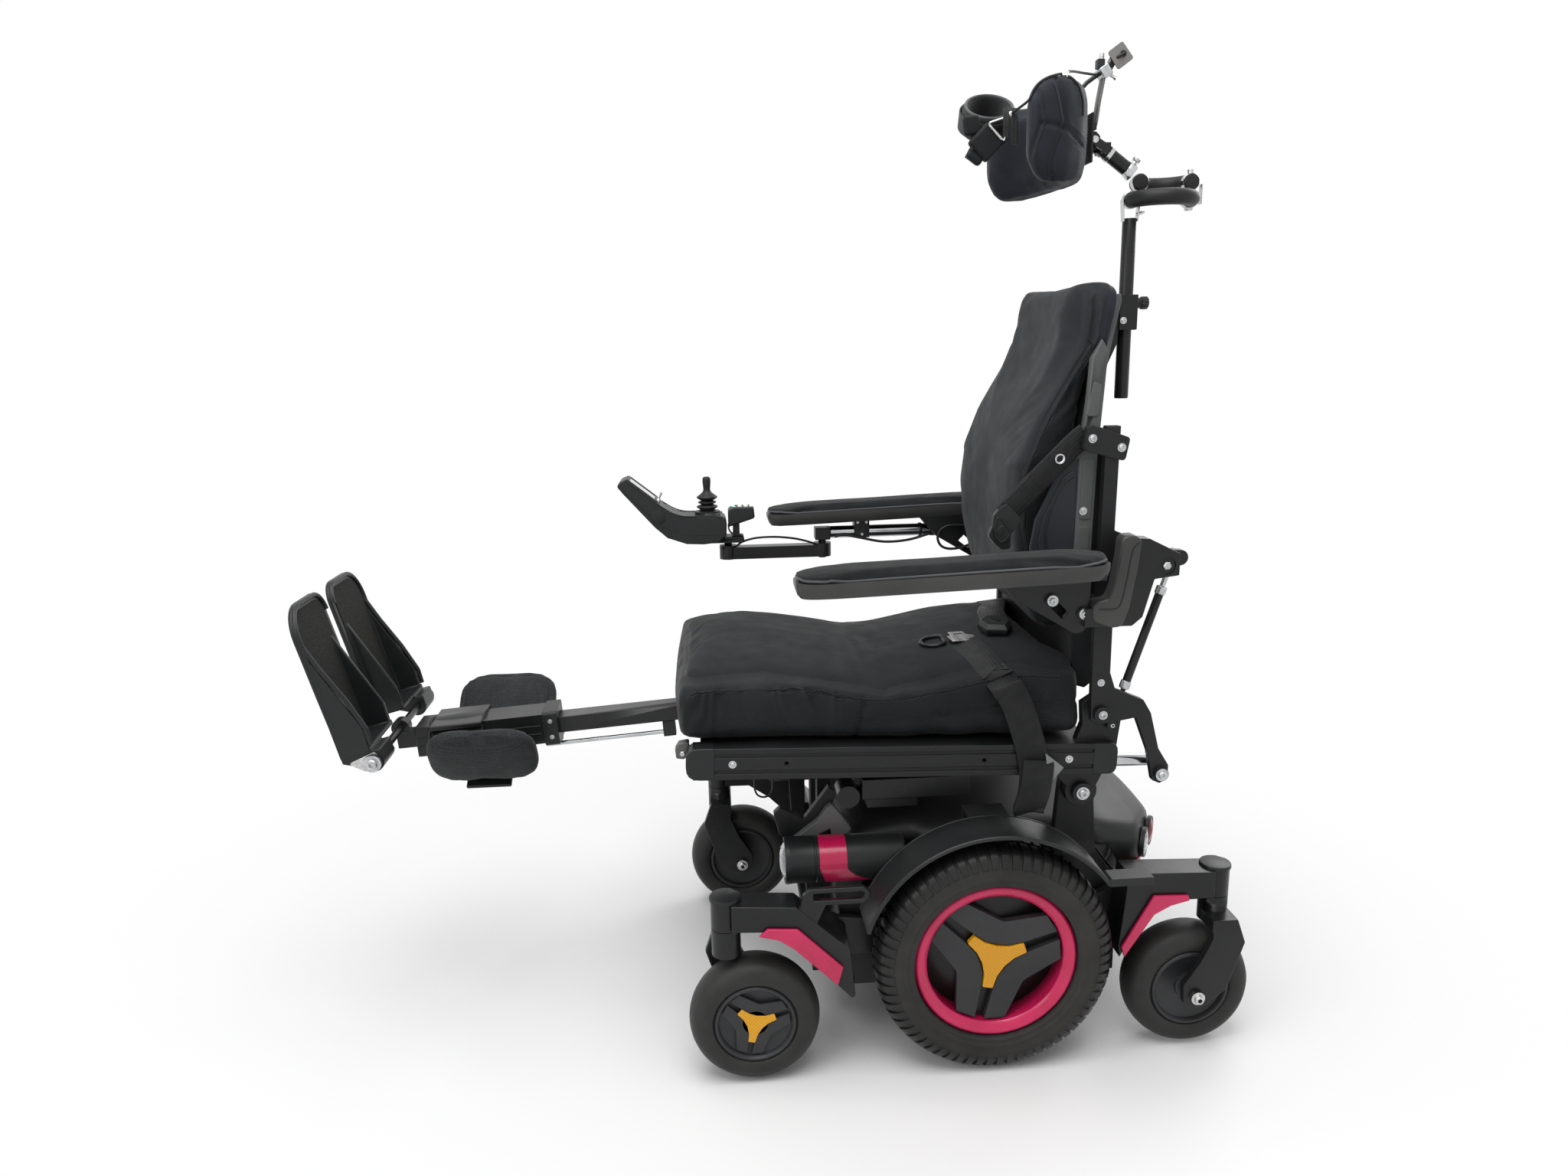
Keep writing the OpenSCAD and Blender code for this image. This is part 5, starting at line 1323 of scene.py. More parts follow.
# The back frame and shell
# Steel uprights and bent canes, powder coated, carry a moulded grey-green shell with raised side channels and
# dark hip panels. Zinc screws fix the canes, and the headrest clamp has a knurled knob.
SHELL_TAPER = [(0.99, 1.0), (1.03, 0.9), (1.11, 0.8)]
shell_grey = coated("shell_grey_green", (0.07, 0.076, 0.073), (0.1, 0.107, 0.103), (0.42, 0.58), 700, 0.0003)
hip_navy = coated("hip_panel_navy", (0.015, 0.0168, 0.0205), (0.0225, 0.025, 0.03), (0.44, 0.58), 700, 0.0003)
eased("back_frame", black_coat, 0.0014)
shell = eased("back_shell", shell_grey, 0.002)
for point in shell.data.vertices:
    point.co.y *= along_table(SHELL_TAPER, point.co.z)
HIP_REAR, HIP_INNER = at(0.1195, 0, 0).x, 0.185
CHANNEL_FACE, HIP_FACE = 0.204, 0.2
shell.data.materials.append(hip_navy)
for face in shell.data.polygons:
    face.material_index = int(face.center.x < HIP_REAR and abs(face.center.y) > HIP_INNER)
embossed = []
for side in (-1, 1):
    for outline in ([(0.1235, 0.712), (0.138, 0.712), (0.1405, 0.79), (0.1245, 0.79)],
                    [(0.125, 0.8), (0.1408, 0.8), (0.1438, 0.884), (0.1268, 0.884)],
                    [(0.1285, 0.942), (0.1458, 0.942), (0.1495, 0.984), (0.137, 0.99)]):
        raised = slab(rounded(outline, 0.004), side * (CHANNEL_FACE - 0.001), side * (CHANNEL_FACE + 0.0016))
        embossed.append((raised, shell_grey))
    hip = rounded([(0.12, 0.772), (0.12, 0.872), (0.1, 0.858), (0.073, 0.8), (0.068, 0.768), (0.079, 0.734),
                   (0.118, 0.72)], 0.012)
    embossed.append((slab(hip, side * (HIP_FACE - 0.001), side * (HIP_FACE + 0.0022)), hip_navy))
piece("shell_raised_panels", embossed, "back", ease=0.0012)
hip_seams = []
for side in (-1, 1):
    bow = curved([at(x, side * (HIP_FACE + 0.0024), z) for x, z in
                  ((0.116, 0.862), (0.098, 0.846), (0.082, 0.808), (0.078, 0.77), (0.088, 0.738))], 8)
    hip_seams.append((rod(bow, 0.0016, 8), moulded_black))
piece("hip_panel_seams", hip_seams, "back")
back_spots = bolt_pairs([(0.149, 0.252, 0.576, 0.0032), (0.242, 0.259, 0.437, 0.0056),
                         (0.1295, 0.2056, 0.812, 0.0034)])
fixings("back_screws", pan_screw, back_spots, zinc, "back")
fixings("headrest_clamp_bolts", hex_washer_bolt, bolt_pairs([(0.247, 0.018, 1.072, 0.0034)]), stainless, "back")
KNOB_LOBES, LOBE_DEPTH = 12, 0.0006


def knurl(inner):
    """The lobes of a knob's grip, which starts at a radius."""
    return lambda t, radius: LOBE_DEPTH * math.cos(KNOB_LOBES * t) if radius > inner else 0


clamp_knob = [(0, 0.278), (0.0062, 0.278), (0.0068, 0.279), (0.0088, 0.2795), (0.0092, 0.2805), (0.0092, 0.2885),
              (0.0082, 0.29), (0, 0.2905)]
clamp_knob = turned(clamp_knob, at(0, 0, 1.098), (1, 0, 0), 84, knurl(0.0087))
piece("headrest_clamp_knob", [(clamp_knob, moulded_black)], "back")

# The back cushion
# Contoured foam with deep sides under a zipped cover: smooth charcoal stretch cloth in front, darker nylon on
# the sides with drawn creases, and a navy mesh panel behind the shoulder. Welted seams join them.
BACK_FRONT = [(0.626, 0.072), (0.7, 0.042), (0.79, 0.026), (0.866, 0.027), (0.93, 0.053), (0.986, 0.086),
              (1.05, 0.11), (1.128, 0.116)]
BACK_REAR = [(0.626, 0.138), (0.76, 0.128), (0.893, 0.134), (0.96, 0.142), (1.022, 0.158), (1.095, 0.18),
             (1.128, 0.182)]
BACK_HALF = [(0.626, 0.168), (0.79, 0.19), (0.9, 0.186), (1.05, 0.168), (1.128, 0.16)]
BACK_SEAM_IN = 0.022
PATCH_FRONT, PATCH_FOOT = 0.137, 1.0
charcoal_stretch = woven("charcoal_stretch_cloth", (0.0125, 0.015, 0.0172), (0.0185, 0.0212, 0.024), 0.001, 0.00012,
                         0.07, (0.6, 0.76), 5)
navy_cloth = woven("navy_neoprene", (0.012, 0.0135, 0.019), (0.019, 0.021, 0.029), 0.0013, 0.0002, 0.14, (0.6, 0.78))


def back_seam(z):
    """Place of the seam between the front and the side of the cushion."""
    return table_of(BACK_FRONT, z) + BACK_SEAM_IN


def back_sewn(points, normals):
    """Draws the back cover in along its seams and lays diagonal creases in its sides."""
    x, y, z = points.T
    side = ramp(np.abs(y), 0.12, 0.155)
    dip = 0.0032 * ridge(x - back_seam(z), 0.004) * side
    behind = ramp(x - back_seam(z), 0.004, 0.016) * side
    crease = ridge(z - 0.985, 0.04) * behind
    run = (x - 0.5 * (z - 0.98)) + 0.012 * np.sin(z * 70)
    dip += crease * 0.002 * (1 + np.sin(2 * math.pi * run / 0.026))
    low_crease = ridge(z - 0.85, 0.06) * behind
    dip += low_crease * 0.0011 * (1 + np.sin(2 * math.pi * (0.5 * x + z) / 0.047))
    patch = ridge(x - PATCH_FRONT - 0.2 * (z - PATCH_FOOT), 0.0034) * ramp(z, PATCH_FOOT, PATCH_FOOT + 0.01)
    patch += ridge(z - PATCH_FOOT, 0.0034) * ramp(x, PATCH_FRONT, PATCH_FRONT + 0.008)
    dip += 0.002 * patch * side
    front = ramp(-normals[:, 0], 0.5, 0.85)
    dip += front * 0.001 * np.sin(29 * z + 13 * y) * np.sin(21 * y + 5 * z)
    drawn = points - normals * dip[:, None]
    wing = ramp(x, 0.06, 0.155) * ramp(z, 0.96, 1.05)
    crown = ramp(-x, -0.075, -0.045) * ramp(z, 1.03, 1.1)
    drawn[:, 1] *= 1 + 0.09 * wing
    drawn[:, 0] += 0.015 * wing * ramp(np.abs(y), 0.1, 0.15) - 0.006 * crown
    drawn[:, 2] += 0.006 * crown
    return drawn


def back_finish(middles):
    """Charcoal stretch in front of the seam, nylon behind it, navy on the shoulder panel."""
    x, y, z = middles.T
    nylon = (x > back_seam(z)) & (np.abs(y) > table_of(BACK_HALF, z) * 0.55) | (x > back_seam(z) + 0.03)
    navy = (x > PATCH_FRONT + 0.2 * (z - PATCH_FOOT)) & (z > PATCH_FOOT) & (z < 1.112) & (np.abs(y) > 0.12)
    return np.where(navy, 2, np.where(nylon, 1, 0))


def back_held(points):
    """The cover is held where it lies on the shell, and most of the way along the side seams."""
    x, y, z = points.T
    rear = ramp(x - table_of(BACK_REAR, z) + 0.008, 0, 0.006)
    return np.clip(rear + 0.7 * ridge(x - back_seam(z), 0.007) * ramp(np.abs(y), 0.12, 0.15), 0, 1)


back_pad = stuffed("back_cushion_cover", "back_cushion", [charcoal_stretch, black_nylon, navy_cloth], back_held,
                   back_sewn, voxel=0.0065, shrink=0.0045, cap=0.008, finish_of=back_finish)
back_skin = skin_of(back_pad)
welts, back_rows = [], []
for side in (-1, 1):
    heights = np.linspace(0.7, 1.105, 90)
    line = [at(x, side * 0.195, z) for x, z in zip(back_seam(heights), heights)]
    welts.append((rod(laid_on(back_skin, line, 0.0001), 0.0011, 8), black_nylon))
    back_rows.append(laid_on(back_skin, [spot + Vector((0.0055, 0, 0)) for spot in line], 0.0002))
    heights = np.linspace(PATCH_FOOT, 1.11, 40)
    panel = [at(0.19, side * 0.175, PATCH_FOOT), at(0.165, side * 0.178, PATCH_FOOT)] + [
        at(PATCH_FRONT + 0.2 * (z - PATCH_FOOT), side * 0.19, z) for z in heights]
    welts.append((rod(laid_on(back_skin, panel, 0.0001), 0.0009, 8), black_nylon))
piece("back_seam_welts", welts, "back")
stitched("back_seam_stitches", back_rows, thread_grey, "back")

# The back's lower flap
# A padded nylon flap sewn to the foot of the back cover, which closes the gap behind the seat. It is hemmed
# all round.
FLAP_HALF = 0.186
HEM = 0.008
FLAP_FRONT = [(0.129, 0.7), (0.127, 0.66), (0.1268, 0.62), (0.129, 0.58), (0.134, 0.552)]
FLAP_REAR = [(0.15, 0.547), (0.16, 0.555), (0.1605, 0.59), (0.159, 0.65), (0.158, 0.7)]
flap = slab(rounded(FLAP_FRONT + FLAP_REAR, 0.0035), -FLAP_HALF, FLAP_HALF)
piece("back_lower_flap", [(flap, black_nylon)], "back", ease=0.0032)
hems = [[at(x - 0.0003, y, z) for x, z in FLAP_FRONT] for y in (-FLAP_HALF + HEM, FLAP_HALF - HEM)]
hems.append([at(0.1312, y, 0.566) for y in np.linspace(-FLAP_HALF + HEM, FLAP_HALF - HEM, 30)])
stitched("back_flap_stitches", hems, thread_grey, "back")

# The shell's rear panels
# Two raised beads pressed into the back of the shell stiffen it. Each follows the outline of one flat field.
REAR_FIELDS = ([(-0.15, 0.8), (0.15, 0.8), (0.15, 0.9), (-0.15, 0.9)],
               [(-0.145, 0.945), (0.145, 0.945), (0.112, 1.062), (-0.112, 1.062)])
shell_skin = skin_of(shell)
beads = []
for field in REAR_FIELDS:
    bend = rounded(field, 0.022, 9)
    line = curved([at(0.3, y, z) for y, z in bend + bend[:1]], 3)
    beads.append((rod(laid_on(shell_skin, line, 0.0002), 0.0021, 8), shell_grey))
piece("shell_rear_beads", beads, "back")

# The back tracks
# A black extrusion behind each edge of the shell, which the chest belt's plates and the shell's screws grip.
track = rounded([(0.13, 0.69), (0.16, 0.69), (0.16, 0.926), (0.13, 0.926)], 0.002)
piece("back_tracks", both(track, 0.1915, 0.1985, satin_black), "back", ease=0.001)

# The chest belt
# Steel plates bolted to the uprights hold black webbing. The left strap has a bright eyelet and ends in the
# female half of a side-release buckle, moulded in black plastic; the right one is a short stub.
PLATE = rounded([(0.12, 0.898), (0.126, 0.934), (0.184, 0.914), (0.178, 0.882)], 0.006)
PLATE_LIP = rounded([(0.119, 0.899), (0.1245, 0.931), (0.137, 0.927), (0.1315, 0.895)], 0.003)
PLATE_FACE = 0.2268
STRAP_Y = 0.2093
chest = []
for side in (-1, 1):
    chest.append((slab(PLATE, side * 0.2242, side * PLATE_FACE), black_coat))
    chest.append((slab(PLATE_LIP, side * 0.2118, side * 0.2244), black_coat))
piece("chest_belt_plates", chest, "back", ["chest_belt"], ease=0.0008)
chest_spots = bolt_pairs([(0.131, PLATE_FACE, 0.914, 0.004), (0.172, PLATE_FACE, 0.901, 0.004)])
fixings("chest_belt_bolts", hex_washer_bolt, chest_spots, zinc, "back")
left_strap = [at(x, -STRAP_Y - lift, z) for x, z, lift in
              ((0.128, 0.919, 0.0006), (0.112, 0.906, 0.0004), (0.09, 0.884, 0), (0.066, 0.86, 0),
               (0.044, 0.838, 0.0004), (0.026, 0.82, 0.001), (0.016, 0.81, 0.002))]
right_strap = [at(x, STRAP_Y, z) for x, z in ((0.128, 0.919), (0.116, 0.908), (0.104, 0.895), (0.094, 0.883))]
fold = [at(x, -STRAP_Y - lift, z) for x, z, lift in
        ((0.024, 0.818, 0.0034), (0.04, 0.834, 0.0032), (0.058, 0.852, 0.0028))]
across_strap = Vector((0.7, 0, -0.71))
chest_bands = ((left_strap, 0.033, 0.0022), (right_strap, 0.033, 0.0022), (fold, 0.031, 0.002))
chest_bands = [(strip(curved(line, 4), width, thick, wide=across_strap), webbing)
               for line, width, thick in chest_bands]
piece("chest_belt_webbing", chest_bands, "back", sharp=60)
eyelet = [(0.0042, -0.0008), (0.0042, 0.0014), (0.0052, 0.0021), (0.007, 0.0018), (0.0074, 0.0008), (0.0074, -0.0008)]
piece("chest_belt_eyelet", [(turned(eyelet, at(0.092, -STRAP_Y - 0.0008, 0.886), (0, -1, 0), 32), chrome)], "back")
BUCKLE_OUTER = [(0.0368, 0.7974), (0.025, 0.784), (0.0255, 0.764), (0.0132, 0.7626), (0.0024, 0.7716),
                (-0.0065, 0.7834), (-0.0011, 0.7957), (0.0009, 0.8118), (0.0107, 0.8229), (0.0184, 0.8277),
                (0.0392, 0.8052)]
BUCKLE_INNER = [(0.0052, 0.8121), (-0.0001, 0.7957), (0.0037, 0.7803), (0.0096, 0.7735), (0.0181, 0.7779),
                (0.0245, 0.7891)]
buckle_inner = rounded(BUCKLE_INNER, 0.008, 8)
buckle_press = [(0.0098 + 0.0052 * math.cos(a) + 0.002 * math.sin(a), 0.7905 + 0.0072 * math.sin(a))
                for a in angles(24)]
buckle_parts = [(slab(rounded(BUCKLE_OUTER, 0.005), -0.2068, -0.216), moulded_black),
                (slab(buckle_inner, -0.2155, -0.2188), moulded_black),
                (slab(buckle_press, -0.218, -0.2198), satin_black)]
piece("chest_belt_buckle", buckle_parts, "back", ease=0.0012)
rim = [at(x, -0.2192, z) for x, z in buckle_inner]
piece("chest_belt_buckle_rim", [(rod(rim + [rim[0]], 0.0011, 8), moulded_black)], "back")

# The armrests
# Each is a bent alloy bracket and slotted hinge plate with a channel under the pad, black, with zinc bolts.
# A crank and a levelling link, with a chrome threaded rod in a black sleeve, keep it level.
ARM_MID = 0.2945
ARM_PIVOT = Vector((0.132, 0, 0.755))
ARM_TURN = tipped(-1.8)
LINK_LOW, LINK_TOP = Vector((0.182, 0, 0.535)), Vector((0.252, 0, 0.751))
THREADS = 26
BRACKET = [(0.157, 0.789), (0.176, 0.79), (0.186, 0.783), (0.182, 0.745), (0.173, 0.69), (0.164, 0.6635),
           (0.148, 0.6625), (0.122, 0.6725), (0.121, 0.7005), (0.1432, 0.7028), (0.1495, 0.7208), (0.156, 0.7648)]
LINK_Y = 0.232
LINK_EYE = [(0.0052, -0.006), (0.0088, -0.006), (0.01, -0.0048), (0.01, 0.0048), (0.0088, 0.006), (0.0052, 0.006)]
PAD_TRAY = ((0.208, 0.036, 0.7592), (0.208, 0.036, 0.753), (0.205, 0.034, 0.743), (0.2015, 0.0318, 0.7385))
BRACKET_LINE = [(0.18, 0.78), (0.1715, 0.7683), (0.166, 0.7322), (0.159, 0.698), (0.15, 0.69), (0.13, 0.69)]
bracket_grey = coated("bracket_grey_plastic", (0.042, 0.042, 0.041), (0.06, 0.06, 0.058), (0.28, 0.4), 1300, 0.0002)


def on_arm(x, y, z):
    """A point given along a level armrest, put on the slope that the armrest has."""
    return at(*(ARM_TURN @ (Vector((x, y, z)) - ARM_PIVOT) + ARM_PIVOT))


felt = woven("charcoal_felt", (0.0105, 0.0112, 0.012), (0.017, 0.018, 0.019), 0.0007, 0.00025, 0.14, (0.75, 0.9), 22)
relief(felt, grain(felt, "Noise", 700, Detail=4), 0.0005, 0.5)
# The piping's light grey is a painted highlight, standing for the light caught along the arm pads' edges and the
# headband's upper edge.
piping_painted_highlight = woven("painted_highlight_piping_cloth", (0.075, 0.077, 0.08), (0.11, 0.112, 0.115), 0.0008, 0.0001, 0.1, (0.6, 0.75))


def pad_smooth(points, normals):
    """Leaves a small dish along the pad's middle where a forearm rests."""
    x, y, z = points.T
    dish = 0.0012 * ramp(normals[:, 2], 0.7, 0.95) * ridge(np.abs(y) - ARM_MID, 0.02) * ramp(-x, 0, 0.1)
    return points - normals * dish[:, None]


def pad_held(points):
    """The pad is held where it lies on its tray."""
    return ramp(0.7585 + 0.0314 * (points[:, 0] - 0.132) - points[:, 2], -0.002, 0.002)


def pad_round(side, long, wide, z):
    """A blunt oval round the pad at one height."""
    oval = []
    for a in angles(140):
        c, s = math.cos(a), math.sin(a)
        x, y = long * math.copysign(abs(c) ** 0.25, c), wide * math.copysign(abs(s) ** 0.45, s)
        oval.append(on_arm(-0.0755 + x, side * ARM_MID + y, z))
    return oval


for side, word in SIDES:
    body = "armrest_" + word
    eased("arm_frame_" + word, satin_black, 0.0016)
    eased("arm_crank_" + word, satin_black, 0.0012)
    pad = stuffed("arm_pad_cover_" + word, "arm_pad_" + word, [felt], pad_held, pad_smooth, voxel=0.004, shrink=0.002,
                  cap=0.004, smooth=3)
    edge = laid_on(skin_of(pad), pad_round(side, 0.235, 0.045, 0.7592), -0.0002)
    tray = [pad_round(side, *ring) for ring in PAD_TRAY]
    piece("arm_pad_tray_" + word, [(loft(tray), bracket_grey)], body, sharp=50)
    # The piping round the pad is real; its grey is painted highlight.
    piece("arm_pad_piping_" + word, [(rod(edge + [edge[0]], 0.0019, 8), piping_painted_highlight)], body)
    bolts = [(at(x, side * 0.275, z), (0, side, 0), 0.0046) for x, z in ((0.113, 0.682), (0.068, 0.702))]
    fixings("arm_hinge_bolts_" + word, pan_screw, bolts, zinc, body)
    crank_spot = [(at(0.222, side * 0.278, 0.746), (0, side, 0), 0.006)]
    fixings("arm_crank_bolt_" + word, hex_bolt, crank_spot, zinc, "arm_crank_" + word)
    bracket = slab(rounded(BRACKET, 0.012), side * 0.2557, side * 0.2836)
    piece("arm_bracket_cover_" + word, [(bracket, bracket_grey)], body, ease=0.0045)
    # A thin black rod along the bracket's inset line: painted shade along the step there.
    groove = curved([at(x, side * 0.2838, z) for x, z in BRACKET_LINE], 6)
    clips = [(rod(groove, 0.0009, 8), moulded_black)]
    for x in (0.01, 0.046):
        clip = rounded([(x, 0.7385), (x + 0.014, 0.739), (x + 0.012, 0.722), (x + 0.003, 0.722)], 0.002)
        clips.append((slab(clip, side * 0.27, side * 0.2745), moulded_black))
    piece("arm_bracket_trim_" + word, clips, body)
    low, top = (at(*end) + Vector((0, side * LINK_Y, 0)) for end in (LINK_LOW, LINK_TOP))
    way = (top - low).normalized()
    link = [(turned(LINK_EYE, spot, (0, 1, 0), 36), zinc) for spot in (low, top)]
    thread = [(0.004 if k % 2 else 0.0034, 0.0095 + 0.009 * k / THREADS) for k in range(THREADS * 2 + 1)]
    for base, toward in ((low, way), (top, -way)):
        link.append((turned([(0, 0.008)] + thread + [(0, 0.0285)], base, toward, 18), chrome))
    span = (top - low).length
    sleeve = [(0, 0.03), (0.005, 0.03), (0.006, 0.0315), (0.006, span - 0.0515), (0.005, span - 0.05),
              (0, span - 0.05)]
    link.append((turned(sleeve, low, way, 28), satin_black))
    for start in (0.026, span - 0.058):
        collar = [(0, start), (0.0066, start), (0.0075, start + 0.001), (0.0075, start + 0.011),
                  (0.0066, start + 0.012), (0, start + 0.012)]
        link.append((turned(collar, low, way, 28), zinc))
    link.append((rod([top - way * 0.052, top - way * 0.009], 0.0038, 16), chrome))
    piece("levelling_link_" + word, link, "arm_link_" + word, ["arm_link_" + word])

# The joystick
# A scoop-shaped plastic housing with a tilted glass display, a toggle, round pivot covers and a keypad box
# behind, on a flat swing bar. The stick has a domed knob over a rubber bellows, which follows it.
JOY_Y = 0.292
GIMBAL = (-0.391, 0.737)
SCOOP_TOP = [(-0.5345, 0.8176), (-0.48, 0.7742), (-0.468, 0.7655), (-0.454, 0.7568), (-0.438, 0.751),
             (-0.422, 0.7492), (-0.39, 0.7492), (-0.364, 0.7462)]
SCOOP_LOW = [(-0.5385, 0.799), (-0.484, 0.744), (-0.464, 0.729), (-0.432, 0.719), (-0.4, 0.716), (-0.36, 0.718)]
eased("joystick_housing", moulded_black, 0.0032)
eased("joystick_arm", satin_black, 0.0016)
dressed("joystick_gimbal", zinc)
joints = []
for side in (-1, 1):
    for line, radius in ((SCOOP_TOP, 0.0011), (SCOOP_LOW, 0.0007)):
        joints.append((rod(curved([at(x, JOY_Y + side * 0.0329, z) for x, z in line], 6), radius, 8), satin_black))
    cover = [(0, 0.0022), (0.01, 0.002), (0.0125, 0.0014), (0.013, -0.002), (0, -0.002)]
    joints.append((turned(cover, at(-0.479, JOY_Y + side * 0.033, 0.75), (0, side, 0), 40), moulded_black))
piece("joystick_housing_seams", joints, "joystick")

screen_glass = hazed("display_glass", {"Coat Weight": 1.0, "Coat Roughness": 0.03, "Specular IOR Level": 0.6}, 24,
                     (0.16, 0.17, 0.17), (0.27, 0.28, 0.275), (0.1, 0.2), Detail=2)
DISPLAY_LOW, DISPLAY_TOP = Vector((-0.4815, 0, 0.7756)), Vector((-0.533, 0, 0.8168))
display_run = (DISPLAY_TOP - DISPLAY_LOW).normalized()
display_turn = Matrix((display_run, Vector((0, 1, 0)), display_run.cross(Vector((0, 1, 0))))).transposed()
display_out = -(display_turn @ UP)
display_mid = at(*((DISPLAY_LOW + DISPLAY_TOP) / 2)) + Vector((0, JOY_Y, 0))
display_long = (DISPLAY_TOP - DISPLAY_LOW).length
bezel = []
for sign in (-1, 1):
    edge = display_mid + Vector((0, sign * 0.0272, 0)) + display_out * 0.0012
    bezel.append((block(edge, (display_long * 0.97, 0.0065, 0.0036), display_turn), moulded_black))
    edge = display_mid + display_run * sign * display_long * 0.455 + display_out * 0.0012
    bezel.append((block(edge, (0.006, 0.05, 0.0036), display_turn), moulded_black))
piece("display_bezel", bezel, "joystick", ease=0.001)
glass = block(display_mid + display_out * 0.0006, (display_long * 0.86, 0.049, 0.0024), display_turn)
piece("display_glass", [(glass, screen_glass)], "joystick", ease=0.0005)
toggle_foot = at(-0.479, JOY_Y - 0.012, 0.7745)
toggle_nut = [(0, 0.006), (0.0035, 0.006), (0.0048, 0.004), (0.005, 0), (0, 0)]
toggle_path = [toggle_foot + Vector((x, 0, z)) for x, z in
               ((0.0015, 0.004), (0.0052, 0.013), (0.0068, 0.0165), (0.0072, 0.0172))]
toggle = [(turned(toggle_nut, toggle_foot, (0.35, 0, 0.94), 24), zinc),
          (rod(toggle_path, [0.0013, 0.0017, 0.0019, 0.0008], 12), chrome)]
piece("display_toggle", toggle, "joystick")

boot_rubber = rubber("bellows_rubber", (0.011, 0.0112, 0.0115), (0.019, 0.0192, 0.0195), (0.4, 0.55))
stick_foot = at(GIMBAL[0], JOY_Y, 0)
low_fold = [(0, 0.748), (0.0195, 0.7485), (0.0198, 0.753), (0.013, 0.7555), (0.0142, 0.758), (0.0186, 0.7606),
            (0.0192, 0.762), (0.0184, 0.7634), (0.0128, 0.7652), (0.0105, 0.7668), (0.009, 0.7668), (0.0085, 0.756),
            (0, 0.756)]
high_fold = [(0.0088, 0.766), (0.011, 0.7668), (0.0158, 0.7688), (0.0166, 0.77), (0.0158, 0.7713), (0.0112, 0.773),
             (0.0098, 0.7745), (0.0088, 0.7745)]
skirt = [(0.005, 0.7722), (0.011, 0.7736), (0.0172, 0.7768), (0.0188, 0.779), (0.0186, 0.7802), (0.015, 0.7826),
         (0.0105, 0.7862), (0.0076, 0.789), (0.0064, 0.7925), (0.0063, 0.795), (0.0068, 0.8), (0.0073, 0.806),
         (0.0073, 0.811), (0.0066, 0.8145), (0.0045, 0.816), (0, 0.8164), (0, 0.7722)]
piece("bellows_low_fold", [(turned(low_fold, stick_foot, UP, 56), boot_rubber)], "joystick",
      sharp=60)
high_bellows = [(turned(high_fold, stick_foot, UP, 56), boot_rubber)]
piece("bellows_high_fold", high_bellows, "joystick_gimbal", sharp=60)
stem = [(0, 0.73), (0.006, 0.7315), (0.007, 0.736), (0.006, 0.742), (0.0045, 0.745), (0.0045, 0.774), (0, 0.774)]
cross_pin = [at(GIMBAL[0] + reach, JOY_Y, GIMBAL[1]) for reach in (-0.0125, 0.0125)]
stick = [(turned(skirt, stick_foot, UP, 56), boot_rubber), (turned(stem, stick_foot, UP, 32), zinc),
         (rod(cross_pin, 0.002, 16), zinc)]
piece("stick_knob_and_skirt", stick, "joystick_stick", ["joystick_stick"], sharp=60)

key_white = hazed("keypad_key_white", {"Specular IOR Level": 0.4}, 150, (0.66, 0.69, 0.66), (0.82, 0.84, 0.81),
                  (0.34, 0.5), Detail=3)
key_lit = finish("keypad_lit_green", {"Emission Color": (0.1, 0.75, 0.45, 1), "Emission Strength": 0.55})
tint(key_lit, grain(key_lit, "Noise", 200), (0.45, 0.8, 0.62), (0.72, 0.9, 0.8))
gloss(key_lit, grain(key_lit, "Noise", 90), 0.3, 0.45)
KEY_ROWS = ((-0.333, (0.2705, 0.2805, 0.2905)), (-0.312, (0.2705, 0.2805, 0.2905)), (-0.3222, (0.2705, 0.2805)))
keys = [(block(at(x, y, 0.7636), (0.0068, 0.0072, 0.0022)), key_white) for x, row in KEY_ROWS for y in row]
bow = [(0.0072 * math.cos(a), 0.0125 * math.sin(a)) for a in np.radians(np.linspace(100, 260, 13))]
bow += [(0.0028 * math.cos(a), 0.012 * math.sin(a)) for a in np.radians(np.linspace(260, 100, 13))]
keys.append((loft([[at(-0.3402 + a, 0.2815 + b, z) for a, b in bow] for z in (0.7622, 0.7644)]), key_lit))
piece("keypad_keys", keys, "joystick", ease=0.0008)
power_cap = [(0, 0.7644), (0.0034, 0.7643), (0.0045, 0.7638), (0.0049, 0.763), (0.0049, 0.7592), (0, 0.7592)]
power_key = [(turned(power_cap, at(-0.322, 0.291, 0), UP, 36), key_white)]
piece("power_key_cap", power_key, "power_button", ["power_button"])
fixings("swing_bar_bolt", hex_bolt, [(at(-0.182, JOY_Y, 0.69), (0, 0, 1), 0.0062)], zinc, "joystick_arm")

# The joystick's tube
# A chrome tube in two black clamps under the right armrest, with bright bolts, and a cable tie round it.
tube_line = at(0, JOY_Y, 0.708)
tube = [(0, -0.1675), (0.0108, -0.1675), (0.0113, -0.1668), (0.0113, 0.0588), (0.0105, 0.0597), (0, 0.0597)]
tie = [(0.011, -0.003), (0.0124, -0.003), (0.0128, -0.002), (0.0128, 0.001), (0.0124, 0.002), (0.011, 0.002)]
tube_parts = [(turned(tube, tube_line, (1, 0, 0), 48), chrome),
              (turned(tie, tube_line, (1, 0, 0), 32), moulded_black)]
piece("joystick_tube", tube_parts, "armrest_right")
tube_spots = ((-0.118, 0.727), (-0.102, 0.727), (-0.11, 0.705), (0.022, 0.727), (0.038, 0.727))
tube_spots = [(at(x, JOY_Y - 0.014, z), (0, -1, 0), 0.0033) for x, z in tube_spots]
fixings("joystick_tube_bolts", hex_bolt, tube_spots, zinc, "armrest_right")

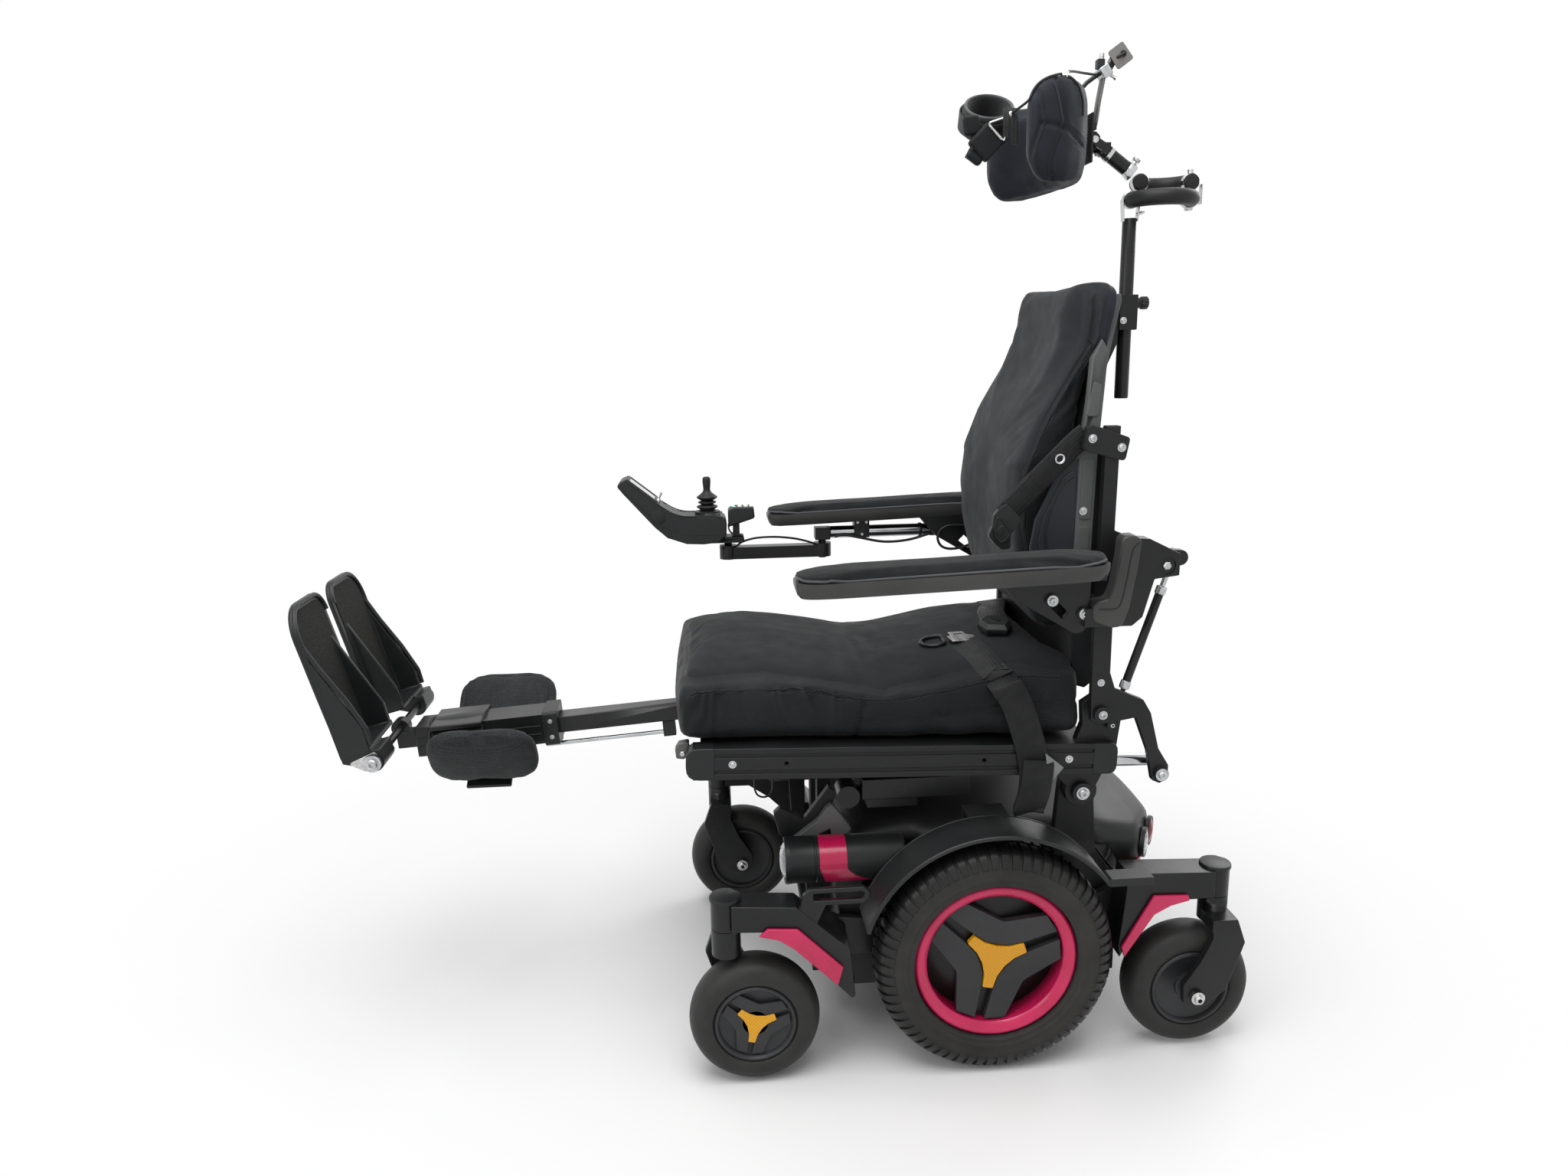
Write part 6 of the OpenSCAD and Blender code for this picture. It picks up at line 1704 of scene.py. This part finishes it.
# The leads
# Thin sheathed leads: two hang in a bend under the keypad, one arches along the swing bar, one follows the
# joystick's tube, one loops at the right armrest's hinge, and one hangs under the front of the seat.
sheath = coated("cable_sheath", (0.01, 0.0102, 0.0105), (0.017, 0.0172, 0.0175), (0.36, 0.5), 900, 0.0001)


def lead(name, route, diameter, body, count=28):
    """A lead or cord along a smooth route from one fixing to another."""
    fine = curved(route, 24)
    runs = np.concatenate([[0], np.cumsum([(b - a).length for a, b in zip(fine, fine[1:])])])
    rows = np.array([tuple(p) for p in fine])
    even = np.linspace(0, runs[-1], count)
    path = [Vector([np.interp(run, runs, rows[:, k]) for k in range(3)]) for run in even]
    data = bpy.data.curves.new(name, "CURVE")
    data.dimensions = "3D"
    data.bevel_depth, data.bevel_resolution, data.use_fill_caps = diameter / 2, 3, True
    spline = data.splines.new("NURBS")
    spline.points.add(count - 1)
    for point, spot in zip(spline.points, path):
        point.co = (*spot, 1)
    spline.use_endpoint_u, spline.order_u, spline.resolution_u = True, 4, 3
    data.materials.append(sheath)
    made = placed(added(name, data), body)


KEYPAD_BEND = 0.013
SEAT_LOOP = ((-0.3362, 0.4925), (-0.3362, 0.46), (-0.3362, 0.43), (-0.3362, 0.4057), (-0.3323, 0.3964),
             (-0.323, 0.3925), (-0.3137, 0.3964), (-0.3098, 0.4057), (-0.3098, 0.43), (-0.3098, 0.46),
             (-0.3098, 0.4925))
LEADS = [("swing_bar_lead", 0.004, "joystick_arm", "loose",
          [(-0.34, 0.283, 0.6885), (-0.33, 0.282, 0.6965), (-0.305, 0.2815, 0.703), (-0.27, 0.2815, 0.704),
           (-0.235, 0.282, 0.7), (-0.21, 0.283, 0.6935), (-0.196, 0.284, 0.6885)]),
         ("arm_tube_lead", 0.0048, "armrest_right", "hanging",
          [(-0.16, 0.28, 0.701), (-0.145, 0.277, 0.705), (-0.115, 0.2755, 0.699), (-0.07, 0.275, 0.69),
           (-0.025, 0.2755, 0.692), (0.015, 0.277, 0.702), (0.042, 0.28, 0.7085)]),
         ("arm_hinge_lead", 0.0048, "armrest_right", "hanging",
          [(0.087, 0.2612, 0.716), (0.068, 0.258, 0.7188), (0.047, 0.2562, 0.7192), (0.0319, 0.256, 0.7129),
           (0.0256, 0.256, 0.6978), (0.0319, 0.256, 0.6827), (0.047, 0.256, 0.6764), (0.069, 0.258, 0.6775),
           (0.088, 0.2612, 0.683)]),
         ("seat_motor_lead", 0.003, "seat", "hanging", [(x, -0.17, z) for x, z in SEAT_LOOP])]
for number, y in enumerate((0.2664, 0.2704)):
    bend = [at(-0.341 - KEYPAD_BEND * math.cos(a), y, 0.7265 - KEYPAD_BEND * math.sin(a))
            for a in np.radians((0, 25, 50, 72))]
    route = [at(-0.3538, y, 0.733)] + bend + [at(-0.3345, y + 0.003, 0.7118), at(-0.3285, y + 0.006, 0.7085)]
    lead("keypad_lead_%d" % (number + 1), route, 0.003, "joystick", count=22)
for name, diameter, body, lay, route in LEADS:
    lead(name, [at(*spot) for spot in route], diameter, body)

# The legrest
# A single alloy column under the knees: an upper tube with a bright push rod below it, and a sleeve with a
# collar, a curved cover and the foot pivot that slides along it. Black, with zinc fixings.
KNEE = Vector((-0.43, 0, 0.48))
LEG_TURN = tipped(-4)
FOOT_PIVOT = Vector((-0.885, 0, 0.468))
FOOT_TURN = tipped(-14.8)
LEG_COVER, LEG_COVER_LONG = (-0.834, -0.754), 0.08


def on_leg(x, y, z):
    """A point given along a level legrest, put on the slope that the legrest has."""
    return at(*(LEG_TURN @ (Vector((x, y, z)) - KNEE) + KNEE))


eased("leg_upper", satin_black, 0.002)
eased("leg_carriage", satin_black, 0.0024)
push_rod = [(rod([on_leg(-0.664, -0.004, 0.4455), on_leg(-0.47, -0.004, 0.4455)], 0.0034, 18), chrome),
            (block(on_leg(-0.466, -0.004, 0.453), (0.02, 0.02, 0.026), LEG_TURN), satin_black)]
piece("legrest_push_rod", push_rod, "leg_upper", ease=0.0012)
cover_arc = []
for x in np.linspace(*LEG_COVER, 18):
    bulge = 0.0025 * math.sin(math.pi * (x - LEG_COVER[0]) / LEG_COVER_LONG)
    cover_arc.append([on_leg(x, (0.0455 + bulge) * math.cos(a), 0.463 + (0.046 + bulge) * math.sin(a))
                      for a in np.radians(np.linspace(8, 172, 30))])
curved_cover = loft(cover_arc, ends=False, closed=False)
piece("legrest_curved_cover", [(curved_cover, fender_black)], "leg_carriage", wall=0.0026)
lips = [(rod(cover_arc[k], 0.0022, 8), fender_black) for k in (0, -1)]
piece("legrest_cover_lips", lips, "leg_carriage")
collar_frame = rounded([(0.0335 * a, 0.0275 * b) for a, b in SQUARE], 0.006)
collar_hole = rounded([(0.019 * a, 0.0134 * b) for a, b in SQUARE], 0.006)
collar_rings = [[on_leg(x, a, 0.48 + b) for a, b in ring] for x, ring in
                ((-0.66, collar_frame), (-0.637, collar_frame), (-0.637, collar_hole), (-0.66, collar_hole))]
piece("legrest_collar", [(loft(collar_rings, loop=True), moulded_black)], "leg_carriage",
      ease=0.0012)
knob_form = [(0, -0.011), (0.0072, -0.0105), (0.0088, -0.0085), (0.0088, -0.003), (0.006, -0.001), (0.006, 0.003),
             (0, 0.003)]
knob_form = turned(knob_form, on_leg(-0.6485, 0.021, 0.4525), UP, 40, knurl(0.007))
piece("legrest_collar_knob", [(knob_form, moulded_black)], "leg_carriage")
grooves = []
for side in (-1, 1):
    for z in (0.4735, 0.4865):
        grooves.append((rod([on_leg(-0.856, side * 0.0302, z), on_leg(-0.664, side * 0.0302, z)], 0.0012, 8),
                        black_coat))
piece("legrest_sleeve_ribs", grooves, "leg_carriage")
leg_spots = bolt_pairs([(-0.648, 0.0335, z, 0.0022) for z in (0.467, 0.493)], on_leg)
leg_spots += bolt_pairs([(FOOT_PIVOT.x, 0.158, FOOT_PIVOT.z, 0.0078)])
fixings("legrest_screws", pan_screw, leg_spots, zinc, "leg_carriage")

# The calf pads
# Foam pads in black spacer mesh, sewn with one seam near the lower edge, clipped to the column's brackets.
spacer_mesh = finish("black_spacer_mesh", {"Sheen Weight": 0.06, "Specular IOR Level": 0.2})
mesh_cells = grain(spacer_mesh, "Voronoi", 300, stretch=(1, 1.25, 1.25), Randomness=0.3, feature="F1")
tint(spacer_mesh, mesh_cells, (0.0035, 0.004, 0.0045), (0.023, 0.0245, 0.026), (0.18, 0.55))
gloss(spacer_mesh, grain(spacer_mesh, "Noise", 40), 0.6, 0.75)
relief(spacer_mesh, mesh_cells, 0.0011, 0.9)
CALF = {-1: (0.456, 58), 1: (0.464, 44)}


def calf_local(points, side):
    """Points in a calf pad's own directions: along the leg, across the pad, out of its face."""
    height, tilt = CALF[side]
    a = math.radians(tilt)
    y, z = side * points[:, 1] - 0.11, points[:, 2] - height
    return points[:, 0] + 0.738, y * math.cos(a) + z * math.sin(a), -y * math.sin(a) + z * math.cos(a)


def calf_sewn(points, normals):
    """Draws in the seam that runs round each pad near its lower edge."""
    dip = np.zeros(len(points))
    for side in (-1, 1):
        along, wide, out = calf_local(points, side)
        mine = points[:, 1] * side > 0
        border = np.minimum(0.083 - np.abs(along), 0.058 - np.abs(wide))
        dip += mine * 0.002 * ridge(border - 0.012, 0.0032) * ramp(out, 0.0, 0.008)
        dip += mine * 0.0018 * ridge(wide + 0.036, 0.0034) * ramp(out, 0.0, 0.008) * ramp(border, 0.008, 0.016)
    return points - normals * dip[:, None]


stuffed("calf_pad_covers", "calf_pads", [spacer_mesh], lambda points: np.zeros(len(points)) + 0.05, calf_sewn,
        voxel=0.0045, shrink=0.003, cap=0.006, smooth=4)

# The footplates
# Moulded shoe-shaped plates with a raised lip round a gritty insert, an outer wall that falls to the heel,
# and a bright stop tab beside the pivot bolt.
grit = finish("grit_insert", {"Specular IOR Level": 0.2})
grit_specks = grain(grit, "Voronoi", 900, feature="F1")
tint(grit, grit_specks, (0.032, 0.0315, 0.029), (0.0085, 0.0085, 0.008), (0.15, 0.6))
gloss(grit, grain(grit, "Noise", 300), 0.7, 0.9)
relief(grit, grit_specks, 0.0008, 0.8)
FOOT_FACE = -0.036


def on_foot(side, x, y, z):
    """A point given on an upright footplate, put on the lean that it has."""
    spot = FOOT_TURN @ Vector((x, 0, z)) + FOOT_PIVOT
    return at(spot.x, side * y, spot.z)


def bow_of(centre, radius, start, end, steps):
    """Points along an arc."""
    return [(centre[0] + radius * math.cos(a), centre[1] + radius * math.sin(a))
            for a in np.radians(np.linspace(start, end, steps))]


def shoe(inner, low, heel, toe, wide, tip):
    """The outline of a shoe sole: its heel edge, then the arcs of its toe."""
    return [(inner, low), *heel] + bow_of(toe, wide, 0, 90, 12) + bow_of(tip[0], tip[1], 90, 180, 8)


sole = shoe(0.0175, 0.022, [(0.1445, 0.022), (0.1485, 0.118)], (0.1035, 0.1995), 0.045, ((0.0465, 0.2155), 0.029))
insert = shoe(0.0245, 0.03, [(0.1385, 0.03), (0.1415, 0.12)], (0.103, 0.199), 0.038, ((0.047, 0.215), 0.022))
for side, word in SIDES:
    body = "footplate_" + word
    eased("footplate_" + word, moulded_black, 0.0024)
    rim = [on_foot(side, FOOT_FACE + 0.001, y, z) for y, z in sole]
    piece("footplate_lip_" + word, [(rod(rim[1:], 0.0036, 10), moulded_black)], body)
    face = [[on_foot(side, x, y, z) for y, z in insert] for x in (FOOT_FACE - 0.001, FOOT_FACE + 0.0012)]
    piece("footplate_insert_" + word, [(loft(face), grit)], body, ease=0.0006)
    wall = rounded([(-0.043, 0.017), (0.004, 0.017), (0.006, 0.05), (-0.006, 0.098), (-0.024, 0.15), (-0.04, 0.206),
                    (-0.043, 0.206)], [0, 0.01, 0.02, 0.03, 0.03, 0.003, 0])
    edge = [on_foot(side, x, 0.1475, z) for x, z in wall[5:-2]]
    piece("footplate_wall_edge_" + word, [(rod(edge, 0.0036, 10), moulded_black)], body)
    tab = rounded([(-0.036, 0.008), (0.006, 0.0145), (0.012, 0.004), (0.002, -0.0125), (-0.016, -0.01)], 0.004)
    tab = loft([[on_foot(side, x, y, z) for x, z in tab] for y in (0.1502, 0.1518)])
    piece("footplate_tab_" + word, [(tab, stainless)], body, ease=0.0005)

# The headrest post and links
# A black steel post with bright straps on top, two rubber-dipped curved links on a stainless pin, and a black
# tube with a chrome clamp, a collar and a cross pin that carries the pad.
POST_X, LINK_X = 0.256, 0.346
LOW_Z, HIGH_Z = 1.247, 1.272
LINK_R = 0.0119


def bow_link(front, rear, z, side):
    """A half-round rubber tube that bows to one side, with flat rounded ends."""
    mid, reach = (front + rear) / 2, (rear - front) / 2
    turn = [at(mid - reach * math.cos(a), side * reach * math.sin(a), z) for a in np.linspace(0, math.pi, 29)]
    ends = [[at(x, -side * y, z) for y in (0.0082, 0.0078, 0.0066)] for x in (front, rear)]
    radii = [LINK_R - 0.0018, LINK_R - 0.0006, LINK_R] + [LINK_R] * 29 + [LINK_R, LINK_R - 0.0006, LINK_R - 0.0018]
    return rod(ends[0] + turn + ends[1][::-1], radii, 24)


def strap_ring(x, y, z):
    """A bright strap round a link's end."""
    band = [(LINK_R - 0.001, -0.005), (0.0123, -0.005), (0.0127, -0.0045), (0.0127, 0.0045), (0.0123, 0.005),
            (LINK_R - 0.001, 0.005)]
    return turned(band, at(x, y, z), (0, 1, 0), 48)


post = [(0, 0.955), (0.0098, 0.955), (0.0105, 0.957), (0.0105, 1.2195), (0.0097, 1.221), (0, 1.221)]
pin = [(0, 1.2315), (0.0056, 1.2315), (0.0062, 1.2325), (0.0062, 1.236), (0.0048, 1.2365), (0.0048, 1.2895),
       (0, 1.2895)]
post = [(turned(post, at(POST_X, 0, 0), UP, 40), satin_black), (turned(pin, at(LINK_X, 0, 0), UP, 28), stainless)]
piece("headrest_post_tube", post, "headrest_post", ["headrest_post"])
piece("lower_link", [(bow_link(POST_X, LINK_X, LOW_Z, -1), boot_rubber)], "headrest_post", sharp=50)
straps = [(strap_ring(POST_X, 0.0005, LOW_Z), chrome), (strap_ring(LINK_X, 0.0005, LOW_Z), chrome)]
for sign in (-1, 1):
    leg = [(POST_X + sign * 0.0138, LOW_Z + 0.001), (POST_X + sign * 0.012, LOW_Z + 0.001),
           (POST_X + sign * 0.0096, 1.2165), (POST_X + sign * 0.0114, 1.2165)]
    straps.append((slab(leg, -0.0055, 0.0055), chrome))
lock_pin = [at(POST_X + 0.009, -0.002, 1.2262), at(0.2725, -0.004, 1.229), at(0.2765, -0.005, 1.23)]
straps.append((rod(lock_pin, [0.0026, 0.0026, 0.002], 12), stainless))
end_plate = rounded([(0.3626, 1.24), (0.3642, 1.24), (0.3642, 1.269), (0.3626, 1.269)], 0.0005)
straps.append((slab(end_plate, -0.005, 0.005), chrome))
piece("lower_link_straps", straps, "headrest_post", ease=0.0004)
tube_low, tube_top = at(0.266, 0, 1.278), at(0.206, 0, 1.322)
tube_way = (tube_top - tube_low).normalized()
lug = rounded([(0.1905, 1.337), (0.1853, 1.3335), (0.185, 1.327), (0.1875, 1.3246), (0.212, 1.3095), (0.22, 1.318)],
              0.003)
arm_tube = [(0, 0.012), (0.01, 0.012), (0.0105, 0.013), (0.0105, 0.0735), (0.0098, 0.0744), (0, 0.0744)]
arm = [(turned(arm_tube, tube_low, tube_way, 40), satin_black),
       (block(at(0.21, 0, 1.319), (0.012, 0.036, 0.014)), satin_black),
       (rod([at(0.192, -0.019, 1.33), at(0.192, 0.019, 1.33)], 0.005, 20), stainless)]
arm += both(lug, 0.0112, 0.0178, satin_black)
piece("headrest_arm_tube", arm, "headrest_arm", ["headrest_arm"], ease=0.001)
piece("upper_link", [(bow_link(0.268, LINK_X, HIGH_Z, 1), boot_rubber)], "headrest_arm", sharp=50)
clamp_side = tube_low + tube_way * 0.0185
knob_way = (UP - tube_way * tube_way.z).normalized()
neck = [(0, 0.009), (0.0128, 0.012), (0.0126, 0.0145), (0.0112, 0.022), (0.0104, 0.0235), (0, 0.0235)]
knob = [(0, 0.0085), (0.003, 0.0085), (0.003, 0.015), (0.0054, 0.0155), (0.006, 0.0165), (0.006, 0.0205),
        (0.0052, 0.0213), (0, 0.0213)]
collar = [(0.0104, 0.0545), (0.0118, 0.0545), (0.0122, 0.0555), (0.0122, 0.0605), (0.0112, 0.0615), (0.0104, 0.0615)]
clamps = [(strap_ring(0.268, -0.0005, HIGH_Z), chrome), (strap_ring(LINK_X, -0.0005, HIGH_Z), chrome),
          (turned(neck, tube_low, tube_way, 40), chrome), (turned(knob, clamp_side, knob_way, 30), stainless),
          (turned(collar, tube_low, tube_way, 40), chrome)]
piece("headrest_arm_clamps", clamps, "headrest_arm")

# The headrest pad
# Moulded foam in navy neoprene, wrapped round the head. Each wing is sewn from panels with two upright curved
# seams and one across, and a plate behind it takes the mount.
HEAD_SEAMS = [
    [(0.0717, 1.3804), (0.0774, 1.3529), (0.0781, 1.3322), (0.0695, 1.3061), (0.0645, 1.2833), (0.07, 1.26)],
    [(0.1, 1.39), (0.1099, 1.3536), (0.1136, 1.331), (0.1014, 1.3031), (0.0956, 1.2766), (0.101, 1.256)],
    [(0.0793, 1.3329), (0.1118, 1.3284), (0.15, 1.311)]]
HEAD_MID = 1.332
HEAD_TOP = [(0.045, 0.7), (0.06, 0.78), (0.08, 0.9), (0.105, 1.0)]
HEAD_FOOT = [(0.045, 0.8), (0.06, 0.95), (0.085, 1.12), (0.12, 1.14), (0.16, 1.04)]


def off_line(x, z, line):
    """How far points of a side view are from a bent line."""
    best = np.full(len(x), 9.0)
    for (ax, az), (bx, bz) in zip(line, line[1:]):
        length = (bx - ax) ** 2 + (bz - az) ** 2
        t = np.clip(((x - ax) * (bx - ax) + (z - az) * (bz - az)) / length, 0, 1)
        best = np.minimum(best, np.hypot(x - ax - t * (bx - ax), z - az - t * (bz - az)))
    return best


def bent(line, per):
    """A side-view line made smooth."""
    return [(p.x, p.z) for p in curved([Vector((x, 0, z)) for x, z in line], per)]


def head_sewn(points, normals):
    """Rounds off the wings' front corners and draws in the seams on their outer faces."""
    points = points.copy()
    x, y, z = points.T
    high = z - HEAD_MID
    z[:] = HEAD_MID + high * np.where(high > 0, table_of(HEAD_TOP, x), table_of(HEAD_FOOT, x))
    outer = ramp(normals[:, 1] * np.sign(y), 0.15, 0.5) * ramp(np.abs(y), 0.06, 0.085)
    dip = np.zeros(len(points))
    for line in HEAD_SEAMS:
        dip += 0.003 * ridge(off_line(x, z, bent(line, 6)), 0.0032) * outer
    pull = ridge(off_line(x, z, bent(HEAD_SEAMS[2], 6)), 0.01) * outer * ramp(x, 0.118, 0.13)
    dip += pull * 0.001 * (1 + np.sin(2 * math.pi * (z + 0.4 * x) / 0.008))
    return points - normals * dip[:, None]


head_pad = stuffed("headrest_pad_cover", "headrest_pad", [navy_cloth], lambda points: ramp(points[:, 0], 0.16, 0.172),
                   head_sewn, voxel=0.005, shrink=0.003, cap=0.006, smooth=6)
head_skin = skin_of(head_pad)
head_welts = []
for side in (-1, 1):
    for line in HEAD_SEAMS:
        row = [at(x, side * 0.135, z) for x, z in bent(line, 8)]
        head_welts.append((rod(laid_on(head_skin, row, 0.0), 0.0009, 8), black_nylon))
piece("headrest_seam_welts", head_welts, "headrest")

# The headband
# A padded loop for the forehead, lined with foam and bound along its edges, with buckled pouches and a webbing
# strap in front, and a triangular ring on its left side for the cord.
BAND_CENTRE = at(0.036, 0, 1.362)
BAND_HALF = (0.034, 0.063)
BAND_TURN = tipped(-14, "Z") @ tipped(25, "X") @ tipped(6)
BAND_SECTION = [(-0.0045, -0.014), (-0.002, -0.0165), (0.002, -0.0165), (0.0045, -0.014), (0.0055, 0),
                (0.0045, 0.014), (0.002, 0.0165), (-0.002, 0.0165), (-0.0045, 0.014), (-0.0055, 0)]
band_cloth = woven("black_band_foam", (0.012, 0.0125, 0.013), (0.02, 0.0205, 0.021), 0.0012, 0.0003, 0.12,
                   (0.7, 0.85))


def on_band(angle, out=0.0, up=0.0):
    """A point on the headband's loop: its angle from the rear, and how far outwards and upwards."""
    a = math.radians(angle)
    spot = ((BAND_HALF[0] + out) * math.cos(a), (BAND_HALF[1] + out) * math.sin(a), up)
    return BAND_CENTRE + BAND_TURN @ Vector(spot)


def band_turn(angle):
    """The band's directions at an angle: along it, out of it, up."""
    along = (on_band(angle + 2) - on_band(angle - 2)).normalized()
    up = (on_band(angle, 0, 0.01) - on_band(angle)).normalized()
    return Matrix((along, up.cross(along), up)).transposed()


band_rings = [[on_band(angle, a, b) for a, b in BAND_SECTION] for angle in range(0, 360, 6)]
band_loop = loft(band_rings, loop=True)
band = piece("headband_padding", [(band_loop, band_cloth)], "headrest", ["headband"], rounds=1)
# The upper binding takes the light grey of the painted highlight, the lower one the black nylon.
binding = []
for level in (-0.0165, 0.0165):
    loop_path = [on_band(angle, 0, level) for angle in range(0, 361, 6)]
    binding.append((rod(loop_path, 0.0022, 8), piping_painted_highlight if level > 0 else black_nylon))
piece("headband_binding", binding, "headrest")
STRAP_SPAN = range(120, 301, 6)
front_strap = [on_band(angle, 0.0075, -0.002) for angle in STRAP_SPAN]
front_wide = [band_turn(angle).col[2] for angle in STRAP_SPAN]
loose_end = curved([on_band(258, 0.01, -0.012), on_band(252, 0.014, -0.026), on_band(246, 0.016, -0.04)], 5)
band_straps = [(strip(front_strap, 0.024, 0.0018, wide=front_wide), webbing),
               (strip(loose_end, 0.02, 0.0018, wide=band_turn(252).col[0]), webbing)]
piece("headband_strap", band_straps, "headrest", sharp=60)
POUCHES = (((0.0153, -0.076, 1.3162), 45, (0.038, 0.014, 0.04)),
           ((-0.0012, -0.074, 1.2965), 38, (0.024, 0.012, 0.013)),
           ((-0.0056, -0.07, 1.3396), -6, (0.023, 0.013, 0.027)),
           ((0.002, -0.068, 1.322), 12, (0.016, 0.012, 0.022)))
pouches = [(block(at(*spot), sizes, tipped(turn)), black_nylon) for spot, turn, sizes in POUCHES]
piece("headband_pouches", pouches, "headrest", ease=0.0045)
RING_CORNERS = [(0.014, 1.34), (0.04, 1.348), (0.039, 1.314)]
ring_bend = rounded(RING_CORNERS, 0.004, 6)
ring_path = [at(x, -0.0845, z) for x, z in ring_bend + ring_bend[:1]]
ring_parts = [(rod(ring_path, 0.0014, 10), stainless)]
for x, low in ((0.04, 1.322), (0.052, 1.312)):
    tab = curved([at(x, -0.08, 1.36), at(x, -0.0855, 1.348), at(x, -0.0862, low)], 5)
    ring_parts.append((strip(tab, 0.009, 0.0016, wide=(1, 0, 0)), webbing))
piece("headband_ring", ring_parts, "headrest")

# The head switch mount
# A grey alloy strip rises behind the pad from a bolted plate to a cluster of clamps with a light grey switch
# plate on an angled arm.
plate_grey = coated("light_grey_plate", (0.17, 0.166, 0.16), (0.22, 0.215, 0.208), (0.35, 0.5), 1200, 0.0001)
pad_plate = rounded([(0.1802, 1.296), (0.1834, 1.296), (0.1834, 1.364), (0.1802, 1.364)], 0.0006)
cheek = rounded([(0.183, 1.318), (0.188, 1.316), (0.2005, 1.319), (0.2025, 1.336), (0.196, 1.3425), (0.183, 1.3425)],
                0.003)
mount = [(slab(outline, near, far), black_coat) for outline, near, far in
         ((pad_plate, -0.034, 0.034), (cheek, -0.009, -0.0052), (cheek, 0.0052, 0.009))]
mount.append((block(at(0.188, 0, 1.349), (0.014, 0.026, 0.01)), black_coat))
piece("pad_plate_and_socket", mount, "headrest", ["head_switch_mount"], ease=0.001)
upright = ((0.194, 1.3475), (0.1965, 1.356), (0.1995, 1.38), (0.203, 1.402), (0.2062, 1.421))
upright = curved([at(x, 0, z) for x, z in upright], 5)
piece("switch_upright", [(strip(upright, 0.017, 0.0052, wide=(0, 1, 0)), strip_grey)], "headrest", sharp=60)
cluster = [(block(at(0.2065, 0, 1.424), (0.015, 0.024, 0.017), tipped(-34)), zinc),
           (block(at(0.199, -0.004, 1.4345), (0.011, 0.013, 0.013)), moulded_black),
           (block(at(0.2165, -0.0015, 1.4365), (0.01, 0.013, 0.034), tipped(28)), strip_grey)]
piece("switch_clamps", cluster, "headrest", ease=0.0014)
STEMS = (
    ([(0.201, -0.004, 1.44), (0.2016, -0.004, 1.449)], 0.0036, 16, stainless),
    ([(0.213, -0.006, 1.4205), (0.2195, -0.006, 1.4165), (0.2225, -0.006, 1.415)],
     [0.0022, 0.0022, 0.0034], 12, stainless),
    ([(0.1985, 0.001, 1.4215), (0.1905, 0.001, 1.4165), (0.182, 0.001, 1.4105), (0.1775, 0.0005, 1.4055)],
     0.0032, 12, satin_black))
stems = [(rod([at(*spot) for spot in line], radius, sides), material) for line, radius, sides, material in STEMS]
piece("switch_clamp_stems", stems, "headrest")
switch = rounded([(0.228, 1.464), (0.2462, 1.441), (0.224, 1.425), (0.2068, 1.4488)], 0.004)
piece("switch_plate", [(slab(switch, -0.0095, -0.0122), plate_grey)], "headrest", ease=0.0006)
switch_arm = curved([at(0.219, -0.0085, 1.4405), at(0.2245, -0.0138, 1.4435), at(0.231, -0.0146, 1.4472)], 4)
piece("switch_arm", [(rod(switch_arm, 0.0022, 12), satin_black)], "headrest")
switch_spots = ((0.23, -0.0122, 1.4468, 0.0028), (0.217, -0.008, 1.4425, 0.003), (0.2145, -0.008, 1.433, 0.0024))
switch_spots = [(at(x, y, z), (0, -1, 0), size) for x, y, z, size in switch_spots]
fixings("switch_screws", pan_screw, switch_spots, recess_shade_and_dark_screws, "headrest")

# The headband's cord
# A limp black cord from the band's ring, up over the pad and through a bright clamp on its top, to the clamp
# cluster behind. A short tail of the same cord hangs behind the pad.
cord_row = [(0.054, 1.366), (0.06, 1.375), (0.067, 1.3842), (0.077, 1.3928), (0.09, 1.3985), (0.102, 1.401)]
TAIL_SIDE = -0.11
tail_line = ((0.1277, 1.399), (0.1417, 1.388), (0.1511, 1.374), (0.157, 1.36))
cord_start = at(0.047, -0.0835, 1.352)
cord_route = [cord_start] + laid_on(head_skin, [at(x, -0.112, z) for x, z in cord_row], 0.0022)
cord_route += [at(0.132, -0.076, 1.4085), at(0.162, -0.042, 1.414), at(0.19, -0.01, 1.419), at(0.2, -0.004, 1.4205)]
lead("headband_cord", cord_route, 0.0036, "headrest", 34)
clip_spot = laid_on(head_skin, [at(0.114, -0.098, 1.404)], 0.0034)[0]
clip_turn = tipped(-35, "Z")
bead = turned([(0, -0.003), (0.0034, -0.002), (0.004, 0), (0.0034, 0.002), (0, 0.003)], cord_start, (0, 1, 0), 24)
cord_clamp = [(block(clip_spot, (0.014, 0.01, 0.009), clip_turn), chrome), (bead, chrome),
              (block(clip_spot - Vector((0, 0, 0.004)), (0.011, 0.014, 0.006), clip_turn), moulded_black)]
piece("cord_clamp", cord_clamp, "headrest", ease=0.0012)
tail_row = laid_on(head_skin, [at(x, TAIL_SIDE, z) for x, z in tail_line], 0.0024)
tail_route = [clip_spot + Vector((0.003, -0.003, -0.001))] + tail_row
tail_route += laid_on(head_skin, [at(0.1609, TAIL_SIDE, 1.3478)], 0.0021)
lead("headband_cord_tail", tail_route, 0.0036, "headrest", 20)
